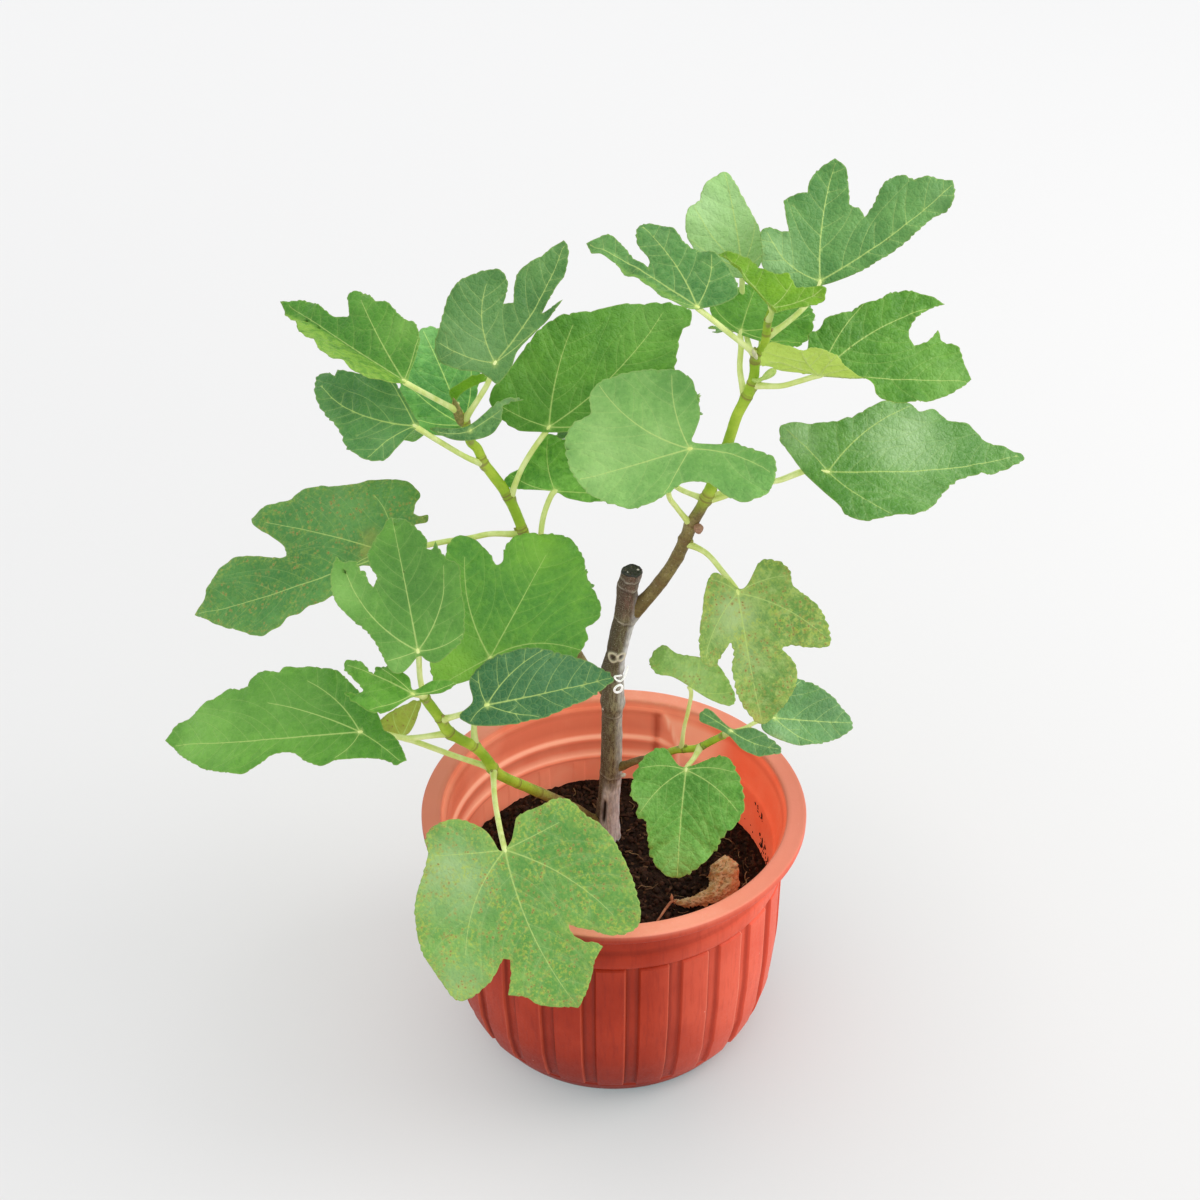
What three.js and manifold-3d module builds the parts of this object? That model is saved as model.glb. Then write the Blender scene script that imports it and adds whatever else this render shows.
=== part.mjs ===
// A young fig tree in a ribbed round plastic pot.
// Millimetres, +Z up. The origin is the centre of the flat underside of the pot;
// X runs to the right, Y runs to the back. The bole stands behind the middle of the pot.
import * as THREE from "three";
import { mergeVertices } from "three/addons/utils/BufferGeometryUtils.js";
import Module from "manifold-3d";

const wasm = await Module();
wasm.setup();

// ---------------------------------------------------------------- sizes
const GAP = 0.4;              // clearance between neighbouring pieces
const POT_HEIGHT = 190;
const RIM_OUTER = 140;        // radius of the turned-out lip
const RIM_INNER = 126.5;      // radius of the mouth
const LIP_DEPTH = 7;          // height of the lip's outer edge
const FOOT_RADIUS = 101;
const FLOOR = 5;              // thickness of the pot's floor
const PANELS = 25;            // raised flat panels round the body
const PANEL_TURN = -76.3;     // bearing of the middle of one panel, degrees
const PANEL_STEP = 2.2;       // how far a panel stands proud
const PANEL_SHARE = 0.7;      // share of the pitch that is panel
const PANEL_BOTTOM = 14;
const PANEL_TOP = 143;
const DRAINS = 6;             // drain holes in the floor
const DRAIN_RADIUS = 5;
const DRAIN_CIRCLE = 62;
const SOIL_TOP = 120;         // height of the soil's surface
const BLADE = 2.0;            // thickness of a leaf's blade
const STALK_SIDES = 6;

// outer wall, [height, radius], between the foot ring and the lip
const WALL = [[0, 101], [11, 107], [25, 113], [45, 118], [85, 121.5], [143, 121.8], [178, 122.4]];
// inner wall, [height, radius]
const INNER = [[FLOOR, 98], [45, 112.5], [SOIL_TOP, 116.8], [176, 119.4]];

// Limbs: [x, y, z, radius] from the base to the tip
const LIMBS = {
  trunk: [[-5.8, 46, SOIL_TOP + GAP, 12.6], [-5.2, 45, 134, 10.2], [-3.4, 43.4, 178, 9.4], [-2.3, 40, 243, 9.1], [-1.6, 39, 255, 10.2], [-0.3, 37, 289, 8.6], [4.6, 35, 320, 8.8], [9.3, 33, 347, 8.6], [11.9, 31, 373.2, 7.3]],
  bough_right: [[19.8, 30, 347.9, 5.9], [40, 25, 383.1, 5.3], [51.3, 20, 418.1, 5.1], [63.1, 15, 448.8, 4.7], [78.3, 6, 510.2, 4.3], [88.3, 0, 556, 3.7], [96.2, 0, 589.5, 2.4]],
  bough_upper_left: [[-8.9, 44, 248.6, 5.5], [-26.5, 56, 281.3, 4.6], [-53.4, 68, 349.2, 4.3], [-68.3, 71, 391, 4.3], [-90.8, 70, 436.4, 4.0], [-107, 68, 478.4, 2.8]],
  bough_lower_left: [[-16.4, 40, 140, 5.3], [-45.5, 14, 183.2, 4.9], [-83.8, -28, 242.6, 4.9], [-96.4, -37, 271.2, 4.6], [-113.8, -44, 290.6, 4.8], [-128.2, -50, 324.2, 4.0]],
  shoot_low_right: [[8.3, 36, 197, 3.0], [30.7, 16, 220.8, 2.9], [44.8, 8, 233.7, 2.9], [59.6, 3, 239.6, 2.9], [78.2, -3, 256.3, 2.7]],
};
// where each bough leaves the bole: the height of the join is cut clear by GAP
const SIDES = { trunk: 12, bough_right: 8, bough_upper_left: 8, bough_lower_left: 8, shoot_low_right: 8 };

// Leaves. at: where the stalk meets the blade. aim: bearing and rise of the
// midrib and its roll, degrees. reach: midrib length. droop: degrees bent down
// over the reach. fold: rise of the left and the right half, degrees. stalk:
// radius of the stalk. stem: the stalk's course. lobes: [bearing from the
// midrib, reach] of each tip, shoulder and sinus of the outline.
const LEAVES = [
  {"name": "leaf_front_low", "at": [-72.4, -118.0, 248.1], "aim": [-53.6, -44.2, -33.5], "reach": 114.6, "droop": 14, "fold": [4, 4], "stalk": 2.10, "on": "bough_lower_left",
   "stem": [[-84.9, -29.0, 245.8], [-82.0, -62.5, 245.0], [-72.4, -118.0, 248.1]],
   "lobes": [[-1, 117], [21, 90], [15, 67], [23, 82], [32, 98], [38, 101], [57, 84], [69, 72], [105, 53], [123, 28], [132, 14], [96, 4], [-138, 5], [-162, 20], [-152, 31], [-145, 41], [-131, 52], [-119, 54], [-110, 52], [-90, 66], [-78, 75], [-66, 85], [-53, 96], [-45, 104], [-40, 103], [-35, 95], [-27, 75], [-23, 73], [-23, 94]]},
  {"name": "leaf_left_long", "at": [-171.5, -62.0, 303.4], "aim": [175.0, -7.2, 27.5], "reach": 136.9, "droop": 16, "fold": [6, 6], "stalk": 2.13, "on": "bough_lower_left",
   "stem": [[-111.9, -43.2, 288.3], [-142.6, -52.4, 290.9], [-155.5, -56.7, 297.7], [-171.5, -62.0, 303.4]],
   "lobes": [[-4, 148], [1, 134], [15, 95], [16, 86], [14, 54], [45, 35], [96, 20], [133, 39], [145, 42], [168, 20], [-89, 30], [-69, 49], [-59, 58], [-46, 72], [-41, 71], [-34, 88], [-25, 90], [-21, 106], [-18, 108], [-16, 118], [-12, 118], [-8, 138]]},
  {"name": "leaf_left_upright", "at": [-129.0, -62.0, 371.1], "aim": [105.0, 36.9, 12.1], "reach": 96.3, "droop": 10, "fold": [8, 8], "stalk": 2.07, "on": "bough_lower_left",
   "stem": [[-128.2, -50.0, 324.2], [-129.5, -55.0, 343.9], [-129.0, -62.0, 371.1]],
   "lobes": [[0, 100], [14, 82], [19, 70], [18, 58], [24, 77], [29, 88], [38, 78], [44, 66], [54, 47], [134, 20], [151, 12], [161, 4], [-138, 15], [-115, 22], [-93, 30], [-72, 36], [-41, 56], [-32, 62], [-20, 75]]},
  {"name": "leaf_left_inner", "at": [-85.2, -16.0, 332.3], "aim": [59.9, 31.7, -20.1], "reach": 84.0, "droop": 10, "fold": [8, 8], "stalk": 2.16, "on": "bough_lower_left",
   "stem": [[-96.4, -37.0, 271.2], [-96.8, -31.3, 288.7], [-93.7, -23.8, 310.8], [-85.2, -16.0, 332.3]],
   "lobes": [[-5, 106], [10, 98], [17, 90], [22, 67], [32, 84], [38, 90], [44, 88], [50, 80], [73, 48], [128, 44], [151, 40], [-165, 13], [-103, 27], [-65, 60], [-55, 68], [-48, 70], [-44, 81], [-37, 86], [-30, 85], [-12, 103]]},
  {"name": "leaf_left_dark", "at": [-84.7, -66.0, 329.9], "aim": [14.9, 4.6, -38.6], "reach": 87.7, "droop": 10, "fold": [8, 8], "stalk": 2.10, "on": "bough_lower_left",
   "stem": [[-118.0, -46.0, 301.7], [-104.8, -53.7, 312.0], [-84.7, -66.0, 329.9]],
   "lobes": [[1, 89], [39, 50], [57, 38], [80, 29], [113, 20], [153, 10], [-170, 20], [-145, 18], [-108, 15], [-33, 32], [-6, 74]]},
  {"name": "leaf_left_young", "at": [-132.1, -78.0, 347.8], "aim": [155.2, 9.7, 33.0], "reach": 51.2, "droop": 20, "fold": [8, 8], "stalk": 1.48, "on": "bough_lower_left",
   "stem": [[-128.2, -50.0, 324.2], [-130.1, -62.5, 334.5], [-132.1, -78.0, 347.8]],
   "lobes": [[-4, 58], [1, 56], [19, 35], [23, 46], [47, 31], [63, 23], [136, 2], [-153, 21], [-141, 29], [-123, 17], [-63, 3], [-50, 12], [-23, 26], [-11, 34], [-3, 32], [-9, 44]]},
  {"name": "leaf_left_folded_old", "at": [-146.7, -36.0, 278.9], "aim": [30.2, 60.8, -43.3], "reach": 29.6, "droop": 0, "fold": [8, 8], "stalk": 2.18, "on": "bough_lower_left",
   "stem": [[-84.9, -29.0, 245.8], [-111.1, -31.8, 259.0], [-138.7, -35.1, 274.7], [-146.7, -36.0, 278.9]],
   "lobes": [[0, 30], [83, 19], [110, 13], [-35, 5]]},
  {"name": "leaf_left_two_lobed", "at": [-158.5, 52.0, 373.5], "aim": [-173.6, -13.6, 28.8], "reach": 142.9, "droop": 16, "fold": [8, 8], "stalk": 2.21, "on": "bough_upper_left",
   "stem": [[-64.5, 70.0, 379.0], [-69.9, 69.0, 378.9], [-88.1, 65.6, 381.0], [-102.1, 62.9, 379.3], [-120.9, 59.3, 378.2], [-158.5, 52.0, 373.5]],
   "lobes": [[-2, 152], [8, 129], [21, 102], [22, 93], [19, 84], [28, 49], [95, 24], [148, 23], [-149, 37], [-135, 32], [-128, 49], [-117, 54], [-93, 57], [-51, 83], [-44, 88], [-36, 105], [-31, 109], [-19, 79], [-14, 77], [-16, 116], [-15, 125]]},
  {"name": "leaf_mid_upright", "at": [-79.8, 52.0, 523.6], "aim": [54.4, 37.8, -30.2], "reach": 97.3, "droop": 8, "fold": [8, 8], "stalk": 2.08, "on": "bough_upper_left",
   "stem": [[-103.3, 68.8, 470.4], [-92.0, 62.6, 491.4], [-85.3, 57.8, 505.5], [-79.8, 52.0, 523.6]],
   "lobes": [[0, 100], [12, 68], [12, 44], [19, 41], [17, 52], [22, 61], [29, 64], [53, 58], [100, 42], [119, 31], [-162, 15], [-57, 13], [-19, 62], [-14, 48], [-10, 77]]},
  {"name": "leaf_mid_keeled", "at": [-136.9, 20.0, 527.1], "aim": [143.2, 11.9, 29.4], "reach": 110.3, "droop": 6, "fold": [84, 0], "stalk": 2.04, "on": "bough_upper_left",
   "stem": [[-107.0, 68.0, 478.4], [-123.2, 45.3, 502.3], [-136.9, 20.0, 527.1]],
   "lobes": [[0, 108], [6, 101], [8, 74], [13, 69], [17, 78], [21, 80], [33, 60], [58, 33], [-90, 0], [-64, 39], [-39, 64], [-35, 65], [-32, 74], [-26, 82], [-21, 80], [-16, 70], [-10, 75], [-7, 101]]},
  {"name": "leaf_mid_cupped", "at": [-104.9, 79.0, 461.3], "aim": [119.0, 32.0, 19.5], "reach": 78.3, "droop": 8, "fold": [8, 8], "stalk": 2.17, "on": "bough_upper_left",
   "stem": [[-102.0, 69.0, 467.7], [-103.0, 73.4, 466.8], [-104.9, 79.0, 461.3]],
   "lobes": [[0, 82], [5, 78], [40, 50], [63, 43], [111, 12], [-99, 2], [-41, 40], [-28, 56], [-16, 62], [-11, 76], [-6, 81]]},
  {"name": "leaf_mid_low", "at": [-133.0, 34.0, 485.9], "aim": [149.2, 12.1, 32.2], "reach": 79.3, "droop": 12, "fold": [8, 8], "stalk": 2.09, "on": "bough_upper_left",
   "stem": [[-90.2, 70.1, 435.3], [-99.9, 63.8, 443.2], [-118.3, 47.8, 465.8], [-133.0, 34.0, 485.9]],
   "lobes": [[-3, 87], [10, 76], [38, 50], [50, 42], [63, 42], [81, 35], [87, 30], [84, 4], [-42, 11], [-39, 24], [-32, 38], [-20, 53]]},
  {"name": "leaf_mid_broad", "at": [-45.6, 74.0, 462.8], "aim": [44.9, 36.0, -30.5], "reach": 108.3, "droop": 10, "fold": [8, 8], "stalk": 2.16, "on": "bough_upper_left",
   "stem": [[-73.9, 71.0, 406.4], [-65.4, 72.1, 429.6], [-57.5, 72.9, 444.4], [-45.6, 74.0, 462.8]],
   "lobes": [[-13, 131], [-8, 125], [2, 110], [32, 76], [43, 67], [98, 46], [109, 32], [117, 20], [-75, 12], [-51, 52], [-44, 74], [-34, 90], [-18, 115], [-18, 122]]},
  {"name": "leaf_mid_under", "at": [-42.1, 75.0, 410.9], "aim": [11.3, 6.1, -41.1], "reach": 40.9, "droop": 8, "fold": [8, 8], "stalk": 2.21, "on": "bough_upper_left",
   "stem": [[-52.7, 67.8, 347.3], [-52.4, 71.2, 377.6], [-49.3, 73.1, 395.6], [-42.1, 75.0, 410.9]],
   "lobes": [[-4, 43], [11, 42], [67, 37], [87, 41], [131, 29], [154, 36], [163, 35], [-60, 1], [-43, 11], [-22, 37]]},
  {"name": "leaf_right_pale_front", "at": [47.4, -24.0, 502.9], "aim": [-173.7, -8.6, 37.8], "reach": 74.3, "droop": 8, "fold": [8, 8], "stalk": 2.00, "on": "bough_right",
   "stem": [[51.3, 20.0, 418.1], [41.3, 11.4, 436.9], [35.6, 3.9, 450.8], [36.7, -9.7, 478.8], [47.4, -24.0, 502.9]],
   "lobes": [[-14, 81], [4, 76], [24, 64], [36, 55], [62, 28], [104, 30], [117, 49], [127, 56], [143, 59], [160, 53], [167, 42], [-101, 5], [-117, 20], [-110, 34], [-102, 48], [-91, 52], [-64, 66], [-52, 70], [-41, 73], [-30, 69], [-20, 78]]},
  {"name": "leaf_right_diamond", "at": [139.1, 2.0, 470.9], "aim": [11.9, -1.2, -29.6], "reach": 136.5, "droop": 16, "fold": [8, 8], "stalk": 2.06, "on": "bough_right",
   "stem": [[59.8, 16.8, 439.2], [73.2, 14.8, 444.3], [93.7, 10.6, 459.4], [106.0, 8.4, 460.0], [128.1, 4.0, 471.1], [139.1, 2.0, 470.9]],
   "lobes": [[4, 148], [9, 120], [15, 113], [21, 97], [27, 94], [29, 82], [35, 81], [44, 69], [68, 38], [129, 43], [-92, 25], [-76, 41], [-63, 47], [-49, 50], [-35, 66], [-6, 92], [-2, 120]]},
  {"name": "leaf_right_keeled", "open": [30, 48], "at": [127.4, -18.0, 553.1], "aim": [3.0, -5.1, -39.3], "reach": 96.8, "droop": 6, "fold": [0, 95], "stalk": 1.96, "on": "bough_right",
   "stem": [[86.4, 2.6, 534.6], [104.0, -5.1, 538.2], [115.8, -11.5, 545.3], [127.4, -18.0, 553.1]],
   "lobes": [[34, 100], [47, 85], [52, 76], [87, 37], [104, 28], [123, 16], [-178, 29], [-159, 42], [-130, 52], [-115, 31], [-101, 40], [-70, 25], [-21, 37], [-11, 73], [-3, 89], [3, 99], [16, 93], [19, 85], [25, 86], [23, 62], [31, 67]]},
  {"name": "leaf_top_upright", "at": [127.8, 22.0, 598.1], "aim": [78.9, 50.4, -13.3], "reach": 78.8, "droop": 8, "fold": [8, 8], "stalk": 1.98, "on": "bough_right",
   "stem": [[93.5, 0.0, 569.5], [106.0, 6.0, 576.1], [118.6, 13.7, 584.9], [127.8, 22.0, 598.1]],
   "lobes": [[-46, 106], [-32, 88], [-26, 75], [-25, 51], [-16, 53], [-6, 78], [-1, 81], [13, 64], [14, 58], [25, 58], [33, 52], [43, 36], [56, 48], [77, 38], [89, 30], [115, 12], [-96, 6], [-59, 59], [-52, 97]]},
  {"name": "leaf_top_keeled", "at": [49.3, -22.0, 601.5], "aim": [144.0, 12.9, 28.3], "reach": 86.5, "droop": 6, "fold": [75, 0], "stalk": 1.92, "on": "bough_right",
   "stem": [[89.0, 0.0, 557.3], [70.8, -8.9, 576.7], [49.3, -22.0, 601.5]],
   "lobes": [[0, 83], [5, 80], [4, 44], [9, 62], [13, 69], [18, 59], [59, 23], [120, 17], [153, 19], [-90, 0], [-135, 25], [-106, 31], [-73, 40], [-54, 44], [-34, 67], [-24, 74], [-17, 65], [-15, 47], [-9, 44], [-10, 80]]},
  {"name": "leaf_top_back", "at": [80.6, 52.0, 592.7], "aim": [103.2, 45.4, 12.4], "reach": 66.1, "droop": 8, "fold": [8, 8], "stalk": 2.02, "on": "bough_right",
   "stem": [[89.9, 0.0, 559.0], [86.1, 16.8, 569.9], [82.7, 35.4, 581.8], [80.6, 52.0, 592.7]],
   "lobes": [[0, 68], [11, 64], [29, 56], [42, 47], [73, 24], [103, 15], [170, 5], [-102, 12], [-64, 19], [-37, 31]]},
  {"name": "leaf_top_young", "at": [95.3, -10.0, 595.1], "aim": [126.1, 20.8, 18.0], "reach": 53.0, "droop": 4, "fold": [78, 0], "stalk": 1.66, "on": "bough_right",
   "stem": [[94.6, 0.0, 580.4], [96.0, -5.0, 587.9], [95.3, -10.0, 595.1]],
   "lobes": [[0, 55], [132, 16], [143, 16], [90, 0], [-6, 45], [-90, 0], [-115, 31], [-108, 35], [-100, 35], [-78, 21], [-57, 26], [-24, 29], [-16, 40]]},
  {"name": "leaf_top_under", "at": [80.2, 30.0, 559.0], "aim": [61.9, 30.3, -15.1], "reach": 31.5, "droop": 8, "fold": [8, 8], "stalk": 2.02, "on": "bough_right",
   "stem": [[83.1, 4.0, 523.6], [79.5, 13.9, 539.4], [80.2, 23.8, 551.4], [80.2, 30.0, 559.0]],
   "lobes": [[-46, 48], [-24, 44], [0, 41], [44, 29], [79, 25], [96, 12], [-90, 36], [-80, 42], [-61, 47]]},
  {"name": "leaf_right_hanging", "at": [82.7, -14.0, 385.8], "aim": [-66.8, -61.0, -14.4], "reach": 90.9, "droop": 12, "fold": [8, 8], "stalk": 2.11, "on": "bough_right",
   "stem": [[47.0, 22.4, 402.9], [61.7, 11.9, 400.8], [72.3, -0.3, 394.3], [82.7, -14.0, 385.8]],
   "lobes": [[1, 94], [17, 80], [25, 71], [29, 60], [29, 48], [50, 71], [58, 66], [70, 55], [89, 37], [103, 38], [119, 34], [134, 27], [125, 4], [-140, 22], [-49, 44], [-40, 52], [-29, 52], [-21, 34], [-15, 39], [-14, 56], [-9, 73]]},
  {"name": "leaf_low_small", "at": [53.0, -4.0, 297.7], "aim": [140.0, 20.8, 27.1], "reach": 37.0, "droop": 8, "fold": [8, 8], "stalk": 1.57, "on": "shoot_low_right",
   "stem": [[48.5, 6.8, 235.2], [49.9, 3.1, 257.6], [52.2, 0.2, 274.3], [53.0, -4.0, 297.7]],
   "lobes": [[-7, 39], [7, 36], [18, 27], [7, 15], [-166, 17], [-160, 32], [-151, 33], [-99, 26], [-77, 25], [-27, 28], [-17, 38]]},
  {"name": "leaf_low_heart", "at": [51.1, -22.0, 239.6], "aim": [-96.6, -51.1, 8.0], "reach": 76.1, "droop": 8, "fold": [8, 8], "stalk": 1.91, "on": "shoot_low_right",
   "stem": [[62.2, 2.2, 241.8], [57.1, -9.3, 240.3], [51.1, -22.0, 239.6]],
   "lobes": [[0, 77], [24, 61], [35, 53], [48, 52], [66, 47], [108, 32], [117, 26], [-122, 4], [-131, 21], [-119, 27], [-94, 34], [-61, 44], [-52, 42], [-43, 48], [-37, 46], [-20, 63], [-12, 72]]},
  {"name": "leaf_low_young", "at": [82.2, -14.0, 268.5], "aim": [155.8, 17.4, 21.8], "reach": 24.9, "droop": 6, "fold": [8, 8], "stalk": 1.58, "on": "shoot_low_right",
   "stem": [[78.2, -3.0, 256.3], [80.0, -7.3, 260.5], [82.2, -14.0, 268.5]],
   "lobes": [[-172, 38], [-142, 16], [-87, 2], [-17, 23], [-7, 25], [8, 24], [86, 4], [146, 16], [162, 25], [177, 34]]},
  {"name": "leaf_low_right", "at": [114.5, 6.0, 264.8], "aim": [3.0, -8.4, -33.9], "reach": 56.3, "droop": 10, "fold": [8, 8], "stalk": 1.60, "on": "shoot_low_right",
   "stem": [[78.2, -3.0, 256.3], [93.1, 0.2, 260.2], [100.9, 2.5, 263.8], [114.5, 6.0, 264.8]],
   "lobes": [[0, 58], [16, 51], [63, 34], [75, 22], [-147, 12], [-120, 14], [-46, 27], [-15, 45]]},
  {"name": "leaf_mid_tip", "at": [-108.5, 72.0, 480.8], "aim": [26.1, 36.8, -33.7], "reach": 29.3, "droop": 4, "fold": [8, 8], "stalk": 1.53, "on": "bough_upper_left",
   "stem": [[-107.0, 68.0, 478.4], [-107.8, 70.0, 479.6], [-108.5, 72.0, 480.8]],
   "lobes": [[1, 29], [15, 26], [34, 18], [80, 12], [104, 7], [47, 0]]},
  {"name": "leaf_mid_cupped_lobe", "at": [-98.0, 50.0, 473.1], "aim": [24.1, 27.1, -45.4], "reach": 38.7, "droop": 4, "fold": [8, 8], "stalk": 1.21, "on": "bough_upper_left",
   "stem": [[-99.7, 69.0, 456.4], [-98.7, 58.1, 466.1], [-98.0, 50.0, 473.1]],
   "lobes": [[-4, 42], [9, 31], [94, 4], [141, 27], [180, 11], [-48, 14], [-18, 22], [2, 29]]},
  {"name": "leaf_back_broad", "at": [10.0, 98.0, 446.0], "aim": [100.0, -16.0, 4.0], "reach": 98.0, "droop": 18, "fold": [8, 8], "stalk": 2.0, "on": "bough_right",
   "stem": [[60.0, 17.0, 440.0], [38.0, 52.0, 432.0], [10.0, 98.0, 446.0]],
   "lobes": [[0, 98], [13, 83], [20, 52], [29, 72], [45, 85], [60, 64], [79, 47], [99, 53], [124, 41], [149, 29], [173, 9], [-173, 8], [-150, 29], [-120, 43], [-98, 52], [-77, 52], [-60, 67], [-43, 92], [-30, 75], [-22, 51], [-12, 75]]},
  {"name": "leaf_back_low", "at": [-61.0, 112.0, 295.0], "aim": [112.0, -20.0, -4.0], "reach": 84.0, "droop": 16, "fold": [8, 8], "stalk": 2.0, "on": "bough_upper_left",
   "stem": [[-31.0, 58.0, 292.0], [-42.0, 84.0, 294.0], [-61.0, 112.0, 295.0]],
   "lobes": [[0, 84], [12, 65], [22, 40], [30, 64], [43, 69], [59, 60], [78, 38], [100, 45], [125, 36], [152, 26], [174, 8], [-175, 7], [-148, 24], [-123, 38], [-98, 47], [-78, 40], [-61, 64], [-42, 79], [-29, 60], [-20, 44], [-11, 68]]},
  {"name": "leaf_back_left", "at": [-137.0, 136.0, 430.0], "aim": [140.0, -18.0, 5.0], "reach": 78.0, "droop": 16, "fold": [8, 8], "stalk": 2.0, "on": "bough_upper_left",
   "stem": [[-100.5, 70.0, 462.0], [-119.0, 98.0, 444.0], [-137.0, 136.0, 430.0]],
   "lobes": [[0, 78], [11, 60], [22, 39], [28, 57], [44, 65], [61, 52], [78, 38], [100, 41], [126, 35], [149, 24], [175, 8], [-176, 7], [-151, 21], [-120, 34], [-98, 45], [-78, 40], [-61, 53], [-42, 74], [-31, 57], [-21, 42], [-11, 61]]},
  {"name": "leaf_back_top", "at": [96.0, 66.0, 540.0], "aim": [100.0, -20.0, 0.0], "reach": 62.0, "droop": 14, "fold": [8, 8], "stalk": 2.0, "on": "bough_right",
   "stem": [[88.0, 0.5, 551.0], [93.0, 32.0, 540.0], [96.0, 66.0, 540.0]],
   "lobes": [[0, 62], [15, 50], [23, 29], [30, 45], [45, 52], [61, 44], [80, 30], [100, 34], [127, 26], [152, 20], [173, 6], [-173, 5], [-149, 16], [-122, 27], [-98, 36], [-77, 30], [-60, 46], [-41, 56], [-31, 47], [-20, 33], [-12, 49]]},
  {"name": "leaf_back_right", "at": [160.0, 70.0, 421.0], "aim": [52.0, -24.0, -10.0], "reach": 72.0, "droop": 16, "fold": [8, 8], "stalk": 2.0, "on": "bough_right",
   "stem": [[61.6, 15.8, 443.0], [108.0, 40.0, 440.0], [160.0, 70.0, 421.0]],
   "lobes": [[0, 72], [14, 60], [21, 35], [28, 52], [44, 59], [58, 54], [79, 33], [100, 40], [127, 32], [150, 22], [175, 7], [-174, 6], [-148, 19], [-121, 33], [-99, 42], [-75, 34], [-59, 48], [-43, 64], [-31, 51], [-19, 36], [-13, 61]]},
  {"name": "fallen_leaf", "at": [51.9, -35.2, 127.0], "aim": [38.5, 17.8, -12.3], "reach": 41.1, "droop": 3, "fold": [25, 25], "stalk": 1.0, "on": "soil",
   "stem": [[32.7, -51.9, 123.6], [38.6, -42.2, 124.5], [51.9, -35.2, 127.0]],
   "lobes": [[-128, 4], [-98, 15], [-72, 23], [-52, 38], [-36, 40], [-17, 41], [0, 41], [6, 28], [-27, 18], [-23, 11], [-98, 3], [120, 8]]},
];

// ---------------------------------------------------------------- helpers
const rad = (d) => (d * Math.PI) / 180;
const V3 = (x, y, z) => new THREE.Vector3(x, y, z);

function geometryOf(points, faces) {
  const g = new THREE.BufferGeometry();
  g.setAttribute("position", new THREE.Float32BufferAttribute(points.flat(), 3));
  g.setIndex(faces.flat());
  g.computeVertexNormals();
  return g;
}

function solidOf(geometry) {
  let g = geometry.clone();
  g.deleteAttribute("normal");
  g.deleteAttribute("uv");
  g = mergeVertices(g, 1e-4);
  return new wasm.Manifold(new wasm.Mesh({
    numProp: 3,
    vertProperties: new Float32Array(g.attributes.position.array),
    triVerts: new Uint32Array(g.index.array),
  }));
}

function geometryFrom(solid) {
  const m = solid.getMesh();
  const g = new THREE.BufferGeometry();
  const p = [];
  for (let i = 0; i < m.vertProperties.length; i += m.numProp) {
    p.push(m.vertProperties[i], m.vertProperties[i + 1], m.vertProperties[i + 2]);
  }
  g.setAttribute("position", new THREE.Float32BufferAttribute(p, 3));
  g.setIndex(Array.from(m.triVerts));
  g.computeVertexNormals();
  return g;
}

// a closed tube through rings of [x, y, z, r]; level cuts the base flat
function taper(rings, sides, level = false) {
  const pts = [];
  const faces = [];
  const c = rings.map((r) => V3(r[0], r[1], r[2]));
  let side = null;
  rings.forEach((ring, i) => {
    const t = c[Math.min(i + 1, c.length - 1)].clone().sub(c[Math.max(i - 1, 0)]).normalize();
    if (!side) {
      side = Math.abs(t.z) > 0.9 ? V3(1, 0, 0) : V3(0, 0, 1).cross(t);
    }
    side = side.clone().sub(t.clone().multiplyScalar(side.dot(t))).normalize();
    const other = t.clone().cross(side);
    for (let k = 0; k < sides; k++) {
      const a = (2 * Math.PI * k) / sides;
      const p = c[i].clone()
        .addScaledVector(side, ring[3] * Math.cos(a))
        .addScaledVector(other, ring[3] * Math.sin(a));
      if (level && i === 0) p.z = ring[2];
      pts.push([p.x, p.y, p.z]);
    }
  });
  for (let i = 0; i + 1 < rings.length; i++) {
    for (let k = 0; k < sides; k++) {
      const a = i * sides + k;
      const b = i * sides + ((k + 1) % sides);
      faces.push([a, b, b + sides], [a, b + sides, a + sides]);
    }
  }
  const last = (rings.length - 1) * sides;
  for (let k = 1; k + 1 < sides; k++) {
    faces.push([0, k + 1, k], [last, last + k, last + k + 1]);
  }
  return geometryOf(pts, faces);
}

// rings of a limb, shortened at its base so that the whole end disc clears
// the limb it leaves
function clearOf(rings, host, extra = 0) {
  const d = (p, rp) => {
    let best = 1e9;
    for (let i = 0; i + 1 < host.length; i++) {
      const a = V3(...host[i].slice(0, 3));
      const b = V3(...host[i + 1].slice(0, 3));
      const ab = b.clone().sub(a);
      const t = Math.min(1, Math.max(0, p.clone().sub(a).dot(ab) / ab.lengthSq()));
      const q = a.addScaledVector(ab, t);
      const r = host[i][3] + (host[i + 1][3] - host[i][3]) * t;
      best = Math.min(best, p.distanceTo(q) - r - rp);
    }
    return best;
  };
  const out = rings.map((r) => [...r]);
  for (let guard = 0; guard < 400; guard++) {
    const a = V3(...out[0].slice(0, 3));
    if (d(a, out[0][3]) > GAP + extra) break;
    const b = V3(...out[1].slice(0, 3));
    const len = a.distanceTo(b);
    const step = Math.min(0.5, len * 0.999);
    const t = step / len;
    for (let j = 0; j < 4; j++) out[0][j] += (out[1][j] - out[0][j]) * t;
    if (len < 1.0 && out.length > 2) out.shift();
  }
  return out;
}

// ---------------------------------------------------------------- leaves
function frameOf(leaf) {
  const [bearing, rise, roll] = leaf.aim.map(rad);
  const U = V3(Math.cos(rise) * Math.cos(bearing), Math.cos(rise) * Math.sin(bearing), Math.sin(rise));
  const side = V3(0, 0, 1).cross(U).normalize();
  const up = U.clone().cross(side);
  const N = up.clone().multiplyScalar(Math.cos(roll)).addScaledVector(side, Math.sin(roll));
  return { A: V3(...leaf.at), U, N, V: N.clone().cross(U) };
}

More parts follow.
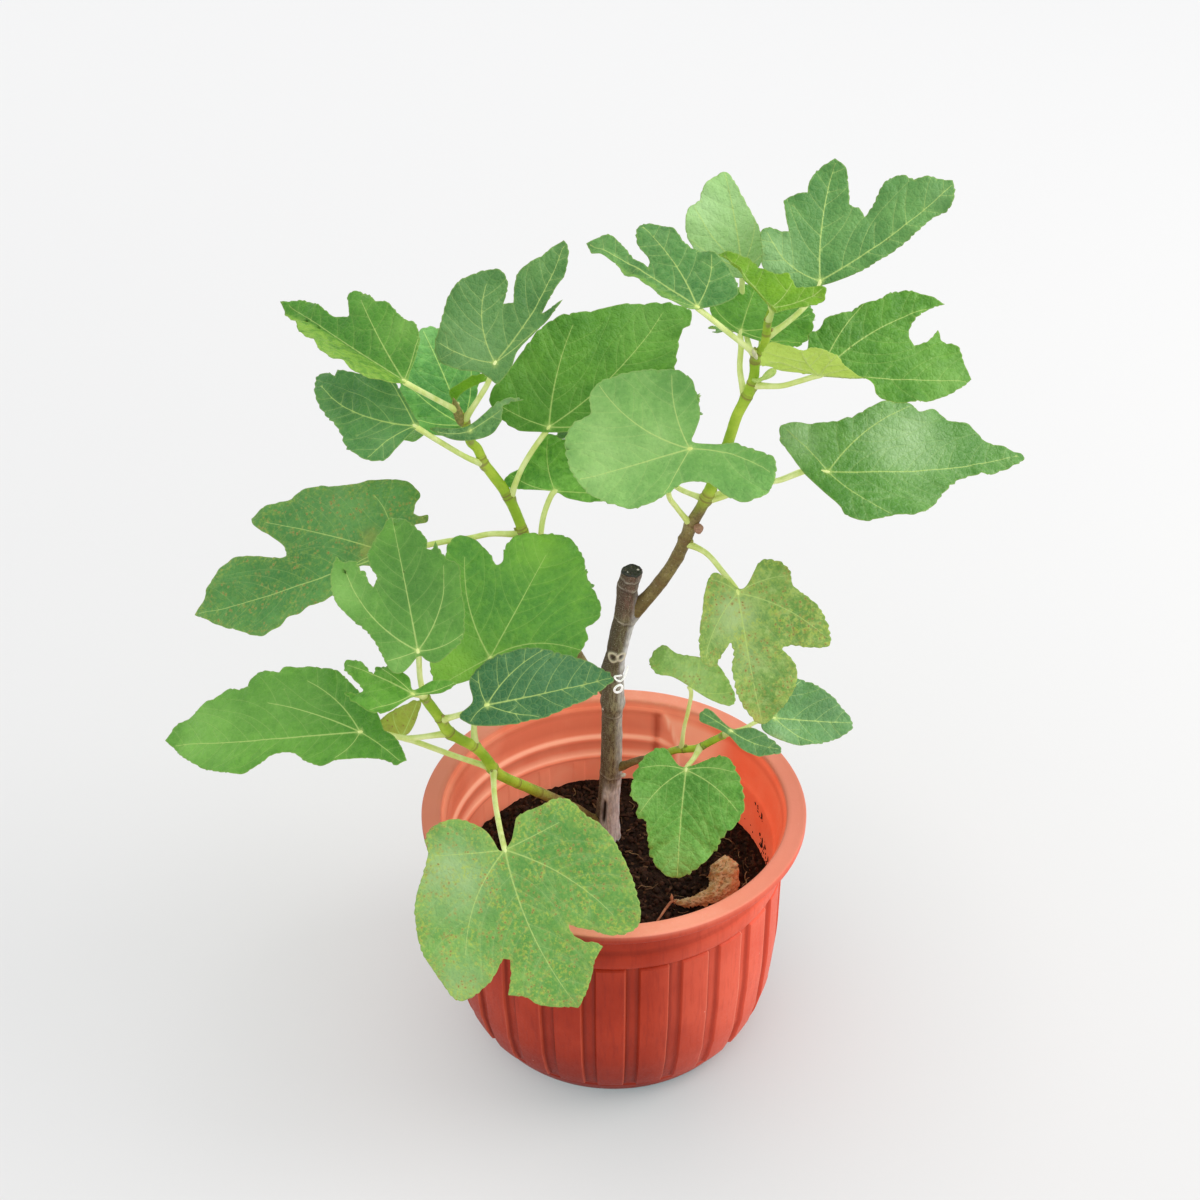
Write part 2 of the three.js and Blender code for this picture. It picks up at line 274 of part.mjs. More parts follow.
// point and normal of the blade's middle surface at (u, v): u along the
// midrib, v across it, both measured flat
function surfaceAt(leaf, f, u, v) {
  const bend = rad(Math.max(leaf.droop, 0.5)) / leaf.reach;
  const a = Math.max(u, 0) * bend;
  const x = u > 0 ? Math.sin(a) / bend : u;
  const z = u > 0 ? -(1 - Math.cos(a)) / bend : 0;
  const T = f.U.clone().multiplyScalar(Math.cos(a)).addScaledVector(f.N, -Math.sin(a));
  const M = f.N.clone().multiplyScalar(Math.cos(a)).addScaledVector(f.U, Math.sin(a));
  const fold = leaf.fold.map((d) => rad(d));
  if (leaf.open) {
    const k = fold[0] > fold[1] ? 0 : 1;
    let t = Math.min(1, Math.max(0, (u - leaf.open[0]) / (leaf.open[1] - leaf.open[0])));
    t = t * t * (3 - 2 * t);
    fold[k] = fold[k] * (1 - t) + rad(8) * t;
  }
  const p = f.A.clone().addScaledVector(f.U, x).addScaledVector(f.N, z);
  const w = Math.abs(v);
  const phi = v > 0 ? fold[0] : fold[1];
  const s = v > 0 ? 1 : -1;
  p.addScaledVector(f.V, s * Math.cos(phi) * w).addScaledVector(M, Math.sin(phi) * w);
  const left = M.clone().multiplyScalar(Math.cos(fold[0])).addScaledVector(f.V, -Math.sin(fold[0]));
  const right = M.clone().multiplyScalar(Math.cos(fold[1])).addScaledVector(f.V, Math.sin(fold[1]));
  let n;
  if (w < 0.5) {
    n = left.add(right).normalize();
    n.multiplyScalar(1 / Math.max(0.6, Math.cos((fold[0] + fold[1]) / 2)));
  } else {
    n = s > 0 ? left : right;
  }
  return { p, n, T };
}

// outline round a centre on the midrib, as [angle, reach] with rising angle
function outlineOf(leaf) {
  const pts = leaf.lobes.map(([a, r]) => [r * Math.cos(rad(a)), r * Math.sin(rad(a))]);
  const xs = pts.map((p) => p[0]);
  const back = Math.min(...xs);
  const centre = Math.max(4, back + 8, leaf.reach * 0.06);
  // crossings of the midrib line, so that the fold runs along an edge
  const withFold = [];
  pts.forEach((p, i) => {
    const q = pts[(i + 1) % pts.length];
    withFold.push(p);
    if (p[1] * q[1] < 0 && Math.abs(p[1]) > 0.8 && Math.abs(q[1]) > 0.8) {
      const t = p[1] / (p[1] - q[1]);
      withFold.push([p[0] + (q[0] - p[0]) * t, 0]);
    }
  });
  let polar = withFold.map(([x, y]) => ({
    a: Math.atan2(Math.abs(y) < 0.8 ? 0 : y, x - centre), r: Math.hypot(x - centre, y),
  }));
  polar.forEach((q) => { if (q.a <= -Math.PI + 1e-6) q.a = Math.PI; });
  const start = polar.reduce((m, q, i) => (q.a < polar[m].a ? i : m), 0);
  polar = [...polar.slice(start), ...polar.slice(0, start)];
  const out = [];
  for (const q of polar) {
    while (out.length && q.a - out[out.length - 1].a < 0.035) {
      const prev = out[out.length - 1];
      if (q.a > prev.a + 0.02 || q.r <= prev.r) break;
      out.pop();
    }
    if (!out.length || q.a - out[out.length - 1].a >= 0.02) out.push(q);
  }
  const fine = [];
  out.forEach((q, i) => {
    fine.push([centre + q.r * Math.cos(q.a), q.r * Math.sin(q.a)]);
    const n = out[(i + 1) % out.length];
    let gap = n.a - q.a;
    if (gap < 0) gap += 2 * Math.PI;
    const cuts = Math.floor(gap / 0.7);
    for (let k = 1; k <= cuts; k++) {
      const t = k / (cuts + 1);
      const a = q.a + gap * t;
      // straight chord between the two pairs, in polar form
      const x0 = q.r * Math.cos(q.a), y0 = q.r * Math.sin(q.a);
      const x1 = n.r * Math.cos(n.a), y1 = n.r * Math.sin(n.a);
      const den = (x1 - x0) * Math.sin(a) - (y1 - y0) * Math.cos(a);
      const r = Math.abs(den) < 1e-6 ? q.r : (y0 * (x1 - x0) - x0 * (y1 - y0)) / den;
      if (r > 0) fine.push([centre + r * Math.cos(a), r * Math.sin(a)]);
    }
  });
  return { centre, ring: fine };
}

function bladeSolid(leaf) {
  const f = frameOf(leaf);
  const { centre, ring } = outlineOf(leaf);
  const n = ring.length;
  const pts = [];
  const faces = [];
  const shares = leaf.reach > 75 ? [0.55, 1] : [1];
  for (const face of [0.5, -0.5]) {
    const put = (u, v) => {
      const s = surfaceAt(leaf, f, u, Math.abs(v) < 0.3 ? 0 : v);
      const p = s.p.addScaledVector(s.n, BLADE * face);
      pts.push([p.x, p.y, p.z]);
    };
    put(centre, 0);
    for (const share of shares) {
      for (const [u, v] of ring) put(centre + (u - centre) * share, v * share);
    }
  }
  const B = 1 + shares.length * n;
  const E = 1 + (shares.length - 1) * n;
  for (let i = 0; i < n; i++) {
    const j = (i + 1) % n;
    faces.push([0, 1 + i, 1 + j]);
    faces.push([B, B + 1 + j, B + 1 + i]);
    if (shares.length > 1) {
      faces.push([1 + i, 1 + n + i, 1 + n + j], [1 + i, 1 + n + j, 1 + j]);
      faces.push([B + 1 + i, B + 1 + n + j, B + 1 + n + i], [B + 1 + i, B + 1 + j, B + 1 + n + j]);
    }
    faces.push([E + i, B + E + i, B + E + j], [E + i, B + E + j, E + j]);
  }
  return { solid: solidOf(geometryOf(pts, faces)), f, centre };
}

function leafGeometry(leaf) {
  const { solid, f, centre } = bladeSolid(leaf);
  const inner = surfaceAt(leaf, f, centre * 0.9, 0).p;
  let course = leaf.stem.map((p) => [...p, leaf.stalk]);
  course[course.length - 1] = [...f.A.toArray(), leaf.stalk * 0.85];
  course.push([inner.x, inner.y, inner.z, leaf.stalk * 0.6]);
  if (LIMBS[leaf.on]) course = clearOf(course, LIMBS[leaf.on], 0.2);
  const joined = solid.add(solidOf(taper(course, STALK_SIDES)));
  return geometryFrom(joined);
}

// ---------------------------------------------------------------- pot and soil
function potGeometry() {
  const levels = [];
  const lerp = (table, z) => {
    for (let i = 0; i + 1 < table.length; i++) {
      if (z <= table[i + 1][0]) {
        const t = (z - table[i][0]) / (table[i + 1][0] - table[i][0]);
        return table[i][1] + (table[i + 1][1] - table[i][1]) * Math.max(0, t);
      }
    }
    return table[table.length - 1][1];
  };
  const add = (z, r, ribbed) => levels.push({ z, r, ribbed });
  add(0, FOOT_RADIUS, false);
  add(11, lerp(WALL, 11), false);
  for (const z of [PANEL_BOTTOM, 45, 85, PANEL_TOP]) add(z, lerp(WALL, z), true);
  add(PANEL_TOP + 1.5, lerp(WALL, PANEL_TOP + 1.5), false);
  add(POT_HEIGHT - LIP_DEPTH - 3, 122.6, false);
  add(POT_HEIGHT - LIP_DEPTH, RIM_OUTER - 1.5, false);
  add(POT_HEIGHT - 1.5, RIM_OUTER, false);
  add(POT_HEIGHT, RIM_OUTER - 1.5, false);
  add(POT_HEIGHT, RIM_INNER, false);
  for (const [z, r] of [...INNER].reverse()) add(z, r, false);
  const seg = PANELS * 4;
  const pts = [];
  const faces = [];
  const half = (Math.PI / PANELS) * PANEL_SHARE;
  for (const L of levels) {
    for (let k = 0; k < PANELS; k++) {
      const mid = (2 * Math.PI * k) / PANELS + rad(PANEL_TURN);
      for (const [a, up] of [[-half * 1.14, 0], [-half, 1], [half, 1], [half * 1.14, 0]]) {
        const r = L.r - (L.ribbed && !up ? PANEL_STEP : 0);
        pts.push([r * Math.cos(mid + a), r * Math.sin(mid + a), L.z]);
      }
    }
  }
  for (let i = 0; i + 1 < levels.length; i++) {
    for (let k = 0; k < seg; k++) {
      const a = i * seg + k;
      const b = i * seg + ((k + 1) % seg);
      faces.push([a, b, b + seg], [a, b + seg, a + seg]);
    }
  }
  const bottom = pts.push([0, 0, 0]) - 1;
  const floor = pts.push([0, 0, FLOOR]) - 1;
  const last = (levels.length - 1) * seg;
  for (let k = 0; k < seg; k++) {
    const n = (k + 1) % seg;
    faces.push([bottom, n, k], [floor, last + k, last + n]);
  }
  let pot = solidOf(geometryOf(pts, faces));
  for (let k = 0; k < DRAINS; k++) {
    const a = (2 * Math.PI * (k + 0.25)) / DRAINS;
    const hole = new THREE.CylinderGeometry(DRAIN_RADIUS, DRAIN_RADIUS, FLOOR * 3, 10);
    hole.rotateX(Math.PI / 2);
    hole.translate(DRAIN_CIRCLE * Math.cos(a), DRAIN_CIRCLE * Math.sin(a), FLOOR / 2);
    pot = pot.subtract(solidOf(hole));
  }
  return geometryFrom(pot);
}

function soilGeometry() {
  const seg = 44;
  const profile = [[0, FLOOR + GAP], [97.2, FLOOR + GAP], [111.9, 45.4], [116.2, SOIL_TOP], [0, SOIL_TOP]];
  const g = new THREE.LatheGeometry(profile.map(([r, z]) => new THREE.Vector2(r, z)), seg);
  g.rotateX(Math.PI / 2);
  // the lathe turns about Y: after the turn the profile's height runs along Z
  const m = solidOf(g);
  return geometryFrom(m);
}

// ---------------------------------------------------------------- assembly
const paint = (hex, roughness = 0.7) =>
  new THREE.MeshStandardMaterial({ color: hex, roughness, metalness: 0, flatShading: true });
const BARK = 0x7a6a54;
const GREEN_STEM = 0x8aa33a;
const LEAF_GREEN = 0x4f8a45;

const group = new THREE.Group();
function put(name, geometry, material) {
  const mesh = new THREE.Mesh(geometry, material);
  mesh.name = name;
  group.add(mesh);
  return mesh;
}

put("pot", potGeometry(), paint(0xbe4a32, 0.45));
put("soil", soilGeometry(), paint(0x3b2a22, 0.95));
const hostOf = { bough_right: "trunk", bough_upper_left: "trunk", bough_lower_left: "trunk", shoot_low_right: "trunk" };
for (const [name, rings] of Object.entries(LIMBS)) {
  const clear = hostOf[name] ? clearOf(rings, LIMBS[hostOf[name]]) : rings;
  put(name, taper(clear, SIDES[name], name === "trunk"), paint(name === "trunk" ? BARK : GREEN_STEM, 0.7));
}
for (const leaf of LEAVES) {
  put(leaf.name, leafGeometry(leaf), paint(LEAF_GREEN, 0.6));
}

export default group;
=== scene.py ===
"""A young fig tree in a ribbed plastic pot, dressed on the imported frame."""
import math

import bpy
import numpy as np
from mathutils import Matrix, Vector, noise
from mathutils.geometry import delaunay_2d_cdt


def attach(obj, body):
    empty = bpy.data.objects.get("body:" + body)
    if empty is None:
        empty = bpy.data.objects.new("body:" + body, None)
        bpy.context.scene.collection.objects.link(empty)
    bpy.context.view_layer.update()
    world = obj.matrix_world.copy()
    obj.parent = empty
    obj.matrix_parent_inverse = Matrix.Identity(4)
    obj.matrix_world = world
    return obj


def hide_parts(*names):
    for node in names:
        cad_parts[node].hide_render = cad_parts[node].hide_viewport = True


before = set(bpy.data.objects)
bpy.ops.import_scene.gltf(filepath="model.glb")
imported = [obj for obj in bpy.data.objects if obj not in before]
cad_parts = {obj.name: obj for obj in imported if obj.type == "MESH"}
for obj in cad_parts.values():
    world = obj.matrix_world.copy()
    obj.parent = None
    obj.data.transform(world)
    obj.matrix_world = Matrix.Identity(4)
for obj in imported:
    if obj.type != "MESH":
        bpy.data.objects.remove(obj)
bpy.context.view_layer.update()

MM = 0.001

# ------------------------------------------------------------------ sizes, mm
POT_HEIGHT = 190.0
RIM_OUTER = 140.0
RIM_INNER = 126.5
PANELS = 25
PANEL_SHARE = 0.70
PANEL_STEP = 2.3
PANEL_BOTTOM = 14.0
PANEL_TOP = 143.0
FLOOR = 5.0
SOIL_TOP = 120.0
DRAINS = 6
DRAIN_CIRCLE = 62.0

# limbs: [x, y, z, radius] from the base to the tip
LIMBS = {
    "trunk": [[-5.8, 46.0, 118.9, 11.5], [-5.0, 45.0, 140.8, 9.5], [-2.9, 43.0, 185.5, 9.4], [-2.3, 40.0, 243.4, 9.1], [-1.6, 39.0, 255.1, 10.2], [-0.3, 37.0, 289.0, 8.4], [4.6, 35.0, 320.4, 8.9], [9.3, 33.0, 347.5, 8.1], [11.3, 32.0, 360.9, 7.7], [11.9, 31.0, 373.2, 7.3]],
    "bough_right": [[19.8, 30.0, 347.9, 5.9], [28.0, 28.0, 360.3, 5.6], [40.0, 25.0, 383.1, 5.3], [48.3, 22.0, 406.3, 5.1], [51.3, 20.0, 418.1, 5.1], [57.6, 18.0, 432.8, 4.7], [63.1, 15.0, 448.8, 4.7], [68.9, 12.0, 469.9, 4.4], [74.0, 9.0, 490.6, 4.2], [78.3, 6.0, 510.2, 4.2], [85.7, 3.0, 530.8, 4.1], [87.8, 2.0, 541.5, 3.8], [88.3, 0.0, 556.0, 3.5], [93.0, 0.0, 564.5, 3.1], [94.7, 0.0, 581.2, 2.8], [96.2, 0.0, 589.5, 2.2]],
    "bough_upper_left": [[-8.0, 44.0, 264.5, 5.2], [-17.2, 50.0, 270.8, 4.7], [-26.5, 56.0, 282.5, 4.4], [-39.4, 63.0, 311.0, 4.3], [-53.4, 68.0, 349.2, 4.3], [-64.3, 70.0, 378.3, 4.2], [-68.3, 71.0, 391.0, 4.2], [-73.6, 71.0, 405.8, 4.2], [-78.9, 71.0, 416.4, 4.2], [-84.9, 71.0, 426.1, 4.2], [-90.8, 70.0, 436.4, 3.8], [-95.2, 70.0, 448.3, 3.8], [-99.1, 69.0, 453.6, 3.8], [-102.0, 69.0, 467.7, 3.4], [-107.0, 68.0, 478.4, 2.7]],
    "bough_lower_left": [[-16.4, 40.0, 140.0, 5.3], [-29.0, 30.0, 159.2, 4.9], [-45.5, 14.0, 183.2, 4.8], [-61.4, -4.0, 207.5, 4.7], [-76.7, -20.0, 229.8, 4.6], [-83.8, -28.0, 242.6, 4.9], [-89.4, -33.0, 258.3, 4.5], [-96.4, -37.0, 271.2, 4.5], [-106.2, -41.0, 281.3, 4.5], [-113.8, -44.0, 290.6, 5.1], [-118.0, -46.0, 301.7, 4.4], [-124.7, -48.0, 316.0, 4.4], [-128.2, -50.0, 324.2, 4.0]],
    "shoot_low_right": [[8.3, 36.0, 197.0, 3.0], [18.5, 26.0, 209.8, 2.9], [30.7, 16.0, 220.8, 2.9], [44.8, 8.0, 233.7, 2.9], [59.6, 3.0, 239.6, 2.9], [70.0, 0.0, 248.5, 2.9], [78.2, -3.0, 256.3, 2.7]],
}

# leaves: where the stalk meets the blade (at), the midrib's bearing, rise and
# roll (aim), its length (reach), its bend (droop), the rise of each half
# (fold), the stalk, the outline (lobes) and the main veins, as [bearing, reach]
LEAVES = [
    {"name": "leaf_front_low", "at": [-72.4, -118.0, 248.1], "aim": [-53.6, -44.2, -33.5], "reach": 114.6, "droop": 14, "fold": [4, 4], "stalk": 2.1, "on": "bough_lower_left", "look": "spotted", "teeth": [6.0, 0.7], "lift": 1.14, "shades": [[-85, 41, 16.8, 1.0], [-43, 94, 13.4, 0.54], [81, 39, 20.2, -0.61], [7, 101, 13.4, -0.41], [-8, 35, 17.9, -0.34]], "puff": 0.4, "mottle": 0.35,
     "stem": [[-84.9, -29.0, 245.8], [-82.0, -62.5, 245.0], [-72.4, -118.0, 248.1]],
     "veins": [[-1, 114, -12], [-46, 74, -19], [35, 83, 15], [92, 41, -1], [-110, 47, 2]],
     "lobes": [[154.8, 0.7], [-103.5, 3.4], [-154.3, 10.4], [-159.5, 17.9], [-155.2, 25.6], [-147.4, 38.3], [-138.5, 46.2], [-129.4, 52.7], [-121.8, 54.1], [-111.8, 51.7], [-99.2, 57.0], [-88.9, 65.5], [-81.4, 72.2], [-73.9, 78.8], [-66.5, 85.8], [-58.2, 91.9], [-51.8, 97.3], [-46.3, 102.7], [-42.4, 105.2], [-38.7, 102.1], [-35.1, 95.4], [-31.1, 86.4], [-28.2, 78.0], [-26.3, 72.6, 1], [-22.7, 73.3, 1], [-22.6, 82.8], [-24.2, 96.9, 1], [-17.0, 100.2], [-12.7, 106.0], [-7.3, 111.3], [-0.9, 117.4, 1], [4.0, 110.3], [9.5, 101.7], [14.2, 94.6], [20.8, 91.1, 1], [19.3, 85.0], [16.5, 82.4], [14.8, 76.0], [14.7, 68.0], [16.2, 65.0, 1], [19.6, 72.3], [23.7, 81.8], [27.2, 91.2], [31.3, 97.9], [35.1, 101.7], [40.6, 99.8], [45.1, 95.4], [52.0, 88.2], [59.0, 82.5], [66.4, 76.9], [74.4, 71.3], [81.5, 66.4], [89.3, 59.7], [99.5, 56.2], [106.1, 53.4], [112.0, 46.0], [116.0, 38.1], [126.7, 28.9], [134.5, 23.6], [131.3, 15.4], [120.8, 7.3]]},
    {"name": "leaf_left_long", "at": [-171.5, -62.0, 303.4], "aim": [175.0, -7.2, 27.5], "reach": 136.9, "droop": 16, "fold": [6, 6], "stalk": 2.13, "on": "bough_lower_left", "look": "mid", "teeth": [5.0, 0.6], "lift": 1.22, "shades": [[-52, 31, 20.2, -0.81], [-4, 115, 20.2, 0.68], [-24, 56, 20.2, 0.34], [149, 22, 11.2, -0.68]], "painted_sheen_veil": 0.01, "mottle": 0.3,
     "stem": [[-111.9, -43.2, 288.3], [-142.6, -52.4, 290.9], [-155.5, -56.7, 297.7], [-171.5, -62.0, 303.4]],
     "veins": [[-2, 140, 5], [-45, 55, -16], [-21, 72, -6], [52, 24, 21], [141, 39, 7]],
     "lobes": [[-3.6, 147.8, 1], [-8.0, 139.5], [-12.2, 126.6], [-15.8, 120.7], [-17.0, 114.7, 1], [-19.4, 112.4], [-22.2, 108.8], [-23.1, 99.3], [-25.4, 91.8, 1], [-29.1, 92.7], [-33.0, 91.4], [-35.9, 84.4], [-38.1, 76.3, 1], [-42.0, 75.2], [-46.5, 69.4], [-51.7, 64.1, 1], [-58.4, 56.4], [-68.2, 48.4], [-76.0, 37.5], [-93.1, 25.1], [-128.7, 17.7], [-177.5, 16.6, 1], [168.5, 25.3], [155.6, 33.5], [145.5, 42.4, 1], [135.2, 40.2], [133.8, 33.7], [120.0, 23.9], [85.1, 21.0], [55.9, 25.4], [42.4, 35.8], [31.0, 41.1], [18.3, 45.7], [12.0, 53.7], [14.2, 64.0], [16.6, 77.5], [16.2, 88.6], [12.6, 101.7], [7.2, 118.1], [1.5, 134.3]]},
    {"name": "leaf_left_upright", "at": [-129.0, -62.0, 371.1], "aim": [105.0, 36.9, 12.1], "reach": 96.3, "droop": 10, "fold": [8, 8], "stalk": 2.07, "on": "bough_lower_left", "look": "mid", "teeth": [4.6, 0.8], "lift": 1.14, "shades": [[-1, 36, 22, -0.8], [39, 65, 12, 0.9], [114, 16, 8, 0.5]], "painted_sheen_veil": 0.035, "mottle": 0.2,
     "stem": [[-128.2, -50.0, 324.2], [-129.5, -55.0, 343.9], [-129.0, -62.0, 371.1]],
     "veins": [[1, 100, -1], [30, 76, 23], [-27, 60, -23], [-83, 31, -22], [99, 21, 4]],
     "lobes": [[1.2, 100.5, 1], [-4.2, 95.0], [-8.8, 87.4], [-13.8, 79.2], [-14.9, 71.2, 1], [-17.8, 70.4], [-19.3, 76.3, 1], [-23.0, 70.1], [-28.4, 65.4], [-35.5, 63.9], [-40.1, 59.1], [-47.0, 49.1], [-61.9, 40.9], [-77.9, 34.5], [-93.7, 28.7], [-104.5, 23.1], [-124.4, 17.8], [-138.2, 14.6], [-150.4, 8.5], [-160.4, 4.1], [161.0, 4.2, 1], [149.2, 7.3], [143.1, 11.5], [135.3, 18.3], [123.9, 21.7], [109.2, 22.4], [90.1, 23.2], [68.9, 28.7], [58.6, 35.9], [54.1, 46.0], [51.9, 54.4], [48.6, 62.6], [42.6, 72.5], [36.2, 80.4], [29.0, 87.7, 1], [28.4, 82.3], [25.3, 79.2], [23.5, 75.7], [23.9, 69.9], [22.3, 65.2], [23.8, 60.2], [23.3, 54.7, 1], [18.1, 58.4], [18.4, 65.2], [17.6, 71.4], [16.1, 78.7], [12.9, 82.5], [9.1, 86.9], [5.5, 91.7], [3.6, 96.5]]},
    {"name": "leaf_left_inner", "at": [-85.2, -16.0, 332.3], "aim": [59.9, 31.7, -20.1], "reach": 84.0, "droop": 10, "fold": [8, 8], "stalk": 2.16, "on": "bough_lower_left", "look": "warm", "teeth": [7.0, 0.8], "lift": 1.32, "shades": [[27, 42, 15.7, -0.81], [133, 29, 17.9, 1.0], [4, 91, 12.3, 0.68], [-28, 64, 20.2, -0.47]], "painted_sheen_veil": 0.035, "mottle": 0.4,
     "stem": [[-96.4, -37.0, 271.2], [-96.8, -31.3, 288.7], [-93.7, -23.8, 310.8], [-85.2, -16.0, 332.3]],
     "veins": [[41, 74, 16], [0, 87, -1], [-61, 62, 28], [148, 37, -4]],
     "lobes": [[47.0, 86.2], [43.5, 89.5], [39.7, 89.9], [33.7, 85.2], [28.0, 77.8], [23.4, 67.7, 1], [20.1, 70.7], [19.9, 80.8], [16.3, 91.6], [8.2, 100.0], [-0.3, 106.7], [-8.0, 105.7], [-15.1, 99.2], [-20.8, 91.0], [-29.5, 87.0], [-39.0, 84.3], [-44.1, 79.7], [-47.2, 68.8], [-53.7, 68.4], [-64.8, 59.7], [-74.7, 49.0], [-90.7, 34.8], [-116.1, 22.8], [-165.1, 13.3], [157.5, 28.9], [151.3, 39.8], [128.0, 41.9], [73.3, 47.7]]},
    {"name": "leaf_left_dark", "at": [-84.7, -66.0, 329.9], "aim": [14.9, 4.6, -38.6], "reach": 87.7, "droop": 10, "fold": [8, 8], "stalk": 2.1, "on": "bough_lower_left", "look": "deep", "teeth": [7.5, 1.1], "lift": 1.15, "shades": [[9, 9, 14, -0.4], [17, 57, 14, 0.3]], "mottle": 0.3,
     "stem": [[-118.0, -46.0, 301.7], [-104.8, -53.7, 312.0], [-84.7, -66.0, 329.9]],
     "veins": [[1, 88], [33, 51], [92, 23], [-26, 36], [-146, 17]],
     "lobes": [[1, 89], [39, 50], [57, 38], [80, 29], [113, 20], [153, 10], [-170, 20], [-145, 18], [-108, 15], [-33, 32], [-6, 74]]},
    {"name": "leaf_left_young", "at": [-132.1, -78.0, 347.8], "aim": [155.2, 9.7, 33.0], "reach": 51.2, "droop": 20, "fold": [8, 8], "stalk": 1.48, "on": "bough_lower_left", "look": "mid", "teeth": [6.0, 1.0], "lift": 1.2, "mottle": 0.5,
     "stem": [[-128.2, -50.0, 324.2], [-130.1, -62.5, 334.5], [-132.1, -78.0, 347.8]],
     "veins": [[-2, 54], [46, 28], [-15, 27], [-141, 24]],
     "lobes": [[-4, 58], [1, 56], [19, 35], [23, 46], [47, 31], [63, 23], [136, 2], [-153, 21], [-141, 29], [-123, 17], [-63, 3], [-50, 12], [-23, 26], [-11, 34], [-3, 32], [-9, 44]]},
    {"name": "leaf_left_folded_old", "at": [-146.7, -36.0, 278.9], "aim": [30.2, 60.8, -43.3], "reach": 29.6, "droop": 0, "fold": [8, 8], "stalk": 2.18, "on": "bough_lower_left", "look": "withering", "lift": 1.6,
     "stem": [[-84.9, -29.0, 245.8], [-111.1, -31.8, 259.0], [-138.7, -35.1, 274.7], [-146.7, -36.0, 278.9]],
     "veins": [[2, 27], [45, 19]],
     "lobes": [[0, 30], [83, 19], [110, 13], [-35, 5]]},
    {"name": "leaf_left_two_lobed", "at": [-158.5, 52.0, 373.5], "aim": [-173.6, -13.6, 28.8], "reach": 142.9, "droop": 16, "fold": [8, 8], "stalk": 2.21, "on": "bough_upper_left", "look": "teal_spotted", "teeth": [11.0, 0.5], "lift": 1.2, "shades": [[-62, 50, 22, 0.4], [-10, 73, 16, -0.6], [-1, 118, 16, -0.3], [-113, 40, 8, 0.3]], "stains": [[-58, 19, 4, 0.45], [-18, 17, 4, 0.4], [-148, 34, 3, 0.35]],
     "stem": [[-64.5, 70.0, 379.0], [-69.9, 69.0, 378.9], [-88.1, 65.6, 381.0], [-102.1, 62.9, 379.3], [-120.9, 59.3, 378.2], [-158.5, 52.0, 373.5]],
     "veins": [[-1, 147, 10], [-31, 96, -3], [-89, 43, -26], [23, 45, -36]],
     "lobes": [[-1.4, 152.2, 1], [-4.0, 144.9], [-8.0, 136.9], [-12.3, 130.7], [-14.9, 123.5], [-16.3, 114.0], [-16.6, 102.2], [-15.7, 89.6], [-14.1, 78.8], [-16.1, 75.1], [-20.0, 77.2], [-23.5, 83.5], [-25.9, 91.4], [-27.6, 99.3], [-29.9, 107.0], [-31.6, 109.7, 1], [-34.5, 106.0], [-38.8, 98.5], [-43.2, 88.6], [-47.4, 85.7], [-53.4, 80.3], [-60.1, 72.6], [-67.5, 65.1], [-76.7, 59.1], [-91.7, 57.0], [-103.5, 54.6], [-115.2, 53.8], [-123.6, 51.0], [-129.8, 46.6], [-130.7, 39.5], [-134.1, 33.0, 1], [-142.7, 33.6], [-148.1, 38.4], [-152.5, 34.9], [-145.0, 26.9, 1], [-176.0, 17.8], [127.6, 13.3], [75.8, 11.8], [28.3, 15.1], [11.2, 22.2], [19.1, 31.6], [26.9, 42.0], [26.3, 50.4], [23.7, 64.4], [21.0, 76.3], [19.1, 84.3], [21.6, 92.0], [21.3, 99.5], [18.3, 108.1], [13.7, 115.8], [7.6, 128.6], [2.6, 140.5]]},
    {"name": "leaf_mid_upright", "at": [-79.8, 52.0, 523.6], "aim": [54.4, 37.8, -30.2], "reach": 97.3, "droop": 8, "fold": [8, 8], "stalk": 2.08, "on": "bough_upper_left", "look": "teal", "teeth": [6.0, 0.6], "lift": 0.96, "shades": [[84, 20, 14, 0.4], [2, 45, 12, -0.5], [40, 50, 10, 0.15], [-1, 89, 8, -0.2]],
     "stem": [[-103.3, 68.8, 470.4], [-92.0, 62.6, 491.4], [-85.3, 57.8, 505.5], [-79.8, 52.0, 523.6]],
     "veins": [[-1, 93, -11], [35, 53, 23], [101, 38, 15], [-22, 35, -5]],
     "lobes": [[0.4, 100.0, 1], [-2.7, 96.0], [-5.6, 88.3], [-8.2, 79.1], [-9.8, 65.0], [-13.2, 47.2, 1], [-15.5, 53.9], [-17.7, 63.0, 1], [-19.7, 53.7], [-21.5, 42.6], [-23.5, 35.4], [-27.3, 24.1], [-34.8, 16.3], [-73.3, 11.5], [-111.0, 11.2], [-146.5, 14.6], [-172.6, 11.1], [149.8, 12.5], [131.9, 24.6], [121.0, 35.3], [106.8, 40.8], [91.1, 42.8], [76.7, 46.7], [65.0, 53.1], [53.7, 58.8], [43.4, 61.2], [32.4, 63.5], [25.0, 62.7], [19.8, 56.7], [19.1, 48.5], [20.3, 41.3, 1], [12.3, 42.9, 1], [14.9, 56.6], [14.3, 65.5], [10.0, 74.3], [5.4, 82.8], [3.1, 92.0]]},
    {"name": "leaf_mid_keeled", "at": [-136.9, 20.0, 527.1], "aim": [143.2, 11.9, 29.4], "reach": 110.3, "droop": 6, "fold": [50, 0], "stalk": 2.04, "on": "bough_upper_left", "look": "teal_warm", "teeth": [4.5, 0.7], "lift": 1.05, "underside_and_glow": [170, 196, 84], "shades": [[-48, 41, 9, 0.9], [-28, 71, 7, 0.4], [-4, 56, 11, -0.6], [-21, 34, 10, -0.3]], "half": [1, 0.7],
     "stem": [[-107.0, 68.0, 478.4], [-123.2, 45.3, 502.3], [-136.9, 20.0, 527.1]],
     "veins": [[-2, 108, 2], [-26, 74, 4], [-65, 33, -7]],
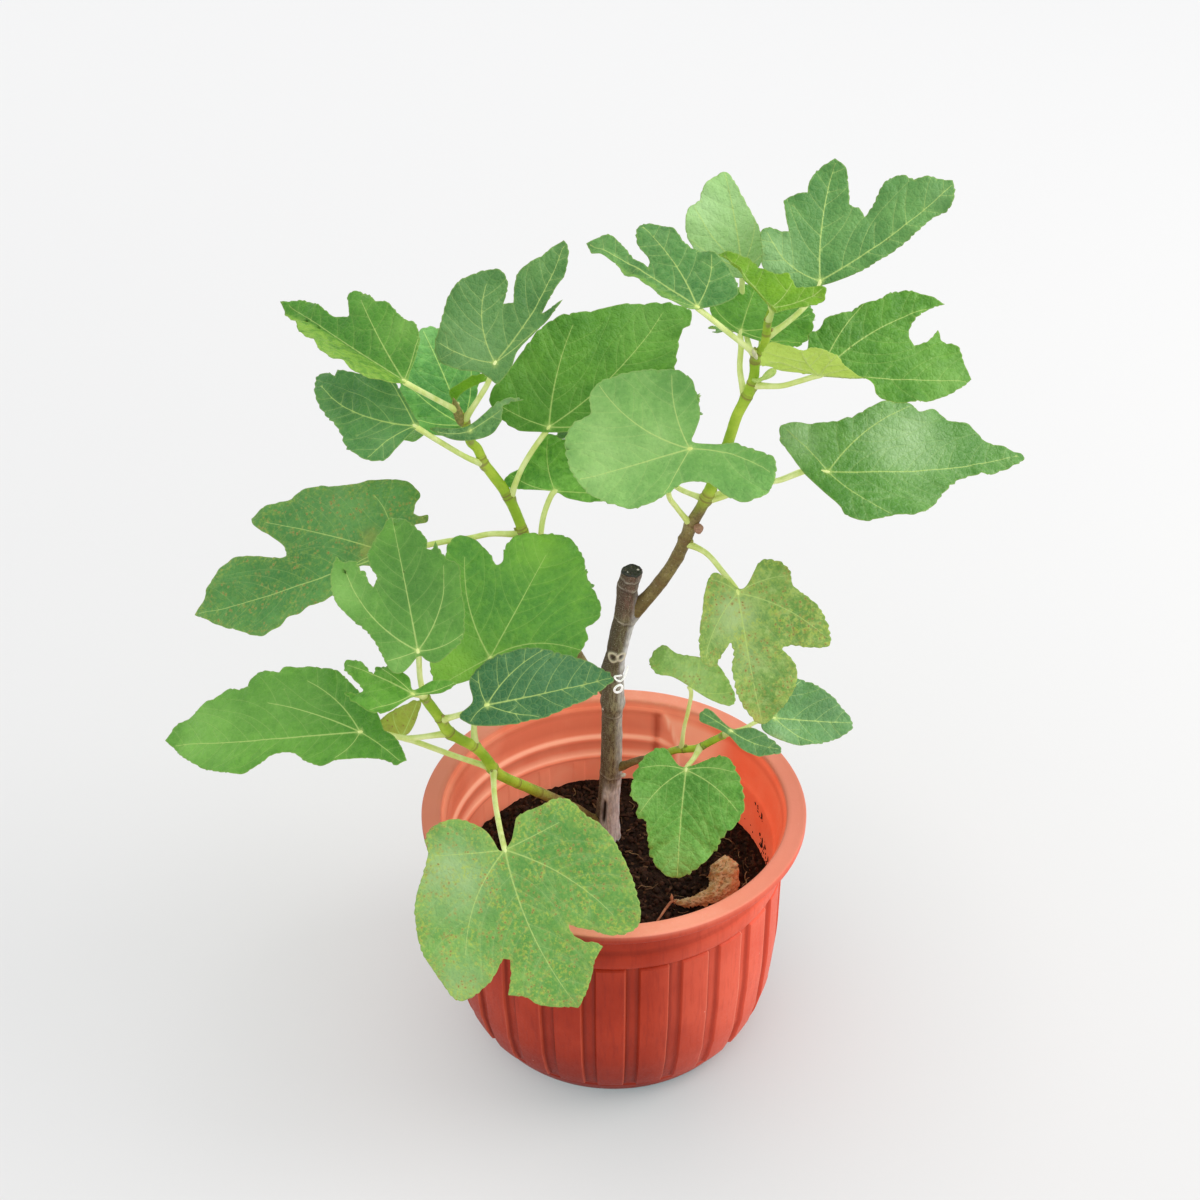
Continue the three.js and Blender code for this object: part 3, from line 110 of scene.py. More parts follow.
     "lobes": [[-1.3, 115.5, 1], [-7.2, 102.6], [-9.0, 90.7], [-9.3, 81.1], [-9.8, 75.3], [-13.4, 72.3, 1], [-15.9, 69.3], [-19.5, 75.9], [-21.4, 82.2], [-25.9, 83.3], [-30.5, 76.4], [-33.0, 67.6, 1], [-38.5, 64.7], [-44.5, 55.3], [-50.3, 47.8], [-59.2, 44.2], [-67.3, 33.1], [-73.7, 19.6], [-82.1, 7.4], [-147.4, 2.0], [86.7, 14.2], [71.7, 24.0], [56.4, 35.1], [41.9, 44.9], [28.7, 57.5], [16.6, 73.8], [4.3, 97.2]]},
    {"name": "leaf_mid_cupped", "at": [-104.9, 79.0, 461.3], "aim": [119.0, 32.0, 19.5], "reach": 78.3, "droop": 8, "fold": [8, 8], "stalk": 2.17, "on": "bough_upper_left", "look": "dark", "teeth": [7.0, 1.2], "lift": 2.2, "shades": [[-1, 75, 8, 0.8], [23, 27, 12, -0.5]], "painted_sheen_veil": 0.045, "mottle": 0.7,
     "stem": [[-102.0, 69.0, 467.7], [-103.0, 73.4, 466.8], [-104.9, 79.0, 461.3]],
     "veins": [[-2, 79], [27, 54], [-29, 48], [57, 41]],
     "lobes": [[0, 82], [5, 78], [40, 50], [63, 43], [111, 12], [-99, 2], [-41, 40], [-28, 56], [-16, 62], [-11, 76], [-6, 81]]},
    {"name": "leaf_mid_low", "at": [-133.0, 34.0, 485.9], "aim": [149.2, 12.1, 32.2], "reach": 79.3, "droop": 12, "fold": [8, 8], "stalk": 2.09, "on": "bough_upper_left", "look": "teal_dark", "teeth": [7.0, 1.0], "lift": 1.4, "shades": [[4, 57, 13, -0.8], [61, 22, 10, 0.2]],
     "stem": [[-90.2, 70.1, 435.3], [-99.9, 63.8, 443.2], [-118.3, 47.8, 465.8], [-133.0, 34.0, 485.9]],
     "veins": [[4, 76, 24], [-30, 40, -4], [71, 36, -14]],
     "lobes": [[-1.4, 87.1], [-4.3, 82.6], [-4.8, 72.4, 1], [-8.5, 74.5, 1], [-10.6, 68.7], [-20.2, 52.1], [-28.2, 42.3], [-33.8, 35.3], [-37.2, 24.5], [-42.3, 13.6], [-57.1, 6.4], [-124.5, 3.0], [113.7, 3.2], [91.0, 12.8], [88.5, 26.3], [84.0, 33.7], [74.0, 39.5], [64.1, 43.5], [51.2, 47.5], [35.6, 50.3], [20.4, 63.6], [11.3, 75.3]]},
    {"name": "leaf_mid_broad", "at": [-45.6, 74.0, 462.8], "aim": [44.9, 36.0, -30.5], "reach": 108.3, "droop": 10, "fold": [8, 8], "stalk": 2.16, "on": "bough_upper_left", "look": "mid", "teeth": [10.0, 0.9], "lift": 1.05, "shades": [[-7, 104, 16, 0.35], [14, 20, 16, -0.35], [64, 43, 12, 0.25], [1, 68, 12, -0.25]], "stains": [[20, 101, 5, 0.4]], "mottle": 0.3,
     "stem": [[-73.9, 71.0, 406.4], [-65.4, 72.1, 429.6], [-57.5, 72.9, 444.4], [-45.6, 74.0, 462.8]],
     "veins": [[23, 74, 9], [-8, 114, -14], [102, 38, 10], [-41, 71, -20]],
     "lobes": [[-13.1, 130.8], [-7.9, 124.8], [2.1, 109.7], [13.2, 92.1], [31.9, 77.7], [38.8, 71.5], [43.1, 66.8], [66.7, 49.6], [97.8, 45.9], [111.2, 39.0], [119.2, 31.8], [132.2, 21.4], [155.7, 7.1], [-74.6, 11.8], [-58.1, 31.8], [-51.1, 51.7], [-44.2, 73.9], [-34.1, 90.2], [-18.0, 114.6], [-17.8, 121.9]]},
    {"name": "leaf_mid_under", "at": [-42.1, 75.0, 410.9], "aim": [11.3, 6.1, -41.1], "reach": 40.9, "droop": 8, "fold": [8, 8], "stalk": 2.21, "on": "bough_upper_left", "look": "mid", "lift": 1.5, "shades": [[151, 26, 9.0, -0.54], [7, 26, 11.2, 0.27]], "painted_sheen_veil": 0.03, "mottle": 1.0,
     "stem": [[-52.7, 67.8, 347.3], [-52.4, 71.2, 377.6], [-49.3, 73.1, 395.6], [-42.1, 75.0, 410.9]],
     "veins": [[-12, 37], [149, 32], [86, 37]],
     "lobes": [[-4, 43], [11, 42], [67, 37], [87, 41], [131, 29], [154, 36], [163, 35], [-60, 1], [-43, 11], [-22, 37]]},
    {"name": "leaf_right_pale_front", "at": [47.4, -24.0, 502.9], "aim": [-173.7, -8.6, 37.8], "reach": 74.3, "droop": 8, "fold": [8, 8], "stalk": 2.0, "on": "bough_right", "look": "pale", "teeth": [6.0, 0.8], "lift": 1.27, "shades": [[0, 58, 15.7, 0.68], [-85, 43, 11.2, -0.81], [-26, 23, 11.2, 0.41], [143, 44, 13.4, -0.54], [-28, 67, 13.4, 0.27]], "painted_sheen_veil": 0.05, "mottle": 0.4,
     "stem": [[51.3, 20.0, 418.1], [41.3, 11.4, 436.9], [35.6, 3.9, 450.8], [36.7, -9.7, 478.8], [47.4, -24.0, 502.9]],
     "veins": [[5, 71, 1], [-47, 71, 21], [-87, 49, 15], [150, 53, 18], [53, 36, -1]],
     "lobes": [[-15.4, 80.1], [-24.3, 76.7], [-31.8, 68.8], [-41.1, 73.6], [-49.9, 72.0], [-61.8, 64.6], [-74.6, 57.8], [-89.6, 53.4], [-100.6, 46.5], [-107.8, 35.6], [-117.0, 22.5], [-116.6, 11.5], [-114.3, 5.4, 1], [-177.5, 14.3], [175.6, 28.1], [168.2, 40.5], [161.1, 53.0], [149.9, 57.5], [135.5, 58.3], [122.7, 53.1], [116.0, 44.4], [109.5, 32.8], [94.4, 24.7], [65.6, 25.8], [54.1, 37.5], [41.4, 50.3], [29.1, 60.8], [14.3, 69.7], [2.7, 75.4], [-7.4, 78.8]]},
    {"name": "leaf_right_diamond", "at": [139.1, 2.0, 470.9], "aim": [11.9, -1.2, -29.6], "reach": 136.5, "droop": 16, "fold": [8, 8], "stalk": 2.06, "on": "bough_right", "look": "glossy", "teeth": [9.0, 0.9], "lift": 1.05, "shades": [[19, 61, 16, 1.0], [119, 30, 10, 0.6], [46, 41, 8, -0.4], [-70, 26, 12, -0.3], [5, 119, 14, -0.3]], "mottle": 0.4,
     "stem": [[59.8, 16.8, 439.2], [73.2, 14.8, 444.3], [93.7, 10.6, 459.4], [106.0, 8.4, 460.0], [128.1, 4.0, 471.1], [139.1, 2.0, 470.9]],
     "veins": [[4, 140, -12], [34, 79, 14], [125, 38, -7], [-47, 49, -14]],
     "lobes": [[4, 148], [9, 120], [15, 113], [21, 97], [27, 94], [29, 82], [35, 81], [44, 69], [68, 38], [129, 43], [-92, 25], [-76, 41], [-63, 47], [-49, 50], [-35, 66], [-6, 92], [-2, 120]]},
    {"name": "leaf_right_keeled", "open": [18, 38], "at": [127.4, -18.0, 553.1], "aim": [3.0, -5.1, -39.3], "reach": 96.8, "droop": 6, "fold": [0, 95], "stalk": 1.96, "on": "bough_right", "look": "mid", "teeth": [5.0, 0.7], "lift": 1.02, "underside_and_glow": [224, 250, 118], "shades": [[63, 35, 12, -0.5], [1, 81, 10, 0.6], [-11, 55, 12, -0.3], [17, 62, 7, 0.3]], "stains": [[180, 19, 5, 0.4]], "mottle": 0.4,
     "stem": [[86.4, 2.6, 534.6], [104.0, -5.1, 538.2], [115.8, -11.5, 545.3], [127.4, -18.0, 553.1]],
     "veins": [[36, 86, 14], [2, 97, -3], [60, 60, 12], [-35, 30, -6], [-75, 36, -14], [-120, 38, -10], [-155, 36, 8]],
     "lobes": [[122.8, 16.2], [110.7, 21.1], [103.6, 28.8], [89.6, 31.8], [84.8, 38.4], [72.8, 44.3], [65.4, 50.2], [62.0, 56.9], [54.4, 67.2], [52.0, 76.4], [47.4, 85.0], [41.5, 90.9], [34.2, 99.9, 1], [35.3, 88.0], [34.2, 73.9], [28.2, 65.4], [21.9, 65.4, 1], [21.6, 73.8], [25.9, 86.1, 1], [20.3, 85.2], [17.5, 92.1], [13.5, 94.3], [3.3, 98.7, 1], [-1.9, 89.5], [-8.4, 75.2], [-14.5, 61.2], [-19.1, 48.4], [-18.1, 39.5], [-11.3, 30.3], [-13.7, 23.5], [-40.3, 19.5], [-75.9, 25.3], [-95.1, 33.8], [-105.5, 40.5], [-116.8, 31.8], [-125.5, 39.8], [-129.6, 51.9], [-137.6, 51.0], [-155.2, 44.5], [-168.6, 37.3], [-175.3, 25.7], [-175.1, 11.6]]},
    {"name": "leaf_top_upright", "at": [127.8, 22.0, 598.1], "aim": [78.9, 50.4, -13.3], "reach": 78.8, "droop": 8, "fold": [8, 8], "stalk": 1.98, "on": "bough_right", "look": "teal", "teeth": [5.0, 0.7], "lift": 1.12, "shades": [[73, 32, 12, 1.0], [12, 57, 9, -0.6], [-19, 36, 14, 0.1], [-46, 94, 8, 0.25]],
     "stem": [[93.5, 0.0, 569.5], [106.0, 6.0, 576.1], [118.6, 13.7, 584.9], [127.8, 22.0, 598.1]],
     "veins": [[-1, 77, 11], [-47, 103, -7], [58, 44, 26]],
     "lobes": [[-0.6, 80.8, 1], [-6.4, 75.2], [-10.5, 63.2], [-15.4, 52.3], [-21.9, 52.8], [-27.5, 50.4, 1], [-27.7, 59.2], [-26.3, 74.7], [-29.7, 85.8], [-35.5, 88.6], [-39.0, 95.5], [-45.8, 105.8, 1], [-49.4, 102.3], [-53.8, 93.6], [-53.8, 80.6], [-57.1, 65.5], [-62.3, 45.4], [-69.6, 26.3], [-87.7, 8.8], [-173.1, 3.2], [131.0, 11.0], [114.3, 20.5], [101.3, 30.1], [87.4, 37.1], [72.0, 42.6], [59.8, 48.5], [51.8, 45.5], [46.5, 39.2], [42.1, 36.5, 1], [36.4, 46.6], [31.4, 55.2], [22.2, 56.8], [15.4, 56.6, 1], [13.2, 63.7], [6.5, 73.2]]},
    {"name": "leaf_top_keeled", "at": [49.3, -22.0, 601.5], "aim": [144.0, 12.9, 28.3], "reach": 86.5, "droop": 6, "fold": [36, 0], "stalk": 1.92, "on": "bough_right", "look": "teal", "teeth": [4.5, 0.7], "lift": 1.16, "underside_and_glow": [140, 178, 110], "shades": [[-35, 13, 13.4, -0.68], [-7, 49, 9.0, -0.41], [-27, 58, 7.8, 0.2]], "half": [1, 0.35], "mottle": 0.5,
     "stem": [[89.0, 0.0, 557.3], [70.8, -8.9, 576.7], [49.3, -22.0, 601.5]],
     "veins": [[-2, 86], [-25, 69], [25, 34], [-67, 38], [67, 19]],
     "lobes": [[-1.5, 89.4, 1], [-9.3, 82.0], [-10.9, 70.9], [-8.1, 55.4], [-9.1, 43.6, 1], [-15.1, 48.4], [-16.9, 63.5], [-24.7, 73.9], [-33.6, 67.4], [-39.5, 60.4, 1], [-47.8, 45.7], [-70.4, 39.9], [-95.0, 32.3], [-125.9, 26.2], [-138.7, 15.3], [180.0, 2.5], [71.3, 7.2], [33.0, 14.5], [13.3, 31.8], [5.8, 50.0], [0.8, 70.0], [0.7, 82.1]]},
    {"name": "leaf_top_back", "at": [80.6, 52.0, 592.7], "aim": [103.2, 45.4, 12.4], "reach": 66.1, "droop": 8, "fold": [8, 8], "stalk": 2.02, "on": "bough_right", "look": "wash", "teeth": [7.0, 0.6], "lift": 1.15, "shades": [[-31, 14, 11, -1.0], [23, 50, 9, 0.5]],
     "stem": [[89.9, 0, 552], [86, 20, 551], [83, 40, 558], [81.5, 54, 574], [80.6, 52, 592.7]],
     "veins": [[0, 66], [28, 53], [-26, 36], [52, 37], [-68, 15]],
     "lobes": [[-0.8, 68.0, 1], [6.6, 65.1], [15.5, 59.8], [21.9, 53.3], [32.5, 52.2], [44.3, 45.6], [53.4, 38.4], [64.8, 28.2], [87.1, 17.6], [170.4, 6.7], [-102.4, 10.3], [-63.1, 17.6], [-38.1, 25.7], [-22.6, 34.6], [-10.4, 47.9], [-4.7, 59.8]]},
    {"name": "leaf_top_young", "at": [95.3, -10.0, 595.1], "aim": [126.1, 20.8, 18.0], "reach": 53.0, "droop": 4, "fold": [78, 0], "stalk": 1.66, "on": "bough_right", "look": "young", "lift": 0.88, "underside_and_glow": [176, 214, 80], "shades": [[-11, 40, 6, 0.5], [-98, 13, 6, -0.3]],
     "stem": [[94.6, 0.0, 580.4], [96.0, -5.0, 587.9], [95.3, -10.0, 595.1]],
     "veins": [[-1, 51], [-69, 21], [69, 7], [-103, 33], [103, 12]],
     "lobes": [[0, 55, 1], [6, 40], [12, 22], [35, 8], [132, 12], [178, 5], [-118, 30], [-110, 35], [-101, 36], [-80, 23], [-58, 28], [-40, 26], [-26, 32], [-15, 42]]},
    {"name": "leaf_top_under", "at": [80.2, 30.0, 559.0], "aim": [61.9, 30.3, -15.1], "reach": 31.5, "droop": 8, "fold": [8, 8], "stalk": 2.02, "on": "bough_right", "look": "mid_dark", "lift": 1.48, "shades": [[-63, 35, 11.2, -0.68], [43, 12, 9.0, -0.41], [-10, 28, 9.0, 0.54]], "painted_sheen_veil": 0.02, "mottle": 0.7,
     "stem": [[83.1, 4.0, 523.6], [79.5, 13.9, 539.4], [80.2, 23.8, 551.4], [80.2, 30.0, 559.0]],
     "veins": [[7, 34], [71, 22], [-54, 44], [-83, 39]],
     "lobes": [[-46, 48], [-24, 44], [0, 41], [44, 29], [79, 25], [96, 12], [-90, 36], [-80, 42], [-61, 47]]},
    {"name": "leaf_right_hanging", "at": [82.7, -14.0, 385.8], "aim": [-66.8, -61.0, -14.4], "reach": 90.9, "droop": 12, "fold": [8, 8], "stalk": 2.11, "on": "bough_right", "look": "spotted_yellow", "teeth": [5.5, 0.9], "lift": 1.1, "shades": [[-20, 16, 11, 1.0], [0, 46, 9, 0.5], [57, 46, 13, -0.9], [75, 55, 8, -0.4], [9, 78, 10, -0.6]], "stains": [[-91, 31, 5, 0.5], [-28, 75, 5, 0.6], [-5, 90, 6, 0.7]], "mottle": 1.2,
     "stem": [[47.0, 22.4, 402.9], [61.7, 11.9, 400.8], [72.3, -0.3, 394.3], [82.7, -14.0, 385.8]],
     "veins": [[1, 92], [53, 67], [-39, 47], [99, 37], [-128, 17]],
     "lobes": [[1, 94], [17, 80], [25, 71], [29, 60], [29, 48], [50, 71], [58, 66], [70, 55], [89, 37], [103, 38], [119, 34], [134, 27], [125, 4], [-140, 22], [-49, 44], [-40, 52], [-29, 52], [-21, 34], [-15, 39], [-14, 56], [-9, 73]]},
    {"name": "leaf_low_small", "at": [53.0, -4.0, 297.7], "aim": [140.0, 20.8, 27.1], "reach": 37.0, "droop": 8, "fold": [8, 8], "stalk": 1.57, "on": "shoot_low_right", "look": "spotted_pale", "teeth": [5.0, 0.8], "lift": 1.35, "shades": [[-47, 12, 9.0, 0.68], [-140, 25, 6.7, -0.68], [6, 31, 6.7, -0.41]], "mottle": 1.1,
     "stem": [[48.5, 6.8, 235.2], [49.9, 3.1, 257.6], [52.2, 0.2, 274.3], [53.0, -4.0, 297.7]],
     "veins": [[5, 33], [-143, 26], [-64, 24]],
     "lobes": [[-7, 39], [7, 36], [18, 27], [7, 15], [-166, 17], [-160, 32], [-151, 33], [-99, 26], [-77, 25], [-27, 28], [-17, 38]]},
    {"name": "leaf_low_heart", "at": [51.1, -22.0, 239.6], "aim": [-96.6, -51.1, 8.0], "reach": 76.1, "droop": 8, "fold": [8, 8], "stalk": 1.91, "on": "shoot_low_right", "look": "fresh", "teeth": [7.5, 1.5], "lift": 1.33, "shades": [[18, 12, 14.6, -1.0], [1, 65, 11.2, 0.61], [-53, 39, 6.7, 0.47]], "painted_sheen_veil": 0.03, "mottle": 0.9,
     "stem": [[62.2, 2.2, 241.8], [57.1, -9.3, 240.3], [51.1, -22.0, 239.6]],
     "veins": [[0, 75], [56, 45], [-44, 44], [92, 33], [-88, 33]],
     "lobes": [[0, 77], [24, 61], [35, 53], [48, 52], [66, 47], [108, 32], [117, 26], [-122, 4], [-131, 21], [-119, 27], [-94, 34], [-61, 44], [-52, 42], [-43, 48], [-37, 46], [-20, 63], [-12, 72]]},
    {"name": "leaf_low_young", "at": [82.2, -14.0, 268.5], "aim": [155.8, 17.4, 21.8], "reach": 24.9, "droop": 6, "fold": [8, 8], "stalk": 1.58, "on": "shoot_low_right", "look": "teal_dark", "lift": 1.26, "shades": [[-173, 26, 6, -0.4]], "painted_sheen_veil": 0.04,
     "stem": [[78.2, -3.0, 256.3], [80.0, -7.3, 260.5], [82.2, -14.0, 268.5]],
     "veins": [[-5, 24], [-172, 35]],
     "lobes": [[-172, 38], [-142, 16], [-87, 2], [-17, 23], [-7, 25], [8, 24], [86, 4], [146, 16], [162, 25], [177, 34]]},
    {"name": "leaf_low_right", "at": [114.5, 6.0, 264.8], "aim": [3.0, -8.4, -33.9], "reach": 56.3, "droop": 10, "fold": [8, 8], "stalk": 1.6, "on": "shoot_low_right", "look": "teal_dark", "teeth": [5.5, 0.8], "lift": 1.44, "shades": [[-64, 13, 8, 1.0], [12, 43, 10, -0.5]], "stains": [[-91, 21, 4, 0.9], [-82, 31, 4, 0.7]], "painted_sheen_veil": 0.06,
     "stem": [[78.2, -3.0, 256.3], [93.1, 0.2, 260.2], [100.9, 2.5, 263.8], [114.5, 6.0, 264.8]],
     "veins": [[3, 56], [59, 33], [-32, 31]],
     "lobes": [[0, 58], [16, 51], [63, 34], [75, 22], [-147, 12], [-120, 14], [-46, 27], [-15, 45]]},
    {"name": "leaf_mid_tip", "at": [-108.5, 72.0, 480.8], "aim": [26.1, 36.8, -33.7], "reach": 29.3, "droop": 4, "fold": [8, 8], "stalk": 1.53, "on": "bough_upper_left", "look": "young",
     "stem": [[-107.0, 68.0, 478.4], [-107.8, 70.0, 479.6], [-108.5, 72.0, 480.8]],
     "veins": [[2, 27]],
     "lobes": [[73.4, 10.8], [41.6, 14.4], [20.3, 21.3], [7.9, 27.1], [-6.4, 30.1], [-4.6, 24.6], [7.0, 15.0], [22.2, 8.2], [80.4, 2.5]]},
    {"name": "leaf_mid_cupped_lobe", "at": [-98.0, 50.0, 473.1], "aim": [24.1, 27.1, -45.4], "reach": 38.7, "droop": 4, "fold": [8, 8], "stalk": 1.21, "on": "bough_upper_left", "look": "teal", "lift": 1.14, "shades": [[148, 13, 6.7, -0.81], [5, 31, 6.7, 0.68]], "painted_sheen_veil": 0.03, "mottle": 1.1,
     "stem": [[-99.7, 69.0, 456.4], [-98.7, 58.1, 466.1], [-98.0, 50.0, 473.1]],
     "veins": [[-1, 41], [147, 24]],
     "lobes": [[-4, 42], [9, 31], [94, 4], [141, 27], [180, 11], [-48, 14], [-18, 22], [2, 29]]},
    {"name": "leaf_back_broad", "at": [10.0, 98.0, 446.0], "aim": [100.0, -16.0, 4.0], "reach": 98.0, "droop": 18, "fold": [8, 8], "stalk": 2.0, "on": "bough_right", "look": "mid",
     "stem": [[60.0, 17.0, 440.0], [38.0, 52.0, 432.0], [10.0, 98.0, 446.0]],
     "veins": [[0, 98], [44, 74], [-44, 74], [86, 54], [-86, 54]],
     "lobes": [[0, 98], [13, 83], [20, 52], [29, 72], [45, 85], [60, 64], [79, 47], [99, 53], [124, 41], [149, 29], [173, 9], [-173, 8], [-150, 29], [-120, 43], [-98, 52], [-77, 52], [-60, 67], [-43, 92], [-30, 75], [-22, 51], [-12, 75]]},
    {"name": "leaf_back_low", "at": [-61.0, 112.0, 295.0], "aim": [112.0, -20.0, -4.0], "reach": 84.0, "droop": 16, "fold": [8, 8], "stalk": 2.0, "on": "bough_upper_left", "look": "mid",
     "stem": [[-31.0, 58.0, 292.0], [-42.0, 84.0, 294.0], [-61.0, 112.0, 295.0]],
     "veins": [[0, 84], [44, 63], [-44, 63], [86, 46], [-86, 46]],
     "lobes": [[0, 84], [12, 65], [22, 40], [30, 64], [43, 69], [59, 60], [78, 38], [100, 45], [125, 36], [152, 26], [174, 8], [-175, 7], [-148, 24], [-123, 38], [-98, 47], [-78, 40], [-61, 64], [-42, 79], [-29, 60], [-20, 44], [-11, 68]]},
    {"name": "leaf_back_left", "at": [-137.0, 136.0, 430.0], "aim": [140.0, -18.0, 5.0], "reach": 78.0, "droop": 16, "fold": [8, 8], "stalk": 2.0, "on": "bough_upper_left", "look": "mid",
     "stem": [[-100.5, 70.0, 462.0], [-119.0, 98.0, 444.0], [-137.0, 136.0, 430.0]],
     "veins": [[0, 78], [44, 58], [-44, 58], [86, 43], [-86, 43]],
     "lobes": [[0, 78], [11, 60], [22, 39], [28, 57], [44, 55], [61, 48], [78, 38], [100, 41], [126, 35], [149, 24], [175, 8], [-176, 7], [-151, 21], [-120, 34], [-98, 45], [-78, 40], [-61, 53], [-42, 74], [-31, 57], [-21, 42], [-11, 61]]},
    {"name": "leaf_back_top", "at": [96.0, 66.0, 540.0], "aim": [100.0, -20.0, 0.0], "reach": 62.0, "droop": 14, "fold": [8, 8], "stalk": 2.0, "on": "bough_right", "look": "mid",
     "stem": [[88.0, 0.5, 551.0], [93.0, 32.0, 540.0], [96.0, 66.0, 540.0]],
     "veins": [[0, 62], [44, 46], [-44, 46], [86, 34], [-86, 34]],
     "lobes": [[0, 62], [15, 50], [23, 29], [30, 42], [45, 40], [61, 36], [80, 30], [100, 34], [127, 26], [152, 20], [173, 6], [-173, 5], [-149, 16], [-122, 27], [-98, 36], [-77, 30], [-60, 46], [-41, 56], [-31, 47], [-20, 33], [-12, 49]]},
    {"name": "leaf_back_right", "at": [160.0, 70.0, 421.0], "aim": [52.0, -24.0, -10.0], "reach": 72.0, "droop": 16, "fold": [8, 8], "stalk": 2.0, "on": "bough_right", "look": "mid",
     "stem": [[61.6, 15.8, 443], [108.5, 36, 443.4], [134, 58, 439], [160, 70, 421]],
     "veins": [[0, 72], [44, 54], [-44, 54], [86, 40], [-86, 40]],
     "lobes": [[0, 72], [14, 60], [21, 35], [28, 52], [44, 59], [58, 54], [79, 33], [100, 40], [127, 32], [150, 22], [175, 7], [-174, 6], [-148, 19], [-121, 33], [-99, 42], [-75, 34], [-59, 48], [-43, 64], [-31, 51], [-19, 36], [-13, 61]]},
]


# ------------------------------------------------------------------ camera
def make_camera():
    data = bpy.data.cameras.new("view_camera")
    cam = bpy.data.objects.new("view_camera", data)
    bpy.context.scene.collection.objects.link(cam)
    pitch, yaw = math.radians(34.366), math.radians(-0.492)
    f = Vector((math.sin(yaw) * math.cos(pitch), math.cos(yaw) * math.cos(pitch), -math.sin(pitch)))
    cam.location = (0.0, -1.16285, 1.16519)
    cam.rotation_euler = f.to_track_quat("-Z", "Y").to_euler()
    data.sensor_width = 36.0
    data.lens = 2068.0 / 1200.0 * 36.0
    data.clip_end = 50.0
    bpy.context.scene.camera = cam
    return cam


# ------------------------------------------------------------------ mesh tools
def mesh_object(name, verts, tris, mats, mat_index=None, attrs=None, uv=None):
    me = bpy.data.meshes.new(name)
    verts = np.asarray(verts, float) * MM
    tris = np.asarray(tris, int)
    me.from_pydata(verts.tolist(), [], tris.tolist())
    for m in mats:
        me.materials.append(m)
    if mat_index is not None:
        me.polygons.foreach_set("material_index", np.asarray(mat_index, np.int32))
    me.polygons.foreach_set("use_smooth", np.ones(len(tris), bool))
    for key, values in (attrs or {}).items():
        a = me.attributes.new(key, "FLOAT", "POINT")
        a.data.foreach_set("value", np.asarray(values, np.float32))
    if uv is not None:
        layer = me.uv_layers.new(name="UVMap")
        loops = np.zeros(len(me.loops), np.int32)
        me.loops.foreach_get("vertex_index", loops)
        layer.data.foreach_set("uv", np.asarray(uv, np.float32)[loops].ravel())
    me.update()
    o = bpy.data.objects.new(name, me)
    bpy.context.scene.collection.objects.link(o)
    return o


def smooth(x, a, b):
    t = np.clip((np.asarray(x, float) - a) / (b - a), 0, 1)
    return t * t * (3 - 2 * t)


def unit(v):
    v = np.asarray(v, float)
    return v / np.maximum(np.linalg.norm(v, axis=-1, keepdims=True), 1e-12)


def spline(points, step, extra=None):
    """A smooth run through the points (centripetal Catmull-Rom), one every step."""
    P = np.asarray(points, float)
    if len(P) == 2:
        n = max(2, int(np.linalg.norm(P[1] - P[0]) / step) + 1)
        t = np.linspace(0, 1, n)[:, None]
        return P[0] * (1 - t) + P[1] * t
    Q = np.vstack([2 * P[0] - P[1], P, 2 * P[-1] - P[-2]])
    out = []
    for i in range(1, len(Q) - 2):
        out.append(segment(Q[i - 1], Q[i], Q[i + 1], Q[i + 2], step))
    out.append(P[-1:])
    return np.vstack(out)


def segment(p0, p1, p2, p3, step):
    k = slice(0, 3)
    d = lambda a, b: max(np.linalg.norm((b - a)[k]) ** 0.5, 1e-3)
    t0 = 0.0
    t1 = t0 + d(p0, p1)
    t2 = t1 + d(p1, p2)
    t3 = t2 + d(p2, p3)
    n = max(1, int(round(np.linalg.norm((p2 - p1)[k]) / step)))
    t = np.linspace(t1, t2, n, endpoint=False)[:, None]
    a1 = (t1 - t) / (t1 - t0) * p0 + (t - t0) / (t1 - t0) * p1
    a2 = (t2 - t) / (t2 - t1) * p1 + (t - t1) / (t2 - t1) * p2
    a3 = (t3 - t) / (t3 - t2) * p2 + (t - t2) / (t3 - t2) * p3
    b1 = (t2 - t) / (t2 - t0) * a1 + (t - t0) / (t2 - t0) * a2
    b2 = (t3 - t) / (t3 - t1) * a2 + (t - t1) / (t3 - t1) * a3
    return (t2 - t) / (t2 - t1) * b1 + (t - t1) / (t2 - t1) * b2


def loop_spline(points, step):
    P = np.asarray(points, float)
    n = len(P)
    return np.vstack([segment(P[i - 1], P[i], P[(i + 1) % n], P[(i + 2) % n], step) for i in range(n)])


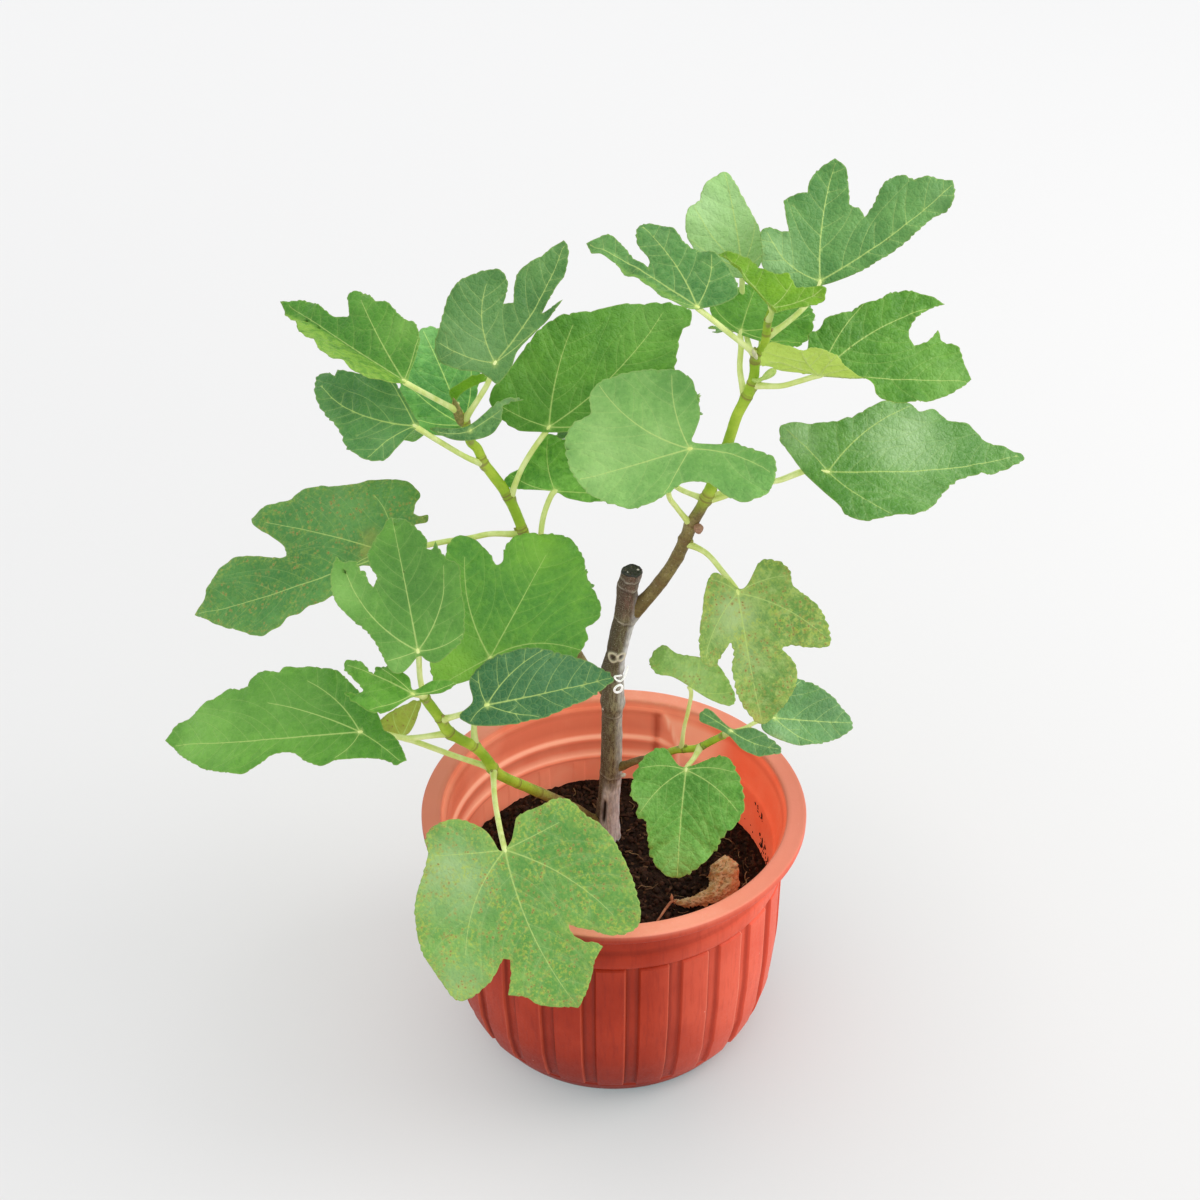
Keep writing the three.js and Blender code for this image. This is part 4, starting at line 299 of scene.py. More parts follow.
def sweep(path, radii, sides, bump=None, first=None):
    """Verts and tris of a closed tube. bump(i, angles) gives a factor for the
    radius at ring i. Returns also each vertex's ring and angle."""
    path = np.asarray(path, float)
    n = len(path)
    tan = np.gradient(path, axis=0)
    tan = unit(tan)
    side = np.array(first if first is not None else (1.0, 0.0, 0.0))
    ang = np.linspace(0, 2 * math.pi, sides, endpoint=False)
    rings = []
    for i in range(n):
        t = tan[i]
        side = side - (side @ t) * t
        if np.linalg.norm(side) < 1e-3:
            side = np.cross(t, [0.0, 0.0, 1.0])
        side = side / np.linalg.norm(side)
        other = np.cross(t, side)
        r = radii[i] * (bump(i, ang) if bump else np.ones(sides))
        rings.append(path[i] + np.outer(r * np.cos(ang), side) + np.outer(r * np.sin(ang), other))
    verts = np.vstack(rings + [path[:1], path[-1:]])
    i = np.arange(n - 1)[:, None] * sides
    k = np.arange(sides)[None, :]
    kn = (k + 1) % sides
    a, b, c, d = i + k, i + kn, i + kn + sides, i + k + sides
    tris = np.concatenate([np.stack([a, b, c], -1).reshape(-1, 3), np.stack([a, c, d], -1).reshape(-1, 3)])
    base, top = n * sides, n * sides + 1
    k = np.arange(sides)
    kn = (k + 1) % sides
    last = (n - 1) * sides
    tris = np.vstack([
        tris,
        np.stack([np.full(sides, base), kn, k], -1),
        np.stack([np.full(sides, top), last + k, last + kn], -1),
    ])
    ring = np.concatenate([np.repeat(np.arange(n), sides), [0, n - 1]])
    angle = np.concatenate([np.tile(ang, n), [0, 0]])
    return verts, tris, ring, angle


def fractal(points, scale, octaves=3, seed=0.0):
    """Coherent noise at each point, about -1 to 1."""
    out = np.empty(len(points))
    for i, p in enumerate(points):
        out[i] = noise.fractal(Vector((p[0] * scale + seed, p[1] * scale, p[2] * scale)), 0.9, 2.1, octaves)
    return out


def joined(name, parts, mats):
    """One object out of [(verts, tris, material index, attrs)]. attrs may miss keys."""
    keys = sorted({k for p in parts for k in (p[3] or {})})
    V, T, M = [], [], []
    A = {k: [] for k in keys}
    base = 0
    for verts, tris, mi, attrs in parts:
        V.append(np.asarray(verts, float))
        T.append(np.asarray(tris, int) + base)
        M.append(np.full(len(tris), mi))
        for k in keys:
            val = (attrs or {}).get(k, 0.0)
            A[k].append(np.full(len(verts), float(val)) if np.isscalar(val) else np.asarray(val, float))
        base += len(verts)
    return mesh_object(name, np.vstack(V), np.vstack(T), mats, np.concatenate(M), {k: np.concatenate(v) for k, v in A.items()})


def ball(radius, rings=8, sides=12):
    """Verts and tris of a small closed round body."""
    th = np.linspace(0, math.pi, rings + 1)[1:-1]
    ph = np.linspace(0, 2 * math.pi, sides, endpoint=False)
    v = [[0, 0, radius]]
    for t in th:
        for p in ph:
            v.append([radius * math.sin(t) * math.cos(p), radius * math.sin(t) * math.sin(p), radius * math.cos(t)])
    v.append([0, 0, -radius])
    f = []
    for k in range(sides):
        n = (k + 1) % sides
        f.append([0, 1 + k, 1 + n])
        for i in range(len(th) - 1):
            a = 1 + i * sides
            f += [[a + k, a + sides + k, a + sides + n], [a + k, a + sides + n, a + n]]
        a = 1 + (len(th) - 1) * sides
        f.append([len(v) - 1, a + n, a + k])
    return np.array(v, float), np.array(f)


# ------------------------------------------------------------------ materials
def lin(c, k=1.0):
    """A colour named 0 to 255 on screen, as light."""
    out = []
    for v in c:
        v = v / 255.0
        v = v / 12.92 if v <= 0.04045 else ((v + 0.055) / 1.055) ** 2.4
        out.append(min(1.0, v * k))
    return (out[0], out[1], out[2], 1.0)


def leafy(c, k=1.0):
    """A leaf colour as seen, less the pale veil its soft gloss adds."""
    return tuple(max(0.004, (v - 0.022)) * k for v in lin(c)[:3]) + (1.0,)


class Paint:
    """A material's node tree, with short names for the nodes used here."""

    def __init__(self, name, **shader):
        self.m = bpy.data.materials.new(name)
        self.m.use_nodes = True
        self.t = self.m.node_tree
        self.bsdf = self.t.nodes["Principled BSDF"]
        for key, value in shader.items():
            self.bsdf.inputs[key.replace("_", " ")].default_value = value

    def put(self, kind, ins=None, **props):
        n = self.t.nodes.new(kind)
        for k, v in props.items():
            setattr(n, k, v)
        for k, v in (ins or {}).items():
            s = n.inputs[k]
            if isinstance(v, bpy.types.NodeSocket):
                self.t.links.new(v, s)
            else:
                s.default_value = v
        return n

    def coord(self, scale=1.0, kind="Object"):
        """Object coordinates in millimetres, times scale."""
        c = self.put("ShaderNodeTexCoord").outputs[kind]
        s = scale if isinstance(scale, (tuple, list)) else (scale,) * 3
        k = 1000.0 if kind == "Object" else 220.0
        return self.put("ShaderNodeMapping", {"Vector": c, "Scale": tuple(k * v for v in s)}).outputs["Vector"]

    def noise(self, vec, scale, detail=3.0, rough=0.55, warp=0.0):
        return self.put("ShaderNodeTexNoise", {"Vector": vec, "Scale": scale, "Detail": detail, "Roughness": rough, "Distortion": warp}).outputs["Fac"]

    def cells(self, vec, scale, feature="DISTANCE_TO_EDGE", random=1.0, flat=False):
        n = self.put("ShaderNodeTexVoronoi", feature=feature, voronoi_dimensions="2D" if flat else "3D")
        self.t.links.new(vec, n.inputs["Vector"])
        n.inputs["Scale"].default_value = scale
        n.inputs["Randomness"].default_value = random
        return n

    def attr(self, name):
        return self.put("ShaderNodeAttribute", attribute_name=name).outputs["Fac"]

    def ramp(self, fac, a, b, lo=0.0, hi=1.0):
        """lo at a, hi at b, held outside."""
        n = self.put("ShaderNodeMapRange", clamp=True, interpolation_type="SMOOTHSTEP")
        for k, v in (("Value", fac), ("From Min", a), ("From Max", b), ("To Min", lo), ("To Max", hi)):
            if isinstance(v, bpy.types.NodeSocket):
                self.t.links.new(v, n.inputs[k])
            else:
                n.inputs[k].default_value = v
        return n.outputs["Result"]

    def math(self, op, a, b=0.5, clamp=False):
        n = self.put("ShaderNodeMath", operation=op, use_clamp=clamp)
        for i, v in enumerate((a, b)):
            if isinstance(v, bpy.types.NodeSocket):
                self.t.links.new(v, n.inputs[i])
            else:
                n.inputs[i].default_value = v
        return n.outputs[0]

    def mix(self, fac, a, b, mode="MIX"):
        n = self.put("ShaderNodeMix", data_type="RGBA", blend_type=mode)
        for k, v in ((0, fac), (6, a), (7, b)):
            if isinstance(v, bpy.types.NodeSocket):
                self.t.links.new(v, n.inputs[k])
            else:
                n.inputs[k].default_value = v
        return n.outputs[2]

    def colour(self, c):
        self.t.links.new(c, self.bsdf.inputs["Base Color"])

    def rough(self, r):
        self.t.links.new(r, self.bsdf.inputs["Roughness"])

    def bump(self, height, strength=0.5, distance=0.001, normal=None):
        n = self.put("ShaderNodeBump", {"Height": height, "Strength": strength, "Distance": distance})
        if normal is not None:
            self.t.links.new(normal, n.inputs["Normal"])
        return n.outputs["Normal"]

    def normal(self, n):
        self.t.links.new(n, self.bsdf.inputs["Normal"])


# How each kind of leaf looks. base, light, dark: the blade's greens; glow: a
# lighter green laid over part of it, partly the leaf's own paler patches, partly
# painted sheen; rust, yellow: how much spotting and yellow mottling, 0 to 1;
# gloss: roughness; vein: the colour of the veins
LOOKS = {
    "mid": dict(base=(93, 150, 57), light=(111, 168, 66), dark=(67, 122, 46), glow=(133, 184, 92)),
    "fresh": dict(base=(95, 154, 58), light=(113, 168, 72), dark=(72, 128, 47), glow=(136, 184, 102)),
    "warm": dict(base=(91, 150, 57), light=(119, 174, 64), dark=(66, 126, 50), glow=(136, 188, 71)),
    "dark": dict(base=(78, 130, 63), light=(98, 150, 74), dark=(55, 104, 54), glow=(111, 158, 93)),
    "deep": dict(base=(69, 118, 74), light=(87, 136, 88), dark=(52, 96, 62), glow=(100, 146, 102), net=0.12, web=0.65),
    "mid_dark": dict(base=(96, 152, 63), light=(113, 166, 69), dark=(72, 124, 53), glow=(121, 172, 80)),
    "teal": dict(base=(91, 142, 74), light=(111, 160, 89), dark=(68, 118, 64), glow=(142, 184, 122), net=0.1, web=0.48),
    "teal_warm": dict(base=(83, 142, 55), light=(104, 164, 64), dark=(61, 116, 47), glow=(126, 178, 82), net=0.1),
    "teal_dark": dict(base=(83, 132, 74), light=(102, 150, 87), dark=(62, 106, 62), glow=(126, 166, 115), net=0.1, web=0.48),
    "teal_spotted": dict(base=(83, 138, 74), light=(97, 152, 82), dark=(67, 118, 64), glow=(119, 164, 100), rust=0.5, yellow=0.45),
    "wash": dict(base=(151, 194, 124), light=(166, 204, 139), dark=(139, 182, 109), glow=(178, 212, 156), net=0.03, web=0.25),
    "pale": dict(base=(111, 164, 78), light=(129, 178, 92), dark=(84, 140, 63), glow=(164, 204, 123)),
    "young": dict(base=(118, 176, 39), light=(141, 192, 51), dark=(94, 152, 33), glow=(155, 202, 71), web=0.6),
    "glossy": dict(base=(96, 150, 69), light=(117, 166, 87), dark=(74, 128, 56), glow=(164, 198, 145), gloss=0.38),
    "spotted": dict(base=(109, 160, 81), light=(128, 178, 90), dark=(86, 142, 70), glow=(170, 198, 143), rust=0.9, yellow=1.05),
    "spotted_yellow": dict(base=(131, 168, 87), light=(153, 184, 96), dark=(102, 146, 72), glow=(174, 198, 137), rust=1.0, yellow=1.0),
    "spotted_pale": dict(base=(141, 180, 100), light=(159, 192, 115), dark=(118, 158, 83), glow=(174, 202, 137), rust=0.9, yellow=0.6),
    "withering": dict(base=(150, 164, 72), light=(174, 176, 90), dark=(128, 122, 59), glow=(166, 180, 90), rust=0.5, yellow=1.0),
}
EXPOSURE = 1.0


def leaf_material(name, look, seed, lift=1.0, underside_and_glow=(168, 204, 104), mottle=0.0, painted_sheen_veil=0.0, half=False):
    d = dict(rust=0.0, yellow=0.0, gloss=0.5, vein=(186, 212, 122), net=0.06, web=0.26)
    d.update(LOOKS[look])
    p = Paint(name, Roughness=d["gloss"], Specular_IOR_Level=0.36)
    uv = p.coord(1.0, "UV")
    off = p.put("ShaderNodeVectorMath", operation="ADD")
    p.t.links.new(uv, off.inputs[0])
    off.inputs[1].default_value = (37.0 * (seed % 17), 23.0 * (seed % 13), 5.0 * (seed % 7))
    uv = off.outputs[0]
    vein, web, near = p.attr("vein"), p.attr("web"), p.attr("near")
    rim, under, edge, bright = p.attr("rim"), p.attr("under"), p.attr("edge"), p.attr("bright")
    # lift brightens each leaf's greens; on leaves that sit in shade it is set high, as painted light
    c = {k: leafy(d[k], lift) for k in ("base", "light", "dark", "glow")}
    c["vein"] = leafy(d["vein"], 0.5 + 0.5 * lift)
    broad = p.noise(uv, 0.022, 2.0, 0.5)
    fine = p.noise(uv, 0.22, 3.0, 0.6)
    col = p.mix(p.ramp(broad, 0.36, 0.64, 0.1, 0.8), c["base"], c["light"])
    col = p.mix(p.ramp(fine, 0.45, 0.75, 0.0, 0.4), col, c["dark"])
    col = p.mix(p.ramp(p.noise(uv, 0.05, 2.0, 0.55), 0.34, 0.64, 0.42, 0.0), col, c["dark"])
    # darker patches, partly the leaf's own, partly painted shade
    col = p.mix(p.math("MULTIPLY", p.attr("dusk"), 0.85), col, c["dark"])
    # each little field between the veins is a shade of its own
    field = p.put("ShaderNodeSeparateColor")
    patch_of = p.cells(uv, 0.11, "F1", flat=True)
    p.t.links.new(patch_of.outputs["Color"], field.inputs[0])
    col = p.mix(p.math("MULTIPLY", field.outputs[1], 0.22), col, c["dark"])
    if mottle:
        spots = p.noise(uv, 0.17, 3.0, 0.7)
        col = p.mix(p.ramp(spots, 0.50, 0.64, 0.0, 0.5 * mottle), col, p.mix(0.45, c["light"], c["glow"]))
        col = p.mix(p.ramp(spots, 0.36, 0.50, min(0.9, 0.7 * mottle), 0.0), col, c["dark"])
    # lighter patches, partly the leaf's own, partly painted sheen
    col = p.mix(p.math("MULTIPLY", bright, 0.85), col, c["glow"])
    if half:
        tinted = leafy((150, 188, 76), lift)
        tinted = p.mix(p.ramp(fine, 0.4, 0.7, 0.0, 0.6), tinted, c["light"])
        tinted = p.mix(p.ramp(p.noise(uv, 0.13, 3.0, 0.65), 0.46, 0.62, 0.0, 0.6), tinted, c["dark"])
        col = p.mix(p.attr("tint"), col, tinted)
    # the net of small veins, pale
    warp = p.put("ShaderNodeVectorMath", operation="MULTIPLY_ADD")
    wn = p.put("ShaderNodeTexNoise", {"Vector": uv, "Scale": 0.25, "Detail": 1.0})
    p.t.links.new(wn.outputs["Color"], warp.inputs[0])
    warp.inputs[1].default_value = (2.2, 2.2, 0.0)
    p.t.links.new(uv, warp.inputs[2])
    net = p.cells(warp.outputs[0], 0.19, flat=True).outputs["Distance"]
    small = p.cells(warp.outputs[0], 0.46, flat=True).outputs["Distance"]
    lines = p.math("MAXIMUM", p.ramp(net, 0.0, 0.09, d["net"], 0.0), p.ramp(small, 0.0, 0.14, d["net"] * 0.5, 0.0))
    col = p.mix(lines, col, c["vein"])
    col = p.mix(p.ramp(near, 0.35, 1.0, 0.0, 0.10), col, c["glow"])
    if d["yellow"]:
        patch = p.ramp(p.noise(uv, 0.06, 3.0, 0.6), 0.42, 0.62, 0.15, 1.0)
        grain = p.ramp(p.noise(uv, 0.34, 4.0, 0.75), 0.47, 0.62)
        amount = p.math("MULTIPLY", p.math("MULTIPLY", patch, grain), 0.6 * d["yellow"])
        col = p.mix(amount, col, leafy((184, 200, 84), EXPOSURE))
        veil = p.math("MULTIPLY", p.ramp(p.noise(uv, 0.09, 3.0, 0.6), 0.50, 0.70), 0.16 * d["yellow"])
        col = p.mix(veil, col, leafy((166, 196, 92), EXPOSURE))
        rimy = p.math("MULTIPLY", p.ramp(edge, 0.25, 1.0), 0.55 * d["yellow"])
        col = p.mix(p.math("MULTIPLY", rimy, p.ramp(grain, 0.0, 1.0, 0.3, 1.0)), col, leafy((182, 200, 96), EXPOSURE))
    if d["rust"]:
        where = p.ramp(p.noise(uv, 0.07, 3.0, 0.6), 0.42, 0.57)
        cell = p.cells(warp.outputs[0], 0.42, "F1")
        pick = p.put("ShaderNodeSeparateColor")
        p.t.links.new(cell.outputs["Color"], pick.inputs[0])
        keep = p.math("LESS_THAN", pick.outputs[0], 0.62 * d["rust"])
        spot = p.math("MULTIPLY", p.math("MULTIPLY", p.ramp(cell.outputs["Distance"], 0.12, 0.30, 1.0, 0.0), keep), where)
        halo = p.math("MULTIPLY", p.math("MULTIPLY", p.ramp(cell.outputs["Distance"], 0.2, 0.75, 0.5, 0.0), keep), where)
        col = p.mix(halo, col, lin((176, 168, 84), EXPOSURE))
        col = p.mix(p.math("MULTIPLY", spot, 0.78), col, lin((146, 98, 56), EXPOSURE))
    col = p.mix(p.math("MULTIPLY", web, d["web"]), col, c["vein"])
    col = p.mix(p.math("MULTIPLY", vein, 0.92), col, c["vein"])
    col = p.mix(p.math("MULTIPLY", rim, 0.38), col, leafy((178, 204, 110), EXPOSURE))
    dry = p.mix(p.ramp(fine, 0.4, 0.65), lin((186, 180, 84)), lin((160, 148, 76)))
    col = p.mix(p.attr("stain"), col, dry)
    # a pale veil of painted sheen over the whole blade
    if painted_sheen_veil:
        col = p.mix(painted_sheen_veil, col, lin((206, 212, 204)))
    # the felted underside is paler and greyer; on folded leaves that show it, it is set lighter still, painted light
    # standing in for sun through the leaf
    pale = p.mix(0.7, col, leafy(underside_and_glow, lift))
    pale = p.mix(p.math("MULTIPLY", p.math("MAXIMUM", web, vein), 0.7), pale, leafy((204, 222, 146), EXPOSURE))
    col = p.mix(under, col, pale)
    p.colour(col)
    p.rough(p.ramp(fine, 0.3, 0.7, d["gloss"] - 0.05, d["gloss"] + 0.1))
    h = p.math("ADD", p.ramp(net, 0.0, 0.35), p.math("MULTIPLY", p.ramp(small, 0.0, 0.4), 0.5))
    h = p.math("ADD", h, p.math("MULTIPLY", fine, 0.7))
    p.normal(p.bump(h, d.get("crisp", 0.45), 0.0008))
    return p.m


def petiole_material():
    p = Paint("leaf_stalk", Roughness=0.42, Specular_IOR_Level=0.45)
    v = p.coord((1.0, 1.0, 0.5))
    a = p.noise(v, 0.12, 3.0)
    col = p.mix(p.ramp(a, 0.35, 0.7), lin((218, 234, 132), EXPOSURE), lin((240, 250, 174), EXPOSURE))
    col = p.mix(p.ramp(p.noise(v, 0.9, 3.0), 0.55, 0.8, 0.0, 0.3), col, lin((178, 200, 92), EXPOSURE))
    col = p.mix(p.math("MULTIPLY", p.attr("foot"), 0.55), col, lin((164, 176, 78), EXPOSURE))
    p.colour(col)
    p.rough(p.ramp(a, 0.3, 0.7, 0.36, 0.5))
    p.normal(p.bump(p.noise(p.coord((1.0, 1.0, 0.3)), 1.4, 3.0), 0.3, 0.0004))
    return p.m


# ------------------------------------------------------------------ leaves
def leaf_frame(leaf):
    b, r, roll = (math.radians(a) for a in leaf["aim"])
    U = np.array([math.cos(r) * math.cos(b), math.cos(r) * math.sin(b), math.sin(r)])
    side = unit(np.cross([0.0, 0.0, 1.0], U))
    up = np.cross(U, side)
    N = up * math.cos(roll) + side * math.sin(roll)
    return np.array(leaf["at"], float), U, np.cross(N, U), N


def blade(leaf, uv):
    """Points of the blade's middle surface at flat (u, v)."""
    A, U, V, N = leaf_frame(leaf)
    u, v = uv[:, 0], uv[:, 1]
    bend = math.radians(leaf["droop"] or 0.5) / leaf["reach"]
    a = np.maximum(u, 0) * bend
    x = np.where(u > 0, np.sin(a) / bend, u)
    z = np.where(u > 0, -(1 - np.cos(a)) / bend, 0.0)
    M = np.outer(np.cos(a), N) + np.outer(np.sin(a), U)
    fl = np.full(len(u), math.radians(leaf["fold"][0]))
    fr = np.full(len(u), math.radians(leaf["fold"][1]))
    if "open" in leaf:
        t = smooth(u, *leaf["open"])
        if leaf["fold"][0] > leaf["fold"][1]:
            fl = fl * (1 - t) + math.radians(8) * t
        else:
            fr = fr * (1 - t) + math.radians(8) * t
    c = 0.8
    t = smooth(v, -c, c)
    phi = fr * (1 - t) + fl * t
    w = np.sqrt(v * v + c * c) - c
    return A + np.outer(x, U) + np.outer(z, N) + np.outer(np.cos(phi) * v, V) + M * (np.sin(phi) * w)[:, None]


def inside(points, loop):
    x, y = points[:, 0][:, None], points[:, 1][:, None]
    x0, y0 = loop[:, 0], loop[:, 1]
    x1, y1 = np.roll(x0, -1), np.roll(y0, -1)
    cross = (y0 > y) != (y1 > y)
    with np.errstate(divide="ignore", invalid="ignore"):
        at = (x1 - x0) * (y - y0) / (y1 - y0) + x0
    return (np.sum(cross & (x < at), axis=1) % 2) == 1


def to_segments(P, A, B):
    """Distance from each point to the nearest segment, that segment, and how far along it."""
    AB = B - A
    L = np.maximum((AB ** 2).sum(1), 1e-9)
    best = np.full(len(P), 1e9)
    idx = np.zeros(len(P), int)
    frac = np.zeros(len(P))
    for s in range(0, len(P), 1500):
        p = P[s:s + 1500, None, :]
        t = np.clip(((p - A) * AB).sum(2) / L, 0, 1)
        d = np.linalg.norm(p - (A + t[..., None] * AB), axis=2)
        i = d.argmin(1)
        r = np.arange(len(i))
        best[s:s + 1500], idx[s:s + 1500], frac[s:s + 1500] = d[r, i], i, t[r, i]
    return best, idx, frac


def loop_normals(P):
    t = np.roll(P, -1, 0) - np.roll(P, 1, 0)
    t = unit(t)
    return np.stack([t[:, 1], -t[:, 0]], 1)


def arc_of(P):
    return np.concatenate([[0.0], np.cumsum(np.linalg.norm(np.diff(np.vstack([P, P[:1]]), axis=0), axis=1))])


def margin(leaf, rng):
    """The blade's outline with its teeth. A lobe point that carries a third
    number is a corner: a sharp tip, or the bottom of a slit."""
    rows = leaf["lobes"]
    pts = np.array([[r[1] * math.cos(math.radians(r[0])), r[1] * math.sin(math.radians(r[0]))] for r in rows])
    sharp = np.array([len(r) > 2 for r in rows])
    area = 0.5 * np.sum(pts[:, 0] * np.roll(pts[:, 1], -1) - np.roll(pts[:, 0], -1) * pts[:, 1])
    if area < 0:
        pts, sharp = pts[::-1], sharp[::-1]
    if sharp.sum() < 2:
        P = loop_spline(pts, 1.0)
    else:
        first = int(np.argmax(sharp))
        pts, sharp = np.roll(pts, -first, 0), np.roll(sharp, -first)
        ring = np.vstack([pts, pts[:1]])
        at = list(np.flatnonzero(sharp)) + [len(pts)]
        P = np.vstack([spline(ring[a:b + 1], 1.0)[:-1] for a, b in zip(at[:-1], at[1:])])
    out = loop_normals(P)
    arc = arc_of(P)
    total = arc[-1]
    pitch, depth = leaf.get("teeth", (7.5, 1.1))
    count = max(6, int(round(total / pitch)))
    cuts = (np.arange(count) + rng.uniform(-0.32, 0.32, count)) * total / count
    size = rng.uniform(0.1, 1.5, count)
    s = arc[:-1]
    k = np.searchsorted(cuts, s, side="right") - 1
    k0 = k % count
    a = cuts[k0]
    b = cuts[(k0 + 1) % count]
    span = (b - a) % total
    t = ((s - a) % total) / np.maximum(span, 1e-6)
    # each tooth leans towards the tip of its lobe
    r = np.linalg.norm(P, axis=1)
    rising = np.roll(r, -3) > np.roll(r, 3)
    t = np.clip(np.where(rising, t, 1 - t), 0, 1)
    shape = np.where(t < 0.7, (t / 0.7) ** 0.75, ((1 - t) / 0.3) ** 0.9)
    weight = smooth(r, 14, 30)
    if sharp.any():
        away = np.linalg.norm(P[:, None] - pts[sharp][None], axis=2).min(1)
        weight = weight * (0.25 + 0.75 * smooth(away, 1.5, 6))
    move = 1.2 * depth * size[k0] * (shape - 0.55) * weight
    return P + out * move[:, None]


def main_veins(leaf, loop):
    lines = []
    for n, vein in enumerate(leaf["veins"]):
        ang, reach = vein[0], vein[1]
        a = math.radians(ang)
        ray = np.array([math.cos(a), math.sin(a)])
        turn = math.radians(leaf.get("bow", 16)) * math.copysign(min(1.0, abs(ang) / 35.0), ang)
        if abs(ang) < 4:
            turn = math.radians(3.0) * (1 if n % 2 else -1)
        if len(vein) > 2:
            turn = math.radians(vein[2])
        else:
            far = np.linspace(6, 206, 401)[:, None] * ray
            ok = inside(far, loop)
            stop = np.argmin(ok) if not ok.all() else len(ok)
            room = 6 + 0.5 * max(stop - 1, 0)
            if reach > 0.55 * room or reach > room:
                reach = min(max(reach, 0.93 * room), room - 2.0)
            reach = max(reach, 6.0)
        end = reach * ray
        mid = 0.5 * reach / math.cos(turn) * np.array([math.cos(a + turn), math.sin(a + turn)])
        t = np.linspace(0, 1, max(5, int(reach / 2.2)))[:, None]
        pts = 2 * t * (1 - t) * mid + t * t * end
        ok = inside(pts, loop) | (np.linalg.norm(pts, axis=1) < 6.0)
        stop = np.argmin(ok) if not ok.all() else len(ok)
        pts = pts[:stop]
        if len(pts) < 4:
            continue
        w0 = 0.98 if n == 0 else 0.82
        w0 *= min(1.0, 0.45 + reach / 110.0)
        w = w0 + (0.28 - w0) * np.linspace(0, 1, len(pts)) ** 0.8
        lines.append([pts, w, 0])
    return lines


def side_veins(leaf, loop, mains, rng):
    nxt = np.roll(loop, -1, 0)
    allA = np.vstack([m[0][:-1] for m in mains])
    allB = np.vstack([m[0][1:] for m in mains])
    owner = np.concatenate([np.full(len(m[0]) - 1, i) for i, m in enumerate(mains)])
    out = []
    for i, (pts, w, _) in enumerate(mains):
        seg = np.linalg.norm(np.diff(pts, axis=0), axis=1)
        arc = np.concatenate([[0], np.cumsum(seg)])
        first = 13.0 if i == 0 else 15.0
        gap = leaf.get("gap", 11.5)
        for side in (1, -1):
            s = first + (0 if side > 0 else gap * 0.45) + rng.uniform(-2, 2)
            while s < arc[-1] - 5:
                p = np.array([np.interp(s, arc, pts[:, 0]), np.interp(s, arc, pts[:, 1])])
                q = np.array([np.interp(s + 1, arc, pts[:, 0]), np.interp(s + 1, arc, pts[:, 1])])
                head = math.atan2(*(q - p)[::-1]) + side * math.radians(rng.uniform(48, 66))
                way = math.atan2(*(q - p)[::-1])
                run = [p]
                length = 0.0
                while length < 75:
                    head += -side * math.radians(0.95 * 2.0) * (1 if abs(head - way) > math.radians(14) else 0)
                    p = p + 2.0 * np.array([math.cos(head), math.sin(head)])
                    length += 2.0
                    one = p[None, :]
                    if not inside(one, loop)[0]:
                        break
                    dm, _, _ = to_segments(one, loop, nxt)
                    if dm[0] < 2.2:
                        run.append(p)
                        break
                    dv, iv, _ = to_segments(one, allA, allB)
                    if owner[iv[0]] != i and length > 6:
                        if dv[0] < 2.5:
                            break
                    if out and length > 4:
                        ds = min(np.linalg.norm(o[0] - p, axis=1).min() for o in out)
                        if ds < 2.6:
                            break
                    run.append(p)
                if len(run) > 3:
                    run = np.array(run)
                    w0 = 0.40 if length > 18 else 0.32
                    out.append([run, w0 + (0.20 - w0) * np.linspace(0, 1, len(run)), 1])
                s += gap * rng.uniform(0.7, 1.45)
    return out


